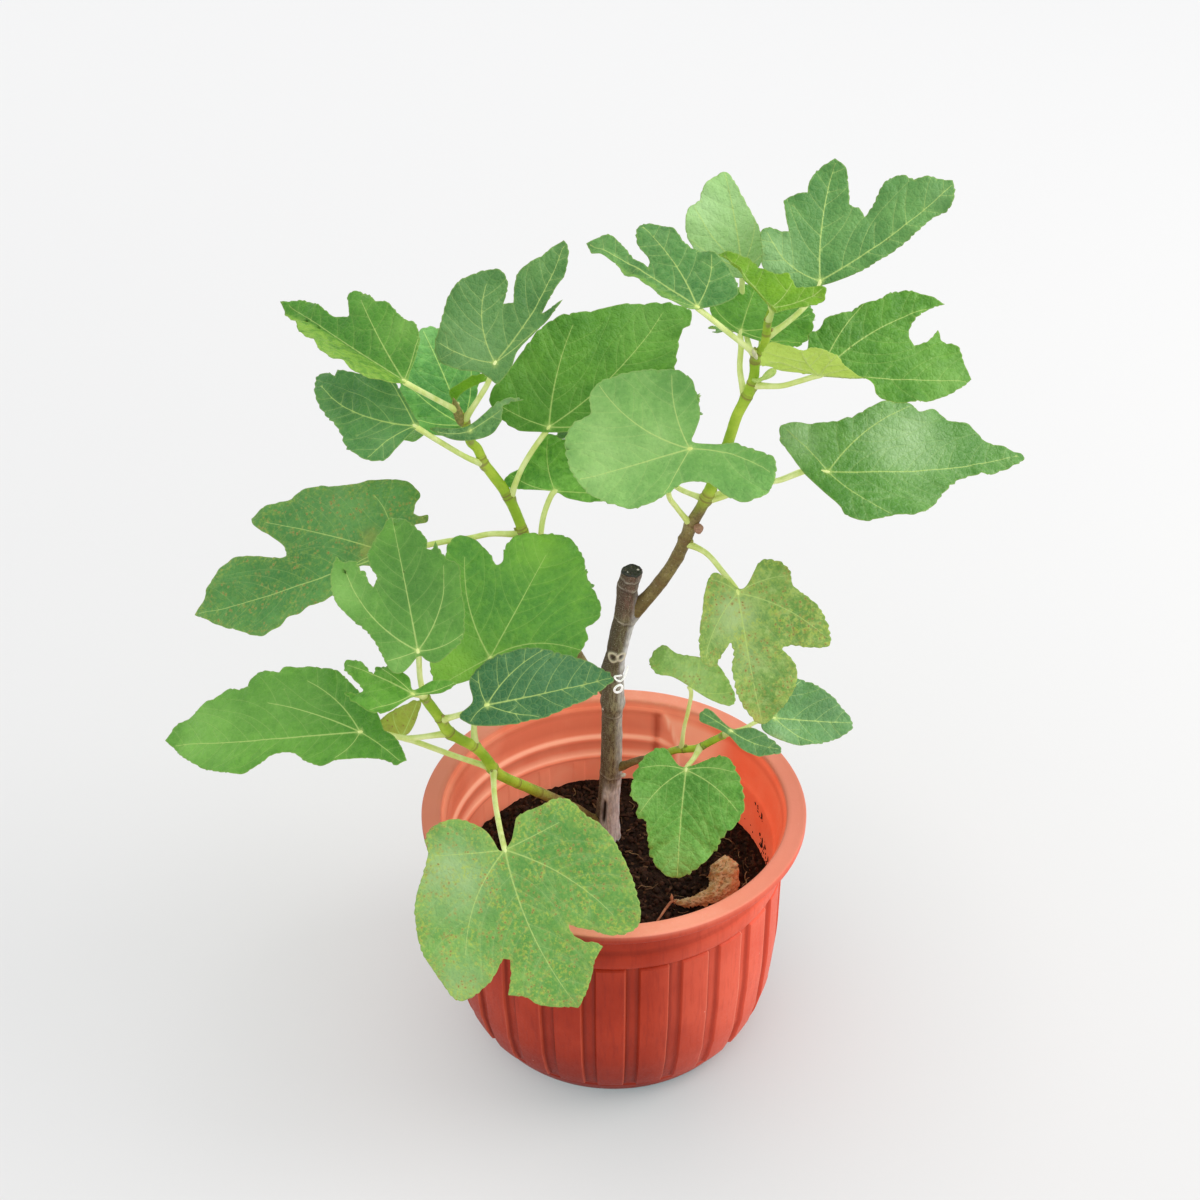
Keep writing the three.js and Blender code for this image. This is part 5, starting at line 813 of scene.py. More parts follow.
def leaf_sheet(leaf, seed):
    """Verts, tris and attributes of the closed blade."""
    rng = np.random.default_rng(seed)
    loop = margin(leaf, rng)
    nxt = np.roll(loop, -1, 0)
    mains = main_veins(leaf, loop)
    sides = side_veins(leaf, loop, mains, rng) if leaf["reach"] > 22 else []
    veins = mains + sides
    V, E = [], []

    def add(P, closed=False):
        base = len(V)
        V.extend(P.tolist())
        E.extend((base + i, base + i + 1) for i in range(len(P) - 1))
        if closed:
            E.append((base + len(P) - 1, base))

    add(loop, True)
    for pts, w, level in veins:
        t = unit(np.gradient(pts, axis=0))
        nrm = np.stack([-t[:, 1], t[:, 0]], 1)
        skip = 1 if level else 0
        add(pts)
        for sgn in (1, -1):
            off = pts + sgn * nrm * w[:, None]
            keep = inside(off, loop)
            run = off[skip:][keep[skip:]]
            if len(run) > 2:
                add(run)
    inner = loop - loop_normals(loop) * 0.95
    inner = inner[::2]
    dm, _, _ = to_segments(inner, loop, nxt)
    V.extend(inner[(dm > 0.8) & inside(inner, loop)].tolist())
    lo, hi = loop.min(0), loop.max(0)
    step = 3.0
    gx, gy = np.meshgrid(np.arange(lo[0], hi[0], step), np.arange(lo[1], hi[1], step * 0.866))
    gx = gx + (np.arange(gx.shape[0]) % 2)[:, None] * step / 2
    G = np.stack([gx.ravel(), gy.ravel()], 1) + rng.uniform(-0.3, 0.3, (gx.size, 2))
    G = G[inside(G, loop)]
    dm, _, _ = to_segments(G, loop, nxt)
    G = G[dm > 1.9]
    vA = np.vstack([v[0][:-1] for v in veins])
    vB = np.vstack([v[0][1:] for v in veins])
    dv, _, _ = to_segments(G, vA, vB)
    G = G[dv > 1.7]
    V.extend(G.tolist())
    vs, _, fs, _, _, _ = delaunay_2d_cdt([Vector(p) for p in V], E, [], 1, 1e-3)
    P = np.array([[p.x, p.y] for p in vs])
    T = np.array([list(f) for f in fs])
    mid = P[T].mean(1)
    a, b, c = P[T[:, 0]], P[T[:, 1]], P[T[:, 2]]
    area = 0.5 * ((b - a)[:, 0] * (c - a)[:, 1] - (b - a)[:, 1] * (c - a)[:, 0])
    T = T[(np.abs(area) > 1e-4) & inside(mid, loop)]
    area = area[(np.abs(area) > 1e-4) & inside(mid, loop)]
    T[area < 0] = T[area < 0][:, ::-1]
    used = np.unique(T)
    remap = np.full(len(P), -1)
    remap[used] = np.arange(len(used))
    P, T = P[used], remap[T]

    # how far each vertex is from the veins and the margin
    def mask(level):
        lines = [v for v in veins if v[2] == level]
        if not lines:
            return np.zeros(len(P)), np.full(len(P), 99.0), np.zeros(len(P))
        A = np.vstack([v[0][:-1] for v in lines])
        B = np.vstack([v[0][1:] for v in lines])
        W = np.concatenate([v[1][:-1] for v in lines])
        d, i, f = to_segments(P, A, B)
        return np.clip(1 - d / W[i], 0, 1), d, W[i]

    m0, d0, w0 = mask(0)
    m1, d1, w1 = mask(1)
    r = np.linalg.norm(P, axis=1)
    m0 = np.maximum(m0, np.clip(1.6 - r / 1.9, 0, 1))
    dm, im, fm = to_segments(P, loop, nxt)
    arc = arc_of(loop)
    s = arc[im] + fm * (arc[im + 1] - arc[im])
    near = np.exp(-np.minimum(d0, d1) / 2.0)

    # puffed between the veins, rippled at the margin, gently uneven
    dv = np.minimum(d0, d1 + 0.4)
    puff = leaf.get("puff", 0.7)
    h = puff * (1 - np.exp(-(dv / 4.2) ** 2)) * smooth(dm, 0, 7)
    total = arc[-1]
    waves = max(3, int(round(total / leaf.get("wave", 34.0))))
    amp = leaf.get("ripple", 1.5)
    phase = rng.uniform(0, 6.28, 3)
    ripple = np.sin(2 * math.pi * waves * s / total + phase[0]) + 0.5 * np.sin(2 * math.pi * (waves * 2 + 1) * s / total + phase[1])
    h = h + amp * ripple * np.exp(-dm / 9.0) * smooth(r, 12, 35)
    uneven = fractal(np.stack([P[:, 0], P[:, 1], np.full(len(P), seed * 7.3)], 1), 1 / 48.0, 2)
    h = h + leaf.get("uneven", 1.6) * uneven * smooth(r, 6, 40)
    for bias, (ba, br) in leaf.get("dents", []):
        q = np.array([br * math.cos(math.radians(ba)), br * math.sin(math.radians(ba))])
        h = h + bias * np.exp(-((P - q) ** 2).sum(1) / (2 * 16.0 ** 2))

    def normals(X):
        fn = np.cross(X[T[:, 1]] - X[T[:, 0]], X[T[:, 2]] - X[T[:, 0]])
        n = np.zeros_like(X)
        for k in range(3):
            np.add.at(n, T[:, k], fn)
        return unit(n)

    X = blade(leaf, P)
    X = X + normals(X) * h[:, None]
    n = normals(X)
    thick = 0.26 + 0.22 * smooth(dm, 0, 3)
    rise = 0.22 * m0 * w0 - 0.10 * np.maximum(m1, 0)
    rib = 1.35 * m0 * w0 + 0.7 * m1 * w1
    top = X + n * (thick / 2 + rise)[:, None]
    bot = X - n * (thick / 2 + rib)[:, None]
    count = len(P)
    directed = np.concatenate([T[:, [0, 1]], T[:, [1, 2]], T[:, [2, 0]]])
    key = directed[:, 0] * count + directed[:, 1]
    back = directed[:, 1] * count + directed[:, 0]
    border = directed[~np.isin(key, back)]
    a, b = border[:, 0], border[:, 1]
    tris = np.vstack([
        T, T[:, ::-1] + count,
        np.stack([a, a + count, b + count], 1),
        np.stack([a, b + count, b], 1),
    ])
    two = lambda x: np.concatenate([x, x])
    # where the blade is painted lighter, as if it caught more light: a broad drift towards one side
    ga, gr, gs = leaf.get("glow", (0, 60, 0.0))
    q = np.array([gr * math.cos(math.radians(ga)), gr * math.sin(math.radians(ga))])
    bright = gs * np.exp(-((P - q) ** 2).sum(1) / (2 * leaf.get("spread", 26.0) ** 2))
    dusk = np.zeros(len(P))
    wander = 0.5 * fractal(np.stack([P[:, 0], P[:, 1], np.full(len(P), seed * 3.1)], 1), 1 / 20.0, 3)
    # shades: patches painted lighter or darker, partly the leaf's own mottling, partly painted sheen (lighter) and
    # painted shade (darker)
    for sa, sr, ss, sk in leaf.get("shades", []):
        q = np.array([sr * math.cos(math.radians(sa)), sr * math.sin(math.radians(sa))])
        patch = np.exp(-((P - q) ** 2).sum(1) / (2 * ss ** 2)) * (1 + wander)
        if sk > 0:
            bright = bright + sk * patch
        else:
            dusk = dusk - sk * patch
    stain = np.zeros(len(P))
    for sa, sr, ss, sk in leaf.get("stains", []):
        q = np.array([sr * math.cos(math.radians(sa)), sr * math.sin(math.radians(sa))])
        stain = stain + sk * np.exp(-((P - q) ** 2).sum(1) / (2 * ss ** 2)) * (1 + 1.5 * wander)
    # one half of a keeled leaf may be of another green
    half = leaf.get("half", [0, 0.0])
    tint = half[1] * smooth(P[:, 1] * (1 if half[0] > 0 else -1), 0.0, 2.5) if half[0] else np.zeros(len(P))
    attrs = {
        "vein": two(m0), "web": two(m1), "near": two(near),
        "rim": two(np.clip(1 - dm / 0.9, 0, 1)), "edge": two(np.exp(-dm / 9.0)),
        "under": np.concatenate([np.zeros(count), np.ones(count)]), "bright": two(np.clip(bright, 0, 1)),
        "dusk": two(np.clip(dusk, 0, 1)), "tint": two(tint), "stain": two(np.clip(stain, 0, 1)),
    }
    uv = two(P / 220.0 + 0.5)
    return np.vstack([top, bot]), tris, attrs, uv


def stalk(leaf):
    """The leaf stalk: a tapering tube from its limb to the blade."""
    A, U, V, N = leaf_frame(leaf)
    stem = [list(p) for p in leaf["stem"]]
    end = A - N * (0.55 * leaf["stalk"]) - U * 0.6
    stem[-1] = end.tolist()
    stem.append((A - N * (0.35 * leaf["stalk"]) + U * 2.6).tolist())
    path = spline(stem, 1.8)
    s = arc_of(path)[:-1]
    s = np.concatenate([[0], np.cumsum(np.linalg.norm(np.diff(path, axis=0), axis=1))])
    L = s[-1]
    r = leaf["stalk"] * (0.92 + 0.45 * np.exp(-np.maximum(s - 4, 0) / 5.0) * (s < 20) + 0.10 * np.exp(-(L - s) / 6.0))
    r = r * np.where(s > L - 2.8, 1 - 0.62 * smooth(s, L - 2.8, L), 1)
    v, t, ring, ang = sweep(path, r, 14)
    return v, t, {"foot": np.exp(-s[ring] / 5.0)}


def make_leaf(leaf, n, stalk_mat):
    seed = 101 + 13 * n
    v, t, attrs, uv = leaf_sheet(leaf, seed)
    sv, st, sa = stalk(leaf)
    base = len(v)
    verts = np.vstack([v, sv])
    tris = np.vstack([t, st + base])
    index = np.concatenate([np.zeros(len(t)), np.ones(len(st))])
    allk = {k: np.concatenate([x, np.zeros(len(sv))]) for k, x in attrs.items()}
    allk["foot"] = np.concatenate([np.zeros(base), sa["foot"]])
    uvs = np.vstack([uv, np.zeros((len(sv), 2))])
    mat = leaf_material("blade_" + leaf["name"], leaf["look"], seed, leaf.get("lift", 1.0), leaf.get("underside_and_glow", (168, 204, 104)),
                        leaf.get("mottle", 0.0), leaf.get("painted_sheen_veil", 0.0), "half" in leaf)
    o = mesh_object("fig_" + leaf["name"], verts, tris, [mat, stalk_mat], index, allk, uvs)
    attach(o, "root")
    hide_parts(leaf["name"])
    return o


# ------------------------------------------------------------------ limbs
def path_of(rings, step):
    """A limb's smooth course: points, radii and the length to each."""
    R = spline(np.array(rings, float), step)
    P = R[:, :3]
    s = np.concatenate([[0], np.cumsum(np.linalg.norm(np.diff(P, axis=0), axis=1))])
    return P, R[:, 3], s


def nearest_on(P, s, q):
    i = np.linalg.norm(P - np.asarray(q, float), axis=1).argmin()
    return s[i], i


def limb_mesh(rings, sides, step, nodes, bark, green, seed, root=None, first=None, flare=0.3):
    """A limb with its node rings, swellings and bark relief.
    nodes: [length along, facing direction, strength]. bark: relief in mm.
    green: [length where brown gives way to green, over how many mm]."""
    P, R, s = path_of(rings, step)
    if root is not None:
        # the foot runs on into the limb it springs from, under a collar
        back = unit(P[0] - P[2])
        into = [P[0] + back * d for d in np.arange(root, 0, -step)]
        P = np.vstack([into, P])
        R = np.concatenate([np.full(len(into), R[0]), R])
        s = np.concatenate([[0], np.cumsum(np.linalg.norm(np.diff(P, axis=0), axis=1))]) - len(into) * step
        R = R * (1 + flare * np.exp(-np.maximum(s + root * 0.35, 0) / 4.0))
    verts, tris, ring, ang = sweep(P, R, sides, first=first)
    out = unit(verts - P[ring])
    S = s[ring]
    body = np.arange(len(verts)) < len(P) * sides
    tan = unit(np.gradient(P, axis=0))[ring]
    move = np.zeros(len(verts))
    mark = np.zeros(len(verts))
    scar = np.zeros(len(verts))
    for at, face, k in nodes:
        d = S - at
        move += k * (0.35 * np.exp(-(d / 0.8) ** 2) + 0.16 * np.exp(-((d + 2.0) / 3.0) ** 2))
        mark = np.maximum(mark, np.exp(-(d / 0.75) ** 2))
        mark = np.maximum(mark, 0.45 * np.exp(-((d - 1.9) / 0.5) ** 2))
        if face is not None:
            f = unit(np.asarray(face, float))
            lean = np.clip((out * f).sum(1), 0, 1)
            move += k * 1.0 * np.exp(-((d + 2.2) / 2.6) ** 2) * lean ** 4
            scar = np.maximum(scar, np.exp(-((d + 3.0) / 1.9) ** 2) * np.clip(lean ** 6 * 1.3, 0, 1))
    c, sn = np.cos(ang), np.sin(ang)
    grain = np.stack([c * 2.2, sn * 2.2, S * 0.06], 1)
    fissure = fractal(grain, 1.0, 3, seed)
    knob = fractal(np.stack([c * 1.1, sn * 1.1, S * 0.13], 1), 1.0, 3, seed + 9)
    fine = fractal(np.stack([c * 5, sn * 5, S * 0.45], 1), 1.0, 2, seed + 31)
    move += bark * (0.55 * fissure + 0.5 * knob + 0.22 * fine)
    verts = verts + out * (move * body)[:, None]
    age = 1 - smooth(S + 6 * fractal(np.stack([c, sn, S * 0.05], 1), 1.0, 2, seed + 3), green[0] - green[1], green[0] + green[1])
    return verts, tris, {"age": age, "ring": mark, "scar": scar, "fiss": fissure}, (P, R, s)


def bud(at, along, size, lift=0.0):
    """A pointed bud lying along a direction."""
    v, f = ball(1.0, 8, 10)
    z = (v[:, 2] + 1) / 2
    r = np.sin(math.pi * np.clip(z, 0, 1) ** 0.75) ** 0.8 * 0.5
    v2 = np.stack([v[:, 0], v[:, 1]], 1)
    n = np.maximum(np.linalg.norm(v2, axis=1, keepdims=True), 1e-6)
    v2 = v2 / n * r[:, None]
    a = unit(np.asarray(along, float))
    x = unit(np.cross(a, [0.3, 0.5, 0.8]))
    y = np.cross(a, x)
    V = np.asarray(at, float) + (np.outer(v2[:, 0], x) + np.outer(v2[:, 1], y)) * size[0] + np.outer(z, a) * size[1]
    return V, f


def stem_material():
    """Green shoots that turn brown and woody with age, with ringed nodes."""
    p = Paint("young_bark", Roughness=0.5, Specular_IOR_Level=0.4)
    v = p.coord(1.0)
    slow = p.noise(v, 0.05, 3.0)
    fine = p.noise(v, 0.7, 4.0, 0.65)
    green = p.mix(p.ramp(slow, 0.35, 0.65), lin((148, 186, 40), EXPOSURE), lin((184, 210, 64), EXPOSURE))
    green = p.mix(p.ramp(fine, 0.5, 0.75, 0.0, 0.3), green, lin((112, 138, 50), EXPOSURE))
    brown = p.mix(p.ramp(slow, 0.35, 0.65), lin((118, 98, 54), EXPOSURE), lin((156, 140, 84), EXPOSURE))
    brown = p.mix(p.ramp(fine, 0.45, 0.7, 0.0, 0.7), brown, lin((84, 64, 42), EXPOSURE))
    dots = p.cells(v, 0.34, "F1")
    brown = p.mix(p.ramp(dots.outputs["Distance"], 0.1, 0.2, 0.7, 0.0), brown, lin((170, 156, 124), EXPOSURE))
    col = p.mix(p.attr("age"), green, brown)
    col = p.mix(p.math("MULTIPLY", p.attr("ring"), 0.8), col, lin((122, 92, 52), EXPOSURE))
    col = p.mix(p.math("MULTIPLY", p.attr("scar"), 0.75), col, lin((150, 134, 96), EXPOSURE))
    p.colour(col)
    p.rough(p.ramp(fine, 0.3, 0.7, 0.42, 0.7))
    p.normal(p.bump(p.noise(v, 0.9, 4.0, 0.6), 0.4, 0.0006))
    return p.m


def trunk_material():
    """Grey-brown bark: reddish high up, with pores and ringed scars; painted light on the right side and painted shade
    on the left.
    """
    p = Paint("old_bark", Roughness=0.75, Specular_IOR_Level=0.3)
    v = p.coord(1.0)
    long = p.coord((1.0, 1.0, 0.22))
    slow = p.noise(v, 0.06, 3.0)
    fine = p.noise(long, 0.6, 5.0, 0.65)
    grit = p.noise(v, 1.5, 4.0, 0.7)
    col = p.mix(p.ramp(slow, 0.35, 0.62), lin((122, 112, 82)), lin((160, 152, 118)))
    col = p.mix(p.math("MULTIPLY", p.attr("olive"), 0.7), col, lin((92, 90, 56)))
    col = p.mix(p.attr("high"), col, p.mix(slow, lin((112, 78, 66)), lin((140, 104, 90))))
    # painted shade on the left side and under the waist
    col = p.mix(p.math("MULTIPLY", p.attr("dusk"), 0.8), col, lin((64, 52, 38)))
    col = p.mix(p.ramp(fine, 0.42, 0.59, 0.0, 0.82), col, lin((84, 66, 52)))
    col = p.mix(p.ramp(grit, 0.51, 0.64, 0.0, 0.55), col, lin((182, 174, 150)))
    # painted light on the right side and on the base's right lobe
    col = p.mix(p.math("MULTIPLY", p.attr("pale"), 0.92), col, p.mix(p.ramp(fine, 0.35, 0.65), lin((252, 254, 255)), lin((208, 210, 214))))
    pores = p.cells(p.coord((1.0, 1.0, 0.8)), 0.5, "F1")
    col = p.mix(p.ramp(pores.outputs["Distance"], 0.07, 0.17, 0.8, 0.0), col, lin((196, 186, 160)))
    col = p.mix(p.math("MULTIPLY", p.attr("ring"), 0.7), col, lin((64, 48, 38)))
    col = p.mix(p.attr("chalk"), col, lin((216, 206, 190)))
    col = p.mix(p.attr("scar"), col, lin((250, 240, 216)))
    # painted shade in the crease between the root lobes and in the scars' hollows
    col = p.mix(p.attr("split"), col, lin((44, 34, 28)))
    p.colour(col)
    p.rough(p.ramp(fine, 0.3, 0.7, 0.6, 0.85))
    h = p.math("ADD", fine, p.math("MULTIPLY", grit, 0.5))
    p.normal(p.bump(h, 0.6, 0.001))
    return p.m


def plain_material(name, a, b, scale, rough, bump=0.3, size=0.0005):
    p = Paint(name, Roughness=rough)
    v = p.coord(1.0)
    n = p.noise(v, scale, 4.0, 0.6)
    p.colour(p.mix(p.ramp(n, 0.35, 0.65), lin(a, EXPOSURE), lin(b, EXPOSURE)))
    p.rough(p.ramp(n, 0.3, 0.7, rough, min(1.0, rough + 0.15)))
    p.normal(p.bump(n, bump, size))
    return p.m


def make_trunk():
    rings = LIMBS["trunk"]
    P, R, s = path_of(rings, 1.3)
    # [height, facing, strength]: rings left by the scales of each year's buds
    marks = [(186.0, (0.9, -0.35, 0), 0.5), (246.0, (-0.3, -0.9, 0), 0.5), (287.0, (-0.9, -0.3, 0), 1.0), (361.0, None, 0.4)]
    nodes = [[s[np.abs(P[:, 2] - z).argmin()], face, k] for z, face, k in marks]
    sides = 48
    verts, tris, attrs, (P, R, s) = limb_mesh(rings, sides, 1.0, nodes, 0.62, [9999, 1], 4.0, first=(0.0, -1.0, 0.0))
    n = len(P)
    ring = np.concatenate([np.repeat(np.arange(n), sides), [0, n - 1]])
    out = unit(verts - P[ring])
    z = P[ring][:, 2]
    facing = lambda d, k: np.clip(out @ unit(np.array(d)), 0, 1) ** k
    wob = fractal(verts, 1 / 6.0, 2, 71.0)
    # a root flare with two swollen lobes and a crease between them, painted dark as shade
    low = np.exp(-np.maximum(z - SOIL_TOP, 0) / 13.0)
    mid = np.exp(-((z - 150) / 24.0) ** 2)
    right, left = facing((0.75, -0.62, 0.0), 2), facing((-0.95, -0.25, 0.0), 3)
    seam = facing((-0.30, -0.95, 0.0), 60) * smooth(z, 136, 146) * (1 - smooth(z, 158, 166))
    push = low * (1.6 * left + 1.0 * right) + mid * (0.9 * right + 0.8 * left) - 2.4 * seam
    # the swelling where the bough leaves, and the waist under the old scars
    collar = np.exp(-((z - 340) / 9.0) ** 2) * facing((1.0, -0.1, 0.0), 2)
    waist = np.exp(-((z - 281) / 3.0) ** 2)
    shoulder = np.exp(-((z - 290) / 4.5) ** 2) * facing((-0.85, -0.5, 0.0), 1)
    push = push + 4.6 * collar - 0.9 * waist + 1.0 * shoulder + 0.8 * np.exp(-((z - 254) / 5.0) ** 2)
    # slimmer below the old cut than above it, more so on the left
    at = [120, 160, 190, 225, 254, 271, 284, 298, 330, 345, 352, 358, 363, 369, 373]
    push = push - np.interp(z, at, [1.2, 1.9, 2.2, 2.2, 2.5, 2.3, 1.0, 1.6, 1.6, 0.2, -1.2, -1.8, -1.6, -0.4, 0.0]) * np.clip(-out[:, 0], 0, 1)
    push = push - np.interp(z, at, [0.6, 1.2, 0.6, 0.2, 1.3, 1.3, 0.8, 1.0, 1.0, 0.4, 2.2, 3.0, 2.4, 0.6, 0.0]) * np.clip(out[:, 0], 0, 1)
    verts = verts + out * push[:, None]
    attrs["split"] = np.clip(seam * 1.5, 0, 1)
    # painted light: the side facing the light is painted pale; the base's right lobe is pale grey bark, painted paler
    # still against its shade; dusk is painted shade on the left side and under the waist
    edge = smooth(out @ unit(np.array([0.93, -0.30, 0.10])), 0.52, 0.92)
    lobe = smooth(out @ unit(np.array([0.50, -0.86, 0.0])), 0.22, 0.66) * (1 - smooth(z, 166, 186))
    share = np.interp(z, [120, 160, 185, 250, 285, 300, 328, 345, 373], [1.0, 0.9, 0.55, 0.5, 0.6, 0.95, 0.9, 0.35, 0.15])
    attrs["pale"] = np.clip(np.maximum(edge * share, 1.2 * lobe) * (0.85 + 0.4 * wob), 0, 1)
    attrs["dusk"] = np.clip(smooth(out @ unit(np.array([-0.9, -0.35, 0.0])), 0.30, 0.95) + 0.5 * waist, 0, 1)
    attrs["olive"] = smooth(z, 284, 294) * (1 - smooth(z + 4 * wob, 320, 334)) * (1 - edge)
    attrs["high"] = smooth(z + 5 * wob, 333, 346) * (1 - 0.8 * collar)
    tilt = z + 0.9 * out[:, 0]
    rings_ = np.zeros(len(verts))
    dark = np.zeros(len(verts))
    for at, w in ((186.0, 0.8), (245.5, 0.9), (332.5, 1.1), (361.0, 0.9), (368.0, 0.7)):
        d = tilt + 0.9 * wob - at
        rings_ = np.maximum(rings_, np.exp(-(d / 0.55) ** 2) * (0.55 + 0.6 * wob) * w)
        dark = np.maximum(dark, np.exp(-((d + 1.3) / 0.9) ** 2) * 0.8)
    attrs["chalk"] = np.clip(rings_, 0, 1)
    attrs["ring"] = np.maximum(attrs["ring"] * 0.5, dark)
    # two round scars, side by side, where a stalk and its fruit once sat
    scar = np.zeros(len(verts))
    for cx, cz, rr in ((-0.9, 301.0, 3.0), (4.9, 301.2, 2.6)):
        c = np.array([cx, 28.6, cz])
        d = np.linalg.norm((verts - c) * np.array([1.0, 0.4, 0.8]), axis=1)
        rim = np.exp(-((d - rr) / 0.72) ** 2)
        scar = np.maximum(scar, rim)
        verts = verts + out * (0.8 * rim - 0.5 * np.exp(-(d / 1.4) ** 2))[:, None]
        # the scars' hollow centres painted dark, as shade
        attrs["split"] = np.maximum(attrs["split"], 0.95 * np.exp(-(d / 1.4) ** 2))
    attrs["scar"] = scar
    verts[:, 2] = np.maximum(verts[:, 2], SOIL_TOP - 1.2)
    parts = [(verts, tris, 0, attrs)]
    # the pruned top, sealed dark, with a raised rim of bark
    top, tan = P[-1], unit(P[-1] - P[-3])
    x = unit(np.cross(tan, [0.0, 1.0, 0.0]))
    y = np.cross(tan, x)
    rows = []
    rad = [0.0, 0.3, 0.6, 0.8, 0.93, 0.99, 0.93]
    lift = [0.25, 0.35, 0.15, 0.3, 0.75, 0.2, -1.2]
    a = np.linspace(0, 2 * math.pi, 36, endpoint=False)
    for q, l in zip(rad, lift):
        rr = R[-1] * q * (1 + 0.05 * np.sin(3 * a + 1) + 0.03 * np.sin(7 * a))
        ll = l + (0.18 * np.sin(5 * a + q * 9) + 0.12 * np.sin(9 * a)) * (q > 0)
        rows.append(top + np.outer(rr * np.cos(a), x) + np.outer(rr * np.sin(a), y) + np.outer(ll, tan))
    cap = np.vstack([rows[0][:1]] + rows[1:])
    f = [[0, 1 + k, 1 + (k + 1) % 36] for k in range(36)]
    for i in range(len(rows) - 2):
        b = 1 + i * 36
        for k in range(36):
            m = (k + 1) % 36
            f += [[b + k, b + 36 + k, b + 36 + m], [b + k, b + 36 + m, b + m]]
    b = 1 + (len(rows) - 2) * 36
    low_c = len(cap)
    cap = np.vstack([cap, top - tan * 1.2])
    f += [[low_c, b + (k + 1) % 36, b + k] for k in range(36)]
    parts.append((cap, np.array(f)[:, ::-1] if np.dot(np.cross(x, y), tan) < 0 else np.array(f), 1, {}))
    # a white fleck on the sealed cut
    bv, bf = ball(1.0, 6, 9)
    parts.append((bv * [1.0, 0.8, 0.5] + top + np.array([4.2, 0.6, 0.7]), bf, 2, {}))
    # dormant buds
    for at, way, size in (((5.4, 36.6, 186.0), (0.75, -0.3, 0.6), (3.8, 5.0)), ((-7.0, 33.5, 250.5), (-0.5, -0.4, 0.8), (2.2, 3.0)), ((8.6, 30.0, 372.0), (0.2, -0.5, 0.85), (1.6, 2.2))):
        bv, bf = bud(at, way, size)
        parts.append((bv, bf, 2, {}))
    mats = [trunk_material(), plain_material("sealed_cut", (22, 20, 18), (54, 52, 46), 0.5, 0.28, 0.6, 0.0008),
            plain_material("dormant_bud", (238, 234, 226), (206, 198, 184), 0.7, 0.6)]
    o = joined("fig_trunk", parts, mats)
    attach(o, "root")
    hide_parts("trunk")
    return o


def make_bough(node, rings, leaves, extra, green, bark, seed, root, mats, flare=0.3, slim=0.9):
    rings = [[x, y, z, r * slim] for x, y, z, r in rings]
    P, R, s = path_of(rings, 1.1)
    nodes, parts = [], []
    for leaf in leaves:
        q = np.array(leaf["stem"][0], float)
        at, i = nearest_on(P, s, q)
        way = np.array(leaf["stem"][1], float) - q
        t = unit(P[min(i + 1, len(P) - 1)] - P[max(i - 1, 0)])
        face = unit(way - (way @ t) * t)
        nodes.append([at + 1.5, face, 0.9])
        if s[-1] - at > 6:
            size = (2.4, 3.2) if at > green[0] else (2.8, 3.0)
            c = P[i] + face * (R[i] * 0.9) + t * 3.4
            bv, bf = bud(c, t * 0.8 + face * 0.55, size)
            parts.append((bv, bf, 1, {"age": 0.0 if at > green[0] else 1.0}))
    for share, bearing, k in extra:
        a = math.radians(bearing)
        nodes.append([share * s[-1], (math.cos(a), math.sin(a), 0.0), k])
    verts, tris, attrs, _ = limb_mesh(rings, 26, 0.9, nodes, bark, green, seed, root=root, flare=flare)
    parts.insert(0, (verts, tris, 0, attrs))
    t = unit(P[-1] - P[-3])
    bv, bf = bud(P[-1] - t * 0.8, t, (R[-1] * 1.9, 9.0))
    parts.append((bv, bf, 0, {"age": 0.0, "ring": 0.0}))
    o = joined("fig_" + node, parts, mats)
    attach(o, "root")
    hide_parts(node)
    return o


# ------------------------------------------------------------------ pot
WALL = [[0, 101.2], [1.2, 101.9], [9.5, 106.2], [11, 107], [25, 113], [45, 118], [85, 121.5], [143, 121.8], [178, 122.4]]
PANEL_TURN = -76.3
CORNER = 72.4


def pot_rows():
    """[height, radius, kind] down the outside from the lip to the foot, then
    the underside. kind: 0 plain, 1 where the panels stand proud."""
    wall = np.array(WALL)
    z = wall[:, 0]
    rad = lambda h: float(np.interp(h, z, wall[:, 1]))
    rows = [(183.2, 139.6, 0), (182.4, 138.8, 0), (182.2, 136.5, 0), (181.8, 130.0, 0), (180.8, 125.8, 0), (178.0, 123.6, 0),
            (170.0, 123.0, 0), (162.0, 122.8, 0), (159.4, 123.0, 0), (157.6, 123.7, 0), (156.0, 124.6, 0), (154.6, 124.9, 0),
            (148.0, 124.7, 0), (145.2, 124.5, 0), (144.2, 123.9, 0), (143.6, 122.8, 0)]
    for h in (143.2, 142.6, 141.6, 138, 130, 120, 110, 100, 90, 80, 70, 60, 52, 45, 38, 32, 26, 21, 17.5, 15.8, 14.8, 14.2):
        rows.append((h, rad(h), 1))
    rows += [(13.4, rad(13.4) + 0.1, 0), (11.6, rad(11.6), 0), (10.8, rad(10.8) + 0.5, 0), (9.6, rad(9.6) + 0.9, 0), (5, 104.2, 0), (1.4, 102.4, 0), (0.35, 101.6, 0), (0.0, 100.6, 0)]
    return rows


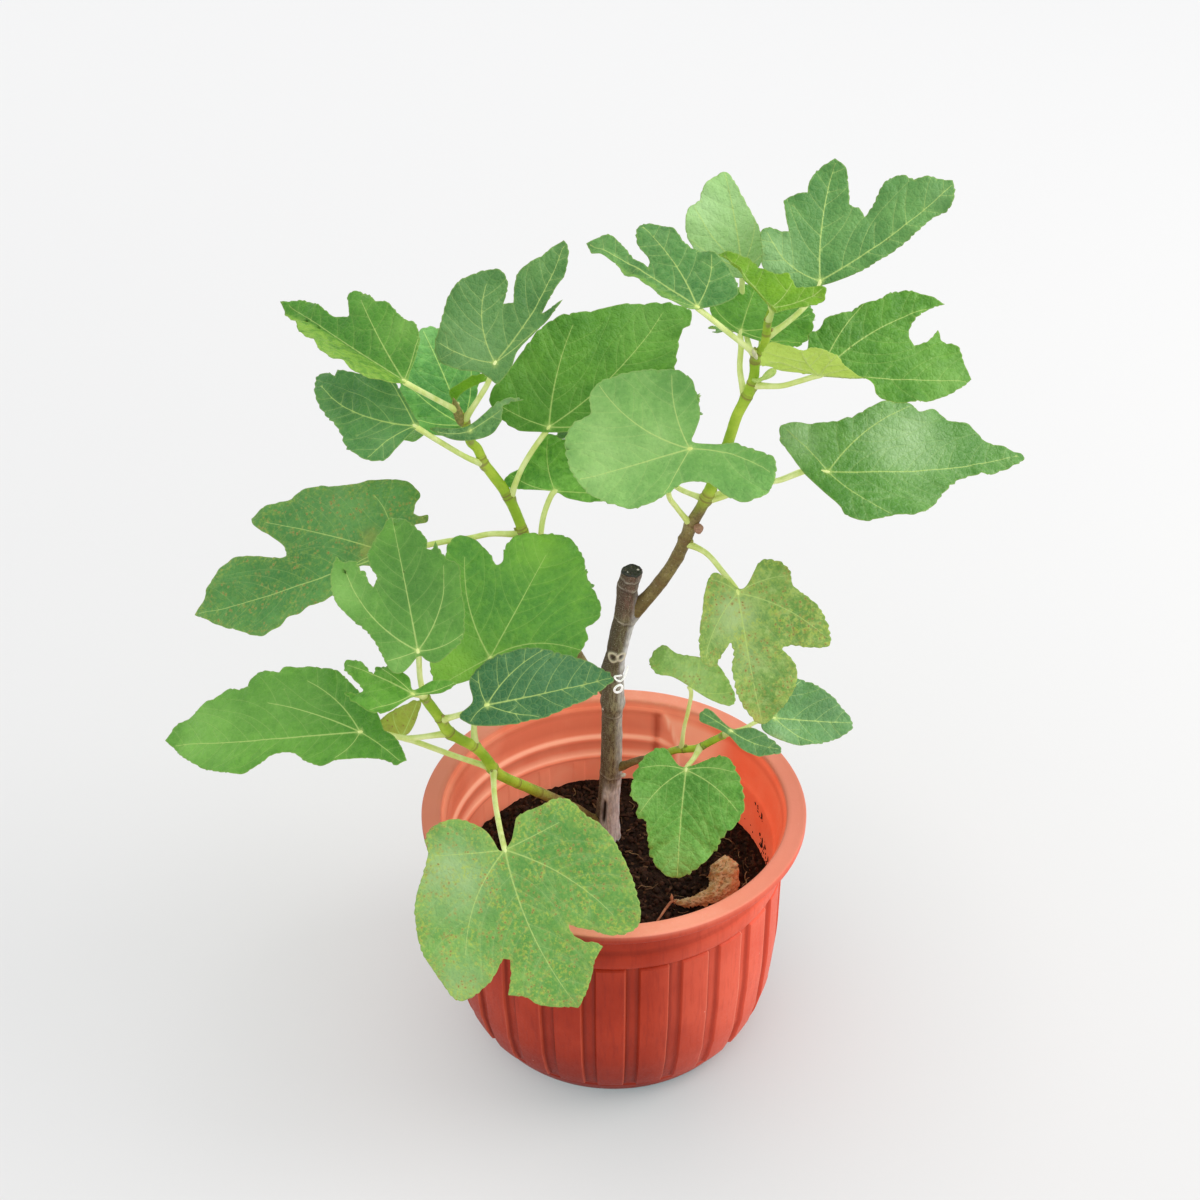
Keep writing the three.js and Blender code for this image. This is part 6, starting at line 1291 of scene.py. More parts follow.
def make_pot():
    pitch = 360.0 / PANELS
    half = pitch * PANEL_SHARE / 2
    # bearings: close together at the panels' edges, wider on their faces
    local = []
    e = 0.34
    for f in (-1.0, -0.72, -0.45, -0.15, 0.15, 0.45, 0.72, 1.0):
        local.append(f * (half - 2.2 * e))
    local = [-half - 1.3 * e, -half - 0.5 * e, -half + 0.3 * e, -half + 1.1 * e] + local + [half - 1.1 * e, half - 0.3 * e, half + 0.5 * e, half + 1.3 * e]
    gap = pitch / 2 - half
    local += [half + 1.3 * e + (2 * gap - 2.6 * e) * f for f in (0.33, 0.67)]
    raise_at = lambda x: smooth(half - np.abs(x), -1.1 * e, 1.3 * e)
    B, H, W, D = [], [], [], []
    for k in range(PANELS):
        for x in local:
            B.append(PANEL_TURN + k * pitch + x)
            xx = x if x <= pitch / 2 else x - pitch
            H.append(float(raise_at(np.array(xx))))
            # W: painted highlight along each panel's edges, mostly the right one
            W.append(math.exp(-((xx - half + 1.0 * e) / (1.3 * e)) ** 2) + 0.35 * math.exp(-((xx + half - 1.0 * e) / (1.2 * e)) ** 2))
            # D: painted shadow along the sides of each groove
            D.append(math.exp(-((xx - half - 1.2 * e) / (1.6 * e)) ** 2) + 0.9 * math.exp(-((xx + half + 1.2 * e) / (1.6 * e)) ** 2))
    B, H, W, D = np.radians(np.array(B)), np.array(H), np.array(W), np.array(D)
    n = len(B)
    cb, sb = np.cos(B), np.sin(B)
    rows, lip_sheen_and_dust, painted_groove_shade, inner_of, painted_edge_highlight, painted_light_and_shade = [], [], [], [], [], []

    def add(z, r, f, g=0.0, w=0.0, edge=0.0, painted_lines=0.0):
        painted_light_and_shade.append(np.full(n, painted_lines) if np.isscalar(painted_lines) else painted_lines)
        inner_of.append(np.full(n, w))
        painted_edge_highlight.append(np.full(n, edge) if np.isscalar(edge) else edge)
        r = np.full(n, r) if np.isscalar(r) else r
        z = np.full(n, z) if np.isscalar(z) else z
        rows.append(np.stack([r * cb, r * sb, z], 1))
        lip_sheen_and_dust.append(np.full(n, f) if np.isscalar(f) else f)
        painted_groove_shade.append(np.full(n, g) if np.isscalar(g) else g)

    # inside: stepped rings over the left and the back, plain over the right
    deg = (np.degrees(B) - CORNER + 180) % 360 - 180
    lead = -deg

    def wedge(z):
        """How far over the wall has gone to the plain side, and the inset fold beyond the corner."""
        drop = min(1.0, max(0.0, (184.0 - z) / 27.0))
        e = 1.2 + 7.5 * drop
        share = np.where(deg > 0, smooth(deg, 172, 178), np.clip(lead / e, 0, 1))
        fold = np.where(deg > 0, 0.0, np.clip(lead / e, 0, 1) * (1 - smooth(lead, e + 8, e + 30)))
        return share, 4.6 * drop * fold * (1 - float(smooth(150.0 - z, 0, 24)))

    def inner(z, step_r, plain_r, f=1.0):
        share, fold = wedge(z)
        # painted highlights along the ring steps, painted shade under them, and painted shade under the lip
        line = 0.95 * math.exp(-((z - 158.4) / 1.4) ** 2) + 0.85 * math.exp(-((z - 142.6) / 1.3) ** 2) - 0.5 * math.exp(-((z - 152.0) / 3.4) ** 2)
        line -= 0.6 * math.exp(-((z - 139.6) / 1.0) ** 2) + 0.3 * math.exp(-((z - 172.0) / 6.0) ** 2)
        painted_lines = (1 - share) * line - 0.55 * math.exp(-((z - 182.3) / 1.4) ** 2)
        # the moulded corner in painted light and shade: a painted dark crease, a facet, a painted highlight on its
        # slanting edge, then a plain face painted lighter
        e = 1.2 + 7.5 * min(1.0, max(0.0, (184.0 - z) / 27.0))
        face = 0.95 * np.exp(-((lead - e) / 1.0) ** 2) + 0.42 * smooth(lead, e, e + 2) * (1 - smooth(lead, 20, 32))
        here = float(smooth(z, 136, 144)) * (1 - float(smooth(z, 181, 184.5)))
        painted_lines = painted_lines + here * (face - 0.9 * np.exp(-((lead + 1.7) / 1.4) ** 2))
        add(z, step_r * (1 - share) + plain_r * share - fold, f, 0.0, 1.0 - float(smooth(z, 186.0, 189.5)), 0.0, painted_lines)

    # floor of the inside, up the wall to the mouth
    for z, r in ((FLOOR + 0.4, 1.0), (FLOOR + 0.2, 60.0), (FLOOR + 0.6, 95.0), (8.0, 98.6), (25, 105.0), (45, 111.6)):
        add(z, r, 0.6, 0.0, 1.0)
    rib = 0.9 * H
    for z in (70, 95, 108, 116, 120, 124, 130, 136):
        r = float(np.interp(z, [45, 120, 176], [111.6, 115.6, 117.2]))
        share, fold = wedge(z)
        add(z, (r + rib) * (1 - share) + (r - 0.2) * share, 0.8, 0.0, 1.0)
    inner(138.4, 116.5, 116.2)
    inner(139.6, 116.7, 116.3)
    inner(140.8, 117.4, 116.3)
    inner(142.0, 118.8, 116.4)
    inner(143.6, 119.6, 116.5)
    inner(148.0, 119.9, 116.7)
    inner(154.0, 119.2, 116.9)
    inner(156.2, 119.0, 117.1)
    inner(157.6, 119.6, 117.6)
    inner(158.8, 120.9, 118.4)
    inner(161.0, 121.6, 119.4)
    inner(168.0, 121.8, 120.8)
    inner(178.0, 121.5, 122.2)
    inner(181.5, 121.6, 123.0)
    inner(183.2, 122.4, 123.6)
    inner(184.8, 125.0, 124.6)
    inner(186.4, 125.5, 125.2)
    inner(188.2, 125.9, 125.8)
    inner(189.2, 126.6, 126.6)
    inner(189.7, 127.6, 127.6)
    inner(189.6, 130.0, 130.0)
    inner(189.5, 134.0, 134.0)
    inner(189.7, 137.4, 137.4)
    # the lip's outer bead: the third number paints it paler, partly dust, partly painted sheen
    add(189.9, 138.6, 1.0)
    add(189.6, 139.6, 0.9)
    add(188.6, 140.0, 0.3)
    add(186.0, 140.0, 0.05)
    add(184.2, 139.9, 0.0)
    for z, r, kind in pot_rows():
        # panels: painted shade in the grooves and along their sides, painted highlight on the edges; collar: painted
        # shade under the lip and at its step, a painted highlight on the ledge below
        if kind:
            up = (PANEL_STEP + 0.7) * H * smooth(z, PANEL_BOTTOM - 0.2, PANEL_BOTTOM + 1.4) * smooth(PANEL_TOP + 0.6 - z, 0, 1.6)
            add(z, r + up, 0.0, np.clip((1 - H) * 0.42 + 0.8 * D, 0, 1), 0.0, W)
        else:
            add(z, r, 0.0, 0.75 * math.exp(-((z - 158.5) / 1.6) ** 2) + 0.4 * smooth(z, 160, 176), 0.0, 0.5 * math.exp(-((z - 153.5) / 1.4) ** 2))
    add(0.0, 96.0, 0.0)
    add(0.35, 95.0, 0.0)
    add(2.2, 94.0, 0.0)
    add(2.4, 60.0, 0.0)
    add(2.4, 1.0, 0.0)
    m = len(rows)
    verts = np.vstack(rows)
    i = np.arange(m - 1)[:, None] * n
    k = np.arange(n)[None, :]
    kn = (k + 1) % n
    a, b, c, d = i + k, i + kn, i + kn + n, i + k + n
    tris = np.concatenate([np.stack([a, d, c], -1).reshape(-1, 3), np.stack([a, c, b], -1).reshape(-1, 3)])
    v0, v1 = len(verts), len(verts) + 1
    verts = np.vstack([verts, [[0, 0, FLOOR + 0.4]], [[0, 0, 2.4]]])
    k = np.arange(n)
    kn = (k + 1) % n
    tris = np.vstack([tris, np.stack([np.full(n, v0), k, kn], -1), np.stack([np.full(n, v1), (m - 1) * n + kn, (m - 1) * n + k], -1)])
    lip_sheen_and_dust = np.concatenate(lip_sheen_and_dust + [[0.6, 0.0]])
    inner_of = np.concatenate(inner_of + [[1.0, 0.0]])
    where = np.degrees(np.arctan2(verts[:, 1], verts[:, 0]))
    # painted glow: the inside wall on the right is painted brighter, as if the sun came through it
    painted_glow_right = smooth(50 - np.abs(where - 12), 0, 30)
    painted_groove_shade = np.concatenate(painted_groove_shade + [[0.0, 0.0]])
    painted_edge_highlight = np.concatenate(painted_edge_highlight + [[0.0, 0.0]])
    painted_light_and_shade = np.concatenate(painted_light_and_shade + [[0.0, 0.0]])
    # painted light: the outside is painted brighter towards the right front, as if lit from there, and darker round the
    # rest; the painted sheen on the lip is weaker at its left and right ends; painted shade towards the foot, less at
    # the sides
    painted_sunlit = np.clip((np.cos(np.radians(where + 22.0)) - 0.56) / 0.44, 0, 1)
    side = np.cos(np.radians(where)) ** 2
    low = (1 - smooth(verts[:, 2], 20, 85)) * (1 - 0.6 * side)
    # moulded plastic is never quite true
    ang = np.arctan2(verts[:, 1], verts[:, 0])
    rr = np.hypot(verts[:, 0], verts[:, 1])
    off = (0.35 * np.sin(2 * ang + 0.7) + 0.2 * np.sin(5 * ang + 2)) * smooth(verts[:, 2], 20, 185) * (rr > 90)
    verts[:, 0] += off * np.cos(ang)
    verts[:, 1] += off * np.sin(ang)
    o = mesh_object("ribbed_pot", verts, tris, [pot_material()], None, {"lip_sheen_and_dust": lip_sheen_and_dust, "painted_groove_shade": painted_groove_shade, "inner": inner_of, "painted_glow_right": painted_glow_right, "painted_edge_highlight": painted_edge_highlight,
                     "lit": np.clip(painted_light_and_shade, 0, 1), "dim": np.clip(-painted_light_and_shade, 0, 1), "painted_sunlit": painted_sunlit, "side": side, "low": low})
    cut_drains(o)
    o.data.set_sharp_from_angle(angle=math.radians(32)) if hasattr(o.data, "set_sharp_from_angle") else None
    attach(o, "root")
    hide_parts("pot")
    return o


def cut_drains(o):
    """Drain holes through the floor."""
    for k in range(DRAINS):
        a = 2 * math.pi * (k + 0.25) / DRAINS
        bpy.ops.mesh.primitive_cylinder_add(vertices=28, radius=5 * MM, depth=30 * MM, location=(DRAIN_CIRCLE * MM * math.cos(a), DRAIN_CIRCLE * MM * math.sin(a), 3 * MM))
        tool = bpy.context.object
        m = o.modifiers.new("drain", "BOOLEAN")
        m.operation, m.object, m.solver = "DIFFERENCE", tool, "EXACT"
        bpy.context.view_layer.objects.active = o
        bpy.ops.object.modifier_apply(modifier=m.name)
        bpy.data.objects.remove(tool)


def pot_material():
    """Terracotta-red plastic: deep outside, in painted light and shade; paler inside, where it glows with painted
    light, as if lit through the wall.
    """
    p = Paint("pot_plastic", Roughness=0.42, Specular_IOR_Level=0.2)
    v = p.coord(1.0)
    slow = p.noise(v, 0.02, 3.0)
    fine = p.noise(v, 0.5, 4.0, 0.65)
    streak = p.noise(p.coord((1.0, 1.0, 0.12)), 0.35, 4.0, 0.6)
    painted_sunlit = p.attr("painted_sunlit")
    # tone: a shaded and a lit copy of each colour, mixed by the painted light from the right front
    tone = lambda shade, sunny: p.mix(painted_sunlit, lin(shade), lin(sunny))
    body = p.mix(p.ramp(slow, 0.35, 0.65), tone((166, 46, 20), (236, 94, 66)), tone((182, 56, 28), (244, 106, 78)))
    body = p.mix(p.ramp(streak, 0.45, 0.7, 0.0, 0.35), body, tone((138, 34, 20), (214, 76, 52)))
    # painted shade in the grooves
    body = p.mix(p.ramp(p.attr("painted_groove_shade"), 0.1, 1.0, 0.0, 0.62), body, tone((128, 36, 16), (184, 64, 44)))
    # painted shade towards the foot
    body = p.mix(p.math("MULTIPLY", p.attr("low"), 0.5), body, tone((112, 20, 8), (200, 66, 44)))
    # painted highlight on the panels' edges
    painted_edge_highlight = p.math("MULTIPLY", p.ramp(p.attr("painted_edge_highlight"), 0.25, 1.0), p.ramp(streak, 0.3, 0.6, 0.35, 0.75))
    body = p.mix(painted_edge_highlight, body, tone((212, 92, 64), (252, 160, 132)))
    # the lip: paler, partly dust, partly painted sheen; the painted sheen is weaker at the left and right ends
    pale = p.mix(p.ramp(slow, 0.35, 0.65), lin((250, 150, 122)), lin((255, 164, 138)))
    pale = p.mix(p.ramp(fine, 0.5, 0.75, 0.0, 0.25), pale, lin((255, 196, 174)))
    pale = p.mix(p.math("MULTIPLY", p.attr("side"), 0.85), pale, lin((222, 128, 106)))
    warm = p.mix(p.ramp(slow, 0.35, 0.65), lin((230, 124, 94), POT_TONE), lin((238, 142, 112), POT_TONE))
    painted_glow_right = p.mix(p.ramp(slow, 0.35, 0.65), lin((248, 98, 64), POT_TONE), lin((252, 114, 80), POT_TONE))
    inner = p.mix(p.attr("painted_glow_right"), warm, painted_glow_right)
    # painted shade and painted highlights on the inside's rings and the moulded corner
    inner = p.mix(p.math("MULTIPLY", p.attr("dim"), 0.85), inner, lin((160, 62, 40)))
    inner = p.mix(p.math("MULTIPLY", p.attr("lit"), 0.85), inner, lin((255, 188, 160)))
    col = p.mix(p.attr("lip_sheen_and_dust"), body, pale)
    col = p.mix(p.attr("inner"), col, inner)
    specks = p.cells(v, 0.05, "F1")
    col = p.mix(p.ramp(specks.outputs["Distance"], 0.02, 0.04, 0.5, 0.0), col, lin((236, 170, 150)))
    p.colour(col)
    # painted glow: the inside emits light of its own colour, standing in for the sun coming through the wall
    p.t.links.new(inner, p.bsdf.inputs["Emission Color"])
    through = p.math("MULTIPLY", p.attr("inner"), p.math("ADD", 0.39, p.math("MULTIPLY", p.attr("painted_glow_right"), 0.02)))
    p.t.links.new(through, p.bsdf.inputs["Emission Strength"])
    p.rough(p.ramp(fine, 0.3, 0.7, 0.38, 0.54))
    p.normal(p.bump(p.math("ADD", streak, p.math("MULTIPLY", fine, 0.4)), 0.12, 0.001))
    return p.m


POT_TONE = 0.92


# ------------------------------------------------------------------ soil
def soil_height(x, y):
    """Height of the soil's surface: clods, hollows and a slight dish."""
    q = np.stack([x, y, np.zeros_like(x)], 1)
    r = np.hypot(x, y)
    big = fractal(q, 1 / 34.0, 3, 3.0)
    mid = fractal(q, 1 / 9.0, 3, 11.0)
    small = fractal(q, 1 / 3.2, 2, 29.0)
    h = SOIL_TOP - 1.4 + 2.4 * big + 2.6 * np.abs(mid) + 1.3 * small
    return np.minimum(h - 1.5 * smooth(r, 95, 115) + 1.2, SOIL_TOP + 5.0)


def soil_material():
    p = Paint("potting_mix", Roughness=0.95, Specular_IOR_Level=0.15)
    v = p.coord(1.0)
    slow = p.noise(v, 0.05, 3.0)
    fine = p.noise(v, 0.6, 5.0, 0.7)
    col = p.mix(p.ramp(slow, 0.35, 0.65), lin((44, 30, 26), EXPOSURE), lin((66, 46, 36), EXPOSURE))
    col = p.mix(p.ramp(fine, 0.45, 0.62, 0.0, 0.8), col, lin((26, 18, 18), EXPOSURE))
    chips = p.cells(v, 0.22, "F1")
    pick = p.put("ShaderNodeSeparateColor")
    p.t.links.new(chips.outputs["Color"], pick.inputs[0])
    keep = p.math("LESS_THAN", pick.outputs[0], 0.22)
    spot = p.math("MULTIPLY", p.ramp(chips.outputs["Distance"], 0.25, 0.4, 1.0, 0.0), keep)
    col = p.mix(spot, col, lin((98, 66, 48), EXPOSURE))
    p.colour(col)
    p.normal(p.bump(p.math("ADD", fine, p.noise(v, 1.8, 3.0, 0.7)), 0.9, 0.0015))
    return p.m


def make_soil():
    rng = np.random.default_rng(77)
    rings, sides = 62, 250
    R = 115.4 * (np.arange(1, rings + 1) / rings) ** 0.85
    a = np.linspace(0, 2 * math.pi, sides, endpoint=False)
    X = [np.zeros(1)]
    Y = [np.zeros(1)]
    for r in R:
        X.append(r * np.cos(a))
        Y.append(r * np.sin(a))
    X, Y = np.concatenate(X), np.concatenate(Y)
    Z = soil_height(X, Y)
    top = np.stack([X, Y, Z], 1)
    f = [[0, 1 + k, 1 + (k + 1) % sides] for k in range(sides)]
    f = np.array(f)
    i = 1 + np.arange(rings - 1)[:, None] * sides
    k = np.arange(sides)[None, :]
    kn = (k + 1) % sides
    q = np.concatenate([np.stack([i + k, i + k + sides, i + kn + sides], -1).reshape(-1, 3), np.stack([i + k, i + kn + sides, i + kn], -1).reshape(-1, 3)])
    base = len(top)
    lows = [(111.0, 95.0), (105.0, 45.0), (97.5, 8.0), (96.0, FLOOR + 1.0)]
    extra = [np.stack([r * np.cos(a), r * np.sin(a), np.full(sides, z)], 1) for r, z in lows]
    verts = np.vstack([top] + extra + [[[0, 0, FLOOR + 1.0]]])
    faces = [f, q]
    last = 1 + (rings - 1) * sides
    prev = last
    for j in range(len(lows)):
        cur = base + j * sides
        kk = np.arange(sides)
        kn1 = (kk + 1) % sides
        faces.append(np.stack([prev + kk, cur + kk, cur + kn1], -1))
        faces.append(np.stack([prev + kk, cur + kn1, prev + kn1], -1))
        prev = cur
    kk = np.arange(sides)
    faces.append(np.stack([np.full(sides, len(verts) - 1), prev + (kk + 1) % sides, prev + kk], -1))
    mat = soil_material()
    o = mesh_object("potting_mix", verts, np.vstack(faces), [mat])
    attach(o, "root")
    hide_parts("soil")

    # loose crumbs, bark chips and root fibres on the surface
    crumb, chip, fibre = [], [], []
    unit_v, unit_f = ball(1.0, 4, 6)
    for k in range(2300):
        r = 113.0 * math.sqrt(rng.uniform(0, 1))
        t = rng.uniform(0, 2 * math.pi)
        x, y = r * math.cos(t), r * math.sin(t)
        if (x + 5) ** 2 + (y - 46) ** 2 < 90:
            continue
        size = rng.uniform(0.9, 2.6) * (1.4 if rng.uniform() < 0.12 else 1.0)
        if math.hypot(x, y) > 114.5 - size:
            continue
        z = float(soil_height(np.array([x]), np.array([y]))[0])
        sc = size * rng.uniform(0.6, 1.2, 3)
        v = unit_v * sc * (1 + rng.uniform(-0.22, 0.22, (len(unit_v), 1)))
        c, s_ = math.cos(t * 7), math.sin(t * 7)
        v = v @ np.array([[c, -s_, 0], [s_, c, 0], [0, 0, 1]])
        crumb.append((v + [x, y, z + sc[2] * 0.25], unit_f, 0, {"tone": rng.uniform()}))
    for k in range(230):
        r = 108.0 * math.sqrt(rng.uniform(0, 1))
        t = rng.uniform(0, 2 * math.pi)
        x, y = r * math.cos(t), r * math.sin(t)
        if (x + 5) ** 2 + (y - 46) ** 2 < 130:
            continue
        z = float(soil_height(np.array([x]), np.array([y]))[0])
        L, W, H = rng.uniform(3.5, 9.0), rng.uniform(1.2, 2.6), rng.uniform(0.5, 1.0)
        c = np.array([[sx * L / 2, sy * W / 2 * (0.6 + 0.4 * (sx > 0)), sz * H / 2] for sx in (-1, 0, 1) for sy in (-1, 1) for sz in (-1, 1)], float)
        c[:, 2] += 0.5 * np.cos(c[:, 0] / L * math.pi) + rng.uniform(-0.15, 0.15, len(c))
        f = []
        for j in (0, 1):
            b = j * 4
            f += [[b, b + 4, b + 6], [b, b + 6, b + 2], [b + 1, b + 3, b + 7], [b + 1, b + 7, b + 5],
                  [b, b + 1, b + 5], [b, b + 5, b + 4], [b + 2, b + 6, b + 7], [b + 2, b + 7, b + 3]]
        f += [[0, 2, 3], [0, 3, 1], [8, 9, 11], [8, 11, 10]]
        yaw, pitch = rng.uniform(0, 6.28), rng.uniform(-0.5, 0.5)
        Rz = np.array([[math.cos(yaw), -math.sin(yaw), 0], [math.sin(yaw), math.cos(yaw), 0], [0, 0, 1]])
        Ry = np.array([[math.cos(pitch), 0, math.sin(pitch)], [0, 1, 0], [-math.sin(pitch), 0, math.cos(pitch)]])
        v = c @ Ry.T @ Rz.T + [x, y, z + 0.9]
        v[:, :2] *= np.minimum(1.0, 114.0 / np.maximum(np.hypot(v[:, 0], v[:, 1]), 1e-6))[:, None]
        chip.append((v, np.array(f), 0, {"tone": rng.uniform() ** 2 * (0.55 + 0.45 * (y > 40))}))
    for k in range(60):
        r = 104.0 * math.sqrt(rng.uniform(0, 1))
        t = rng.uniform(0, 2 * math.pi)
        x, y = r * math.cos(t), r * math.sin(t)
        if (x + 5) ** 2 + (y - 46) ** 2 < 160:
            continue
        h = rng.uniform(0, 6.28)
        pts = [[x, y]]
        for j in range(4):
            h += rng.uniform(-0.7, 0.7)
            pts.append([pts[-1][0] + 3.2 * math.cos(h), pts[-1][1] + 3.2 * math.sin(h)])
        pts = np.array(pts)
        rad = np.hypot(pts[:, 0], pts[:, 1])
        if rad.max() > 112:
            continue
        zz = soil_height(pts[:, 0], pts[:, 1]) + 1.0 + rng.uniform(0, 1.2, len(pts))
        path = spline(np.column_stack([pts, zz]), 1.3)
        v, f, _, _ = sweep(path, np.full(len(path), rng.uniform(0.22, 0.42)), 5)
        fibre.append((v, f, 0, {"tone": rng.uniform()}))
    for name, parts, mat in (
        ("soil_crumbs", crumb, tone_material("soil_crumb", (40, 28, 24), (78, 52, 40), 0.9)),
        ("bark_chips", chip, tone_material("bark_chip", (66, 42, 32), (150, 116, 86), 0.85)),
        ("root_fibres", fibre, tone_material("root_fibre", (92, 68, 50), (176, 146, 110), 0.8)),
    ):
        piece = joined(name, parts, [mat])
        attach(piece, "root")


def tone_material(name, dark, light, rough):
    p = Paint(name, Roughness=rough, Specular_IOR_Level=0.2)
    v = p.coord(1.0)
    n = p.noise(v, 0.9, 4.0, 0.65)
    col = p.mix(p.attr("tone"), lin(dark, EXPOSURE), lin(light, EXPOSURE))
    col = p.mix(p.ramp(n, 0.4, 0.65, 0.0, 0.5), col, lin(tuple(c * 0.6 for c in dark), EXPOSURE))
    p.colour(col)
    p.normal(p.bump(n, 0.6, 0.0008))
    return p.m


# ------------------------------------------------------------------ small pieces
def make_splashes():
    """Streaks and specks of soil dried onto the inside of the pot, at the right."""
    rng = np.random.default_rng(5)
    uv_, uf = ball(1.0, 4, 7)
    parts = []
    # [bearing, height, how many, how wide, how high]
    for b0, z0, count, wide, high in ((21, 151, 5, 0.9, 2.0), (18, 147, 4, 0.8, 1.5), (12, 127, 30, 4.5, 4.0), (3, 123, 16, 5.0, 2.4), (25, 130, 3, 2.0, 3.0), (-6, 139, 1, 1.0, 1.0), (34, 146, 1, 2.0, 4.0), (-20, 124, 4, 8.0, 1.5)):
        for k in range(count):
            b = math.radians(b0 + rng.normal(0, wide))
            z = z0 + rng.normal(0, high)
            if not 119 < z < 172:
                continue
            r = float(np.interp(z, [120, 160, 178], [115.3, 117.3, 121.0]))
            c = np.array([r * math.cos(b), r * math.sin(b), z])
            out = -np.array([math.cos(b), math.sin(b), 0.0])
            x = np.array([-math.sin(b), math.cos(b), 0.0])
            size = 0.55 + 2.4 * rng.uniform() ** 3
            sc = np.array([size * rng.uniform(0.6, 1.5), size * rng.uniform(0.7, 1.9), 0.3])
            v = uv_ * sc * (1 + rng.uniform(-0.3, 0.3, (len(uv_), 1)))
            parts.append((c + np.outer(v[:, 0], x) + np.outer(v[:, 1] + 0.3 * v[:, 0], [0, 0, 1]) + np.outer(v[:, 2], out), uf, 0, {"tone": rng.uniform()}))
    o = joined("soil_splashes", parts, [tone_material("dried_soil", (40, 26, 22), (82, 50, 38), 0.9)])
    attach(o, "root")


def make_tie():
    """A bare white wire tie on the trunk: a loop and a hooked end."""
    parts = []
    a = np.linspace(0, 2 * math.pi, 26, endpoint=False)
    x, z = np.array([0.97, 0.2, 0.12]), np.array([0.10, -0.10, 0.98])
    loop = np.array([2.9, 27.9, 273.6]) + np.outer(2.9 * np.cos(a), x) + np.outer(3.5 * np.sin(a) * (1 + 0.12 * np.cos(a)), z)
    v, f = ring_tube(loop, 0.85, 8)
    parts.append((v, f, 0, {}))
    hook = spline([[9.6, 30.6, 292.0], [8.8, 29.4, 288.4], [7.0, 28.0, 283.6], [4.6, 27.6, 280.8], [1.6, 27.8, 281.6], [0.2, 28.2, 284.4], [2.6, 28.0, 285.0], [5.4, 28.0, 285.6]], 0.8)
    v, f, _, _ = sweep(hook, np.full(len(hook), 0.7), 8)
    parts.append((v, f, 0, {}))
    coat = Paint("tie_coating", Roughness=0.4)
    coat.bsdf.inputs["Base Color"].default_value = lin((250, 251, 252))
    # painted light: the white coating glows a little so it stays white in the shade of the trunk
    coat.bsdf.inputs["Emission Color"].default_value = lin((250, 251, 252))
    coat.bsdf.inputs["Emission Strength"].default_value = 0.35
    o = joined("wire_tie", parts, [coat.m])
    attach(o, "root")


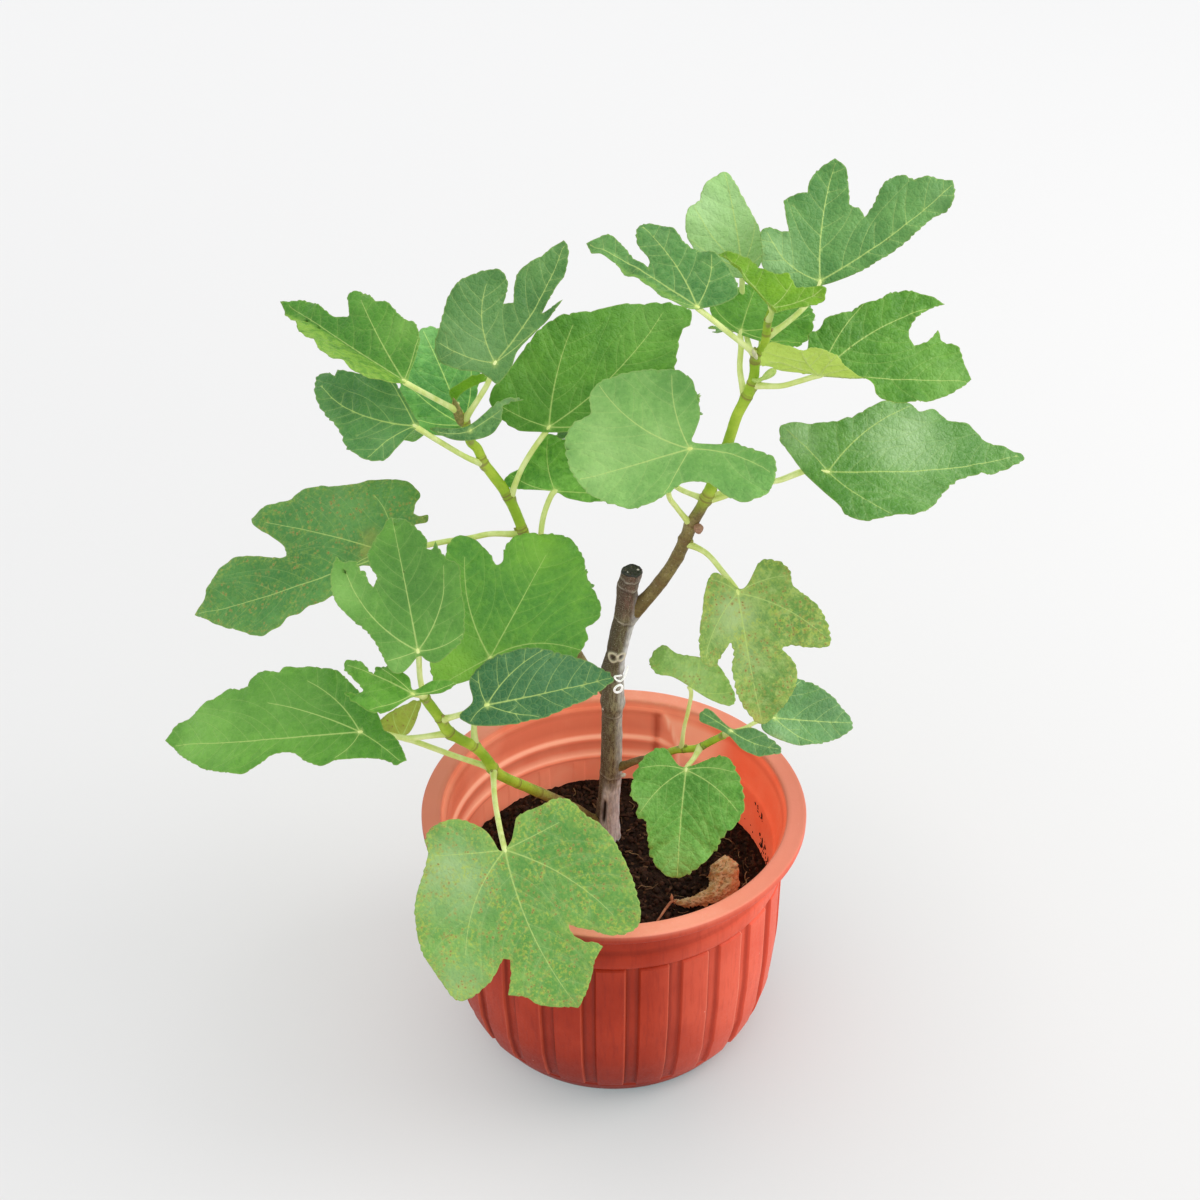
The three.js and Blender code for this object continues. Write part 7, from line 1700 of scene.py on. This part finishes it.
def make_fallen():
    """A dead leaf lying curled on the soil, its stalk trailing."""
    axis = np.array([[44.5, -35.6, 127.4, 1.0], [48.5, -37.0, 127.6, 1.5], [54.4, -37.6, 128.0, 2.6], [63.0, -35.8, 129.4, 3.8], [71.5, -32.0, 130.6, 5.0],
                     [78.6, -27.0, 132.4, 8.2], [81.6, -19.8, 135.6, 10.4], [80.2, -13.0, 140.0, 9.6], [76.6, -9.4, 143.6, 6.2]])
    S = spline(axis, 0.8)
    P, R = S[:, :3], S[:, 3]
    tan = unit(np.gradient(P, axis=0))
    n, m = len(P), 46
    span = np.radians(np.linspace(-150, 150, m))
    s = np.concatenate([[0], np.cumsum(np.linalg.norm(np.diff(P, axis=0), axis=1))])
    up = np.array([-0.35, -0.25, 0.9])
    rows_o, rows_i, painted_ridge_light = [], [], []
    for i in range(n):
        t = tan[i]
        u = unit(up - (up @ t) * t)
        w = np.cross(t, u)
        q = np.stack([np.cos(span) * 3.0, np.sin(span) * 3.0, np.full(m, s[i] * 0.32)], 1)
        big = fractal(q, 0.6, 2, 15.0)
        small = fractal(q, 1.7, 3, 55.0)
        r = R[i] * (1 + 0.34 * big) + 1.7 * small
        # one edge rolls in, the other flares out
        r = r * (1 + 0.28 * smooth(span, 1.6, 2.6) - 0.30 * smooth(-span, 1.6, 2.6))
        d = np.outer(np.cos(span), u) + np.outer(np.sin(span), w)
        rows_o.append(P[i] + d * r[:, None])
        rows_i.append(P[i] + d * np.maximum(r - 0.45, 0.1)[:, None])
        # painted shade: lower where the crumpled surface is pushed in
        painted_ridge_light.append(np.clip(0.5 + small, 0, 1))
    O, I = np.array(rows_o), np.array(rows_i)
    verts = np.vstack([O.reshape(-1, 3), I.reshape(-1, 3)])
    verts[:, 2] = np.maximum(verts[:, 2], SOIL_TOP + 0.4)
    N = n * m
    i = (np.arange(n - 1)[:, None] * m + np.arange(m - 1)[None, :]).ravel()
    outer = np.concatenate([np.stack([i, i + 1, i + m + 1], 1), np.stack([i, i + m + 1, i + m], 1)])
    tris = [outer, outer[:, ::-1] + N]
    loop = np.concatenate([np.arange(m - 1), (np.arange(n - 1) * m + m - 1), N - 1 - np.arange(m - 1), (n - 1 - np.arange(n - 1)) * m])
    nx = np.roll(loop, -1)
    tris += [np.stack([loop, loop + N, nx + N], 1), np.stack([loop, nx + N, nx], 1)]
    tris = np.vstack(tris)
    # make the faces look outwards
    a, b, c_ = verts[tris[0]]
    if np.dot(np.cross(b - a, c_ - a), a - P[0]) < 0:
        tris = tris[:, ::-1]
    light = np.concatenate([np.array(painted_ridge_light).ravel()] * 2)
    tip = np.concatenate([np.repeat(smooth(s, 0, s[-1]), m)] * 2)
    parts = [(verts, tris, 0, {"light": light, "tip": tip})]
    stem = spline([[31.4, -53.4, 122.4], [35.0, -47.8, 124.2], [39.0, -41.0, 125.6], [43.0, -36.6, 127.6], [47.0, -36.4, 128.0]], 1.0)
    v, f, ring, _ = sweep(stem, np.linspace(0.75, 1.15, len(stem)), 9)
    parts.append((v, f, 1, {}))
    v, f = bud((42.8, -36.4, 127.4), (0.0, 0.55, 0.85), (2.6, 6.0))
    parts.append((v, f, 1, {}))
    p = Paint("dead_leaf", Roughness=0.75, Specular_IOR_Level=0.2)
    v = p.coord(1.0)
    blotch = p.noise(v, 0.22, 4.0, 0.65)
    fine = p.noise(v, 1.1, 4.0, 0.7)
    col = p.mix(p.ramp(blotch, 0.4, 0.6), lin((232, 186, 130)), lin((248, 218, 172)))
    # painted shade in the crumpled hollows
    col = p.mix(p.ramp(p.attr("light"), 0.45, 0.1, 0.0, 0.6), col, lin((156, 104, 62)))
    col = p.mix(p.ramp(fine, 0.56, 0.70, 0.0, 0.8), col, lin((132, 88, 56)))
    col = p.mix(p.ramp(p.noise(v, 0.7, 3.0, 0.6), 0.6, 0.7, 0.0, 0.7), col, lin((248, 224, 188)))
    p.colour(col)
    p.normal(p.bump(p.math("ADD", fine, blotch), 0.9, 0.0016))
    o = joined("dry_leaf", parts, [p.m, plain_material("dry_stalk", (150, 92, 66), (190, 132, 96), 0.5, 0.6)])
    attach(o, "root")
    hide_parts("fallen_leaf")


def ring_tube(P, r, sides):
    """A closed tube round a closed loop of points."""
    n = len(P)
    t = unit(np.roll(P, -1, 0) - np.roll(P, 1, 0))
    axis = unit(np.cross(P[n // 3] - P[0], P[2 * n // 3] - P[0]))
    b = unit(np.cross(t, axis))
    a = np.linspace(0, 2 * math.pi, sides, endpoint=False)
    V = (P[:, None, :] + r * (np.cos(a)[None, :, None] * b[:, None, :] + np.sin(a)[None, :, None] * axis)).reshape(-1, 3)
    f = []
    for i in range(n):
        for k in range(sides):
            p, q = i * sides + k, i * sides + (k + 1) % sides
            p2, q2 = ((i + 1) % n) * sides + k, ((i + 1) % n) * sides + (k + 1) % sides
            f += [[p, p2, q2], [p, q2, q]]
    return V, np.array(f)


def make_buds():
    """A young fig on its short stalk, and the sheath of an unopened leaf."""
    parts = []
    stem = spline([[87.4, -0.6, 540.4], [89.4, -3.2, 540.6], [92.6, -5.0, 543.4]], 0.6)
    v, f, _, _ = sweep(stem, np.linspace(1.5, 1.3, len(stem)), 8)
    parts.append((v, f, 0, {}))
    v, f = ball(1.0, 10, 14)
    zz = (v[:, 2] + 1) / 2
    v = v * np.stack([3.3 * (0.5 + 0.55 * zz)] * 2 + [np.full(len(v), 6.0)], 1)
    v = v @ np.array([[0.64, 0.0, -0.77], [0.0, 1.0, 0.0], [0.77, 0.0, 0.64]])
    parts.append((v + [96.2, -5.8, 546.6], f, 0, {}))
    v, f = bud([53.6, 15.2, 417.6], (0.85, -0.3, 0.45), (8.0, 7.0))
    parts.append((v, f, 2, {}))
    v, f = bud([-104.6, 67.4, 466.4], (-0.2, -0.1, 0.97), (7.0, 25.0))
    parts.append((v, f, 3, {}))
    v, f = bud([88.8, -3.4, 556.0], (-0.35, -0.3, 0.9), (3.0, 11.0))
    parts.append((v, f, 1, {}))
    v, f = bud([-103.0, 65.0, 458.0], (-0.1, -0.5, 0.85), (3.4, 9.0))
    parts.append((v, f, 1, {}))
    o = joined("young_fig", parts, [plain_material("fig_skin", (170, 204, 96), (198, 220, 122), 0.5, 0.45), plain_material("sheath", (196, 196, 150), (222, 214, 184), 0.5, 0.55),
                                plain_material("old_bud", (146, 104, 78), (178, 136, 112), 0.7, 0.6), plain_material("shoot_tip", (118, 122, 54), (166, 146, 88), 0.45, 0.55)])
    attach(o, "root")


# ------------------------------------------------------------------ stage
def make_stage():
    size = 9.0
    n = 40
    g = np.linspace(-size, size, n)
    X, Y = np.meshgrid(g, g)
    verts = np.stack([X.ravel(), Y.ravel(), np.full(n * n, -0.0004)], 1) / MM
    i = np.arange(n - 1)[:, None] * n + np.arange(n - 1)[None, :]
    i = i.ravel()
    tris = np.concatenate([np.stack([i, i + 1, i + n + 1], 1), np.stack([i, i + n + 1, i + n], 1)])
    p = Paint("stage_floor", Roughness=0.9, Specular_IOR_Level=0.1)
    y = p.put("ShaderNodeSeparateXYZ")
    p.t.links.new(p.put("ShaderNodeTexCoord").outputs["Object"], y.inputs[0])
    # painted light: the floor is a little lighter further back; it glows to stay evenly bright
    shade = p.ramp(y.outputs["Y"], -0.7, 2.6)
    tone = p.mix(shade, FLOOR_NEAR, FLOOR_FAR)
    p.colour(tone)
    # painted shadow: the floor's glow is darkened by ambient occlusion round the pot and plant, more towards the right,
    # a painted contact shadow
    near = p.put("ShaderNodeAmbientOcclusion", samples=1)
    near.inputs["Distance"].default_value = 0.26
    lean = p.ramp(y.outputs["X"], -0.22, 0.16, 0.08, 1.7)
    lit = p.mix(p.math("MULTIPLY", p.ramp(near.outputs["AO"], 0.0, 1.0, 0.72, 0.0), lean, clamp=True), tone, lin((0, 106, 110)))
    p.t.links.new(lit, p.bsdf.inputs["Emission Color"])
    p.bsdf.inputs["Emission Strength"].default_value = FLOOR_LIT
    floor = mesh_object("stage_floor", verts, tris, [p.m])


def area_light(name, at, aim, size, power, colour=(1, 1, 1)):
    data = bpy.data.lights.new(name, "AREA")
    data.shape, data.size, data.energy, data.color = "DISK", size, power, colour
    o = bpy.data.objects.new(name, data)
    o.location = at
    o.rotation_euler = (Vector(aim) - Vector(at)).to_track_quat("-Z", "Y").to_euler()
    bpy.context.scene.collection.objects.link(o)
    return o


FLOOR_NEAR = lin((180, 180, 180))
FLOOR_FAR = lin((190, 190, 190))
FLOOR_LIT = 0.75


def make_light():
    world = bpy.data.worlds.new("studio")
    bpy.context.scene.world = world
    world.use_nodes = True
    bg = world.node_tree.nodes["Background"]
    bg.inputs["Color"].default_value = (0.985, 0.99, 1.0, 1.0)
    bg.inputs["Strength"].default_value = 0.98
    area_light("key", (1.9, 0.1, 1.9), (0, 0, 0.25), 1.5, 24.0, (1.0, 0.975, 0.93))


# ------------------------------------------------------------------ build
make_camera()
make_light()
make_stage()
scene = bpy.context.scene
scene.view_settings.view_transform = "Standard"
scene.view_settings.look = "None"

by_limb = {}
for leaf in LEAVES:
    by_limb.setdefault(leaf["on"], []).append(leaf)
stalk_mat = petiole_material()
for n, leaf in enumerate(LEAVES):
    make_leaf(leaf, n, stalk_mat)

make_trunk()
bark_mats = [stem_material(), plain_material("axil_bud", (132, 150, 60), (168, 150, 84), 0.6, 0.5)]
make_bough("bough_right", LIMBS["bough_right"], by_limb["bough_right"], [(0.09, 200, 0.5), (0.19, 320, 0.6), (0.255, 180, 0.6)], [100, 14], 0.26, 14.0, 11.0, bark_mats, 0.12, 0.86)
make_bough("bough_upper_left", LIMBS["bough_upper_left"], by_limb["bough_upper_left"], [(0.12, 250, 0.5), (0.33, 60, 0.6), (0.57, 250, 0.7), (0.69, 60, 0.6), (0.83, 250, 0.5)], [112, 24], 0.22, 24.0, 8.0, bark_mats)
make_bough("bough_lower_left", LIMBS["bough_lower_left"], by_limb["bough_lower_left"], [(0.12, 250, 0.5), (0.2, 60, 0.5), (0.33, 280, 0.5), (0.46, 90, 0.6)], [78, 26], 0.24, 34.0, 8.0, bark_mats, 0.3, 0.82)
make_bough("shoot_low_right", LIMBS["shoot_low_right"], by_limb["shoot_low_right"], [(0.22, 250, 0.5)], [46, 20], 0.2, 44.0, 7.0, bark_mats)
make_buds()
make_pot()
make_soil()
make_splashes()
make_tie()
make_fallen()
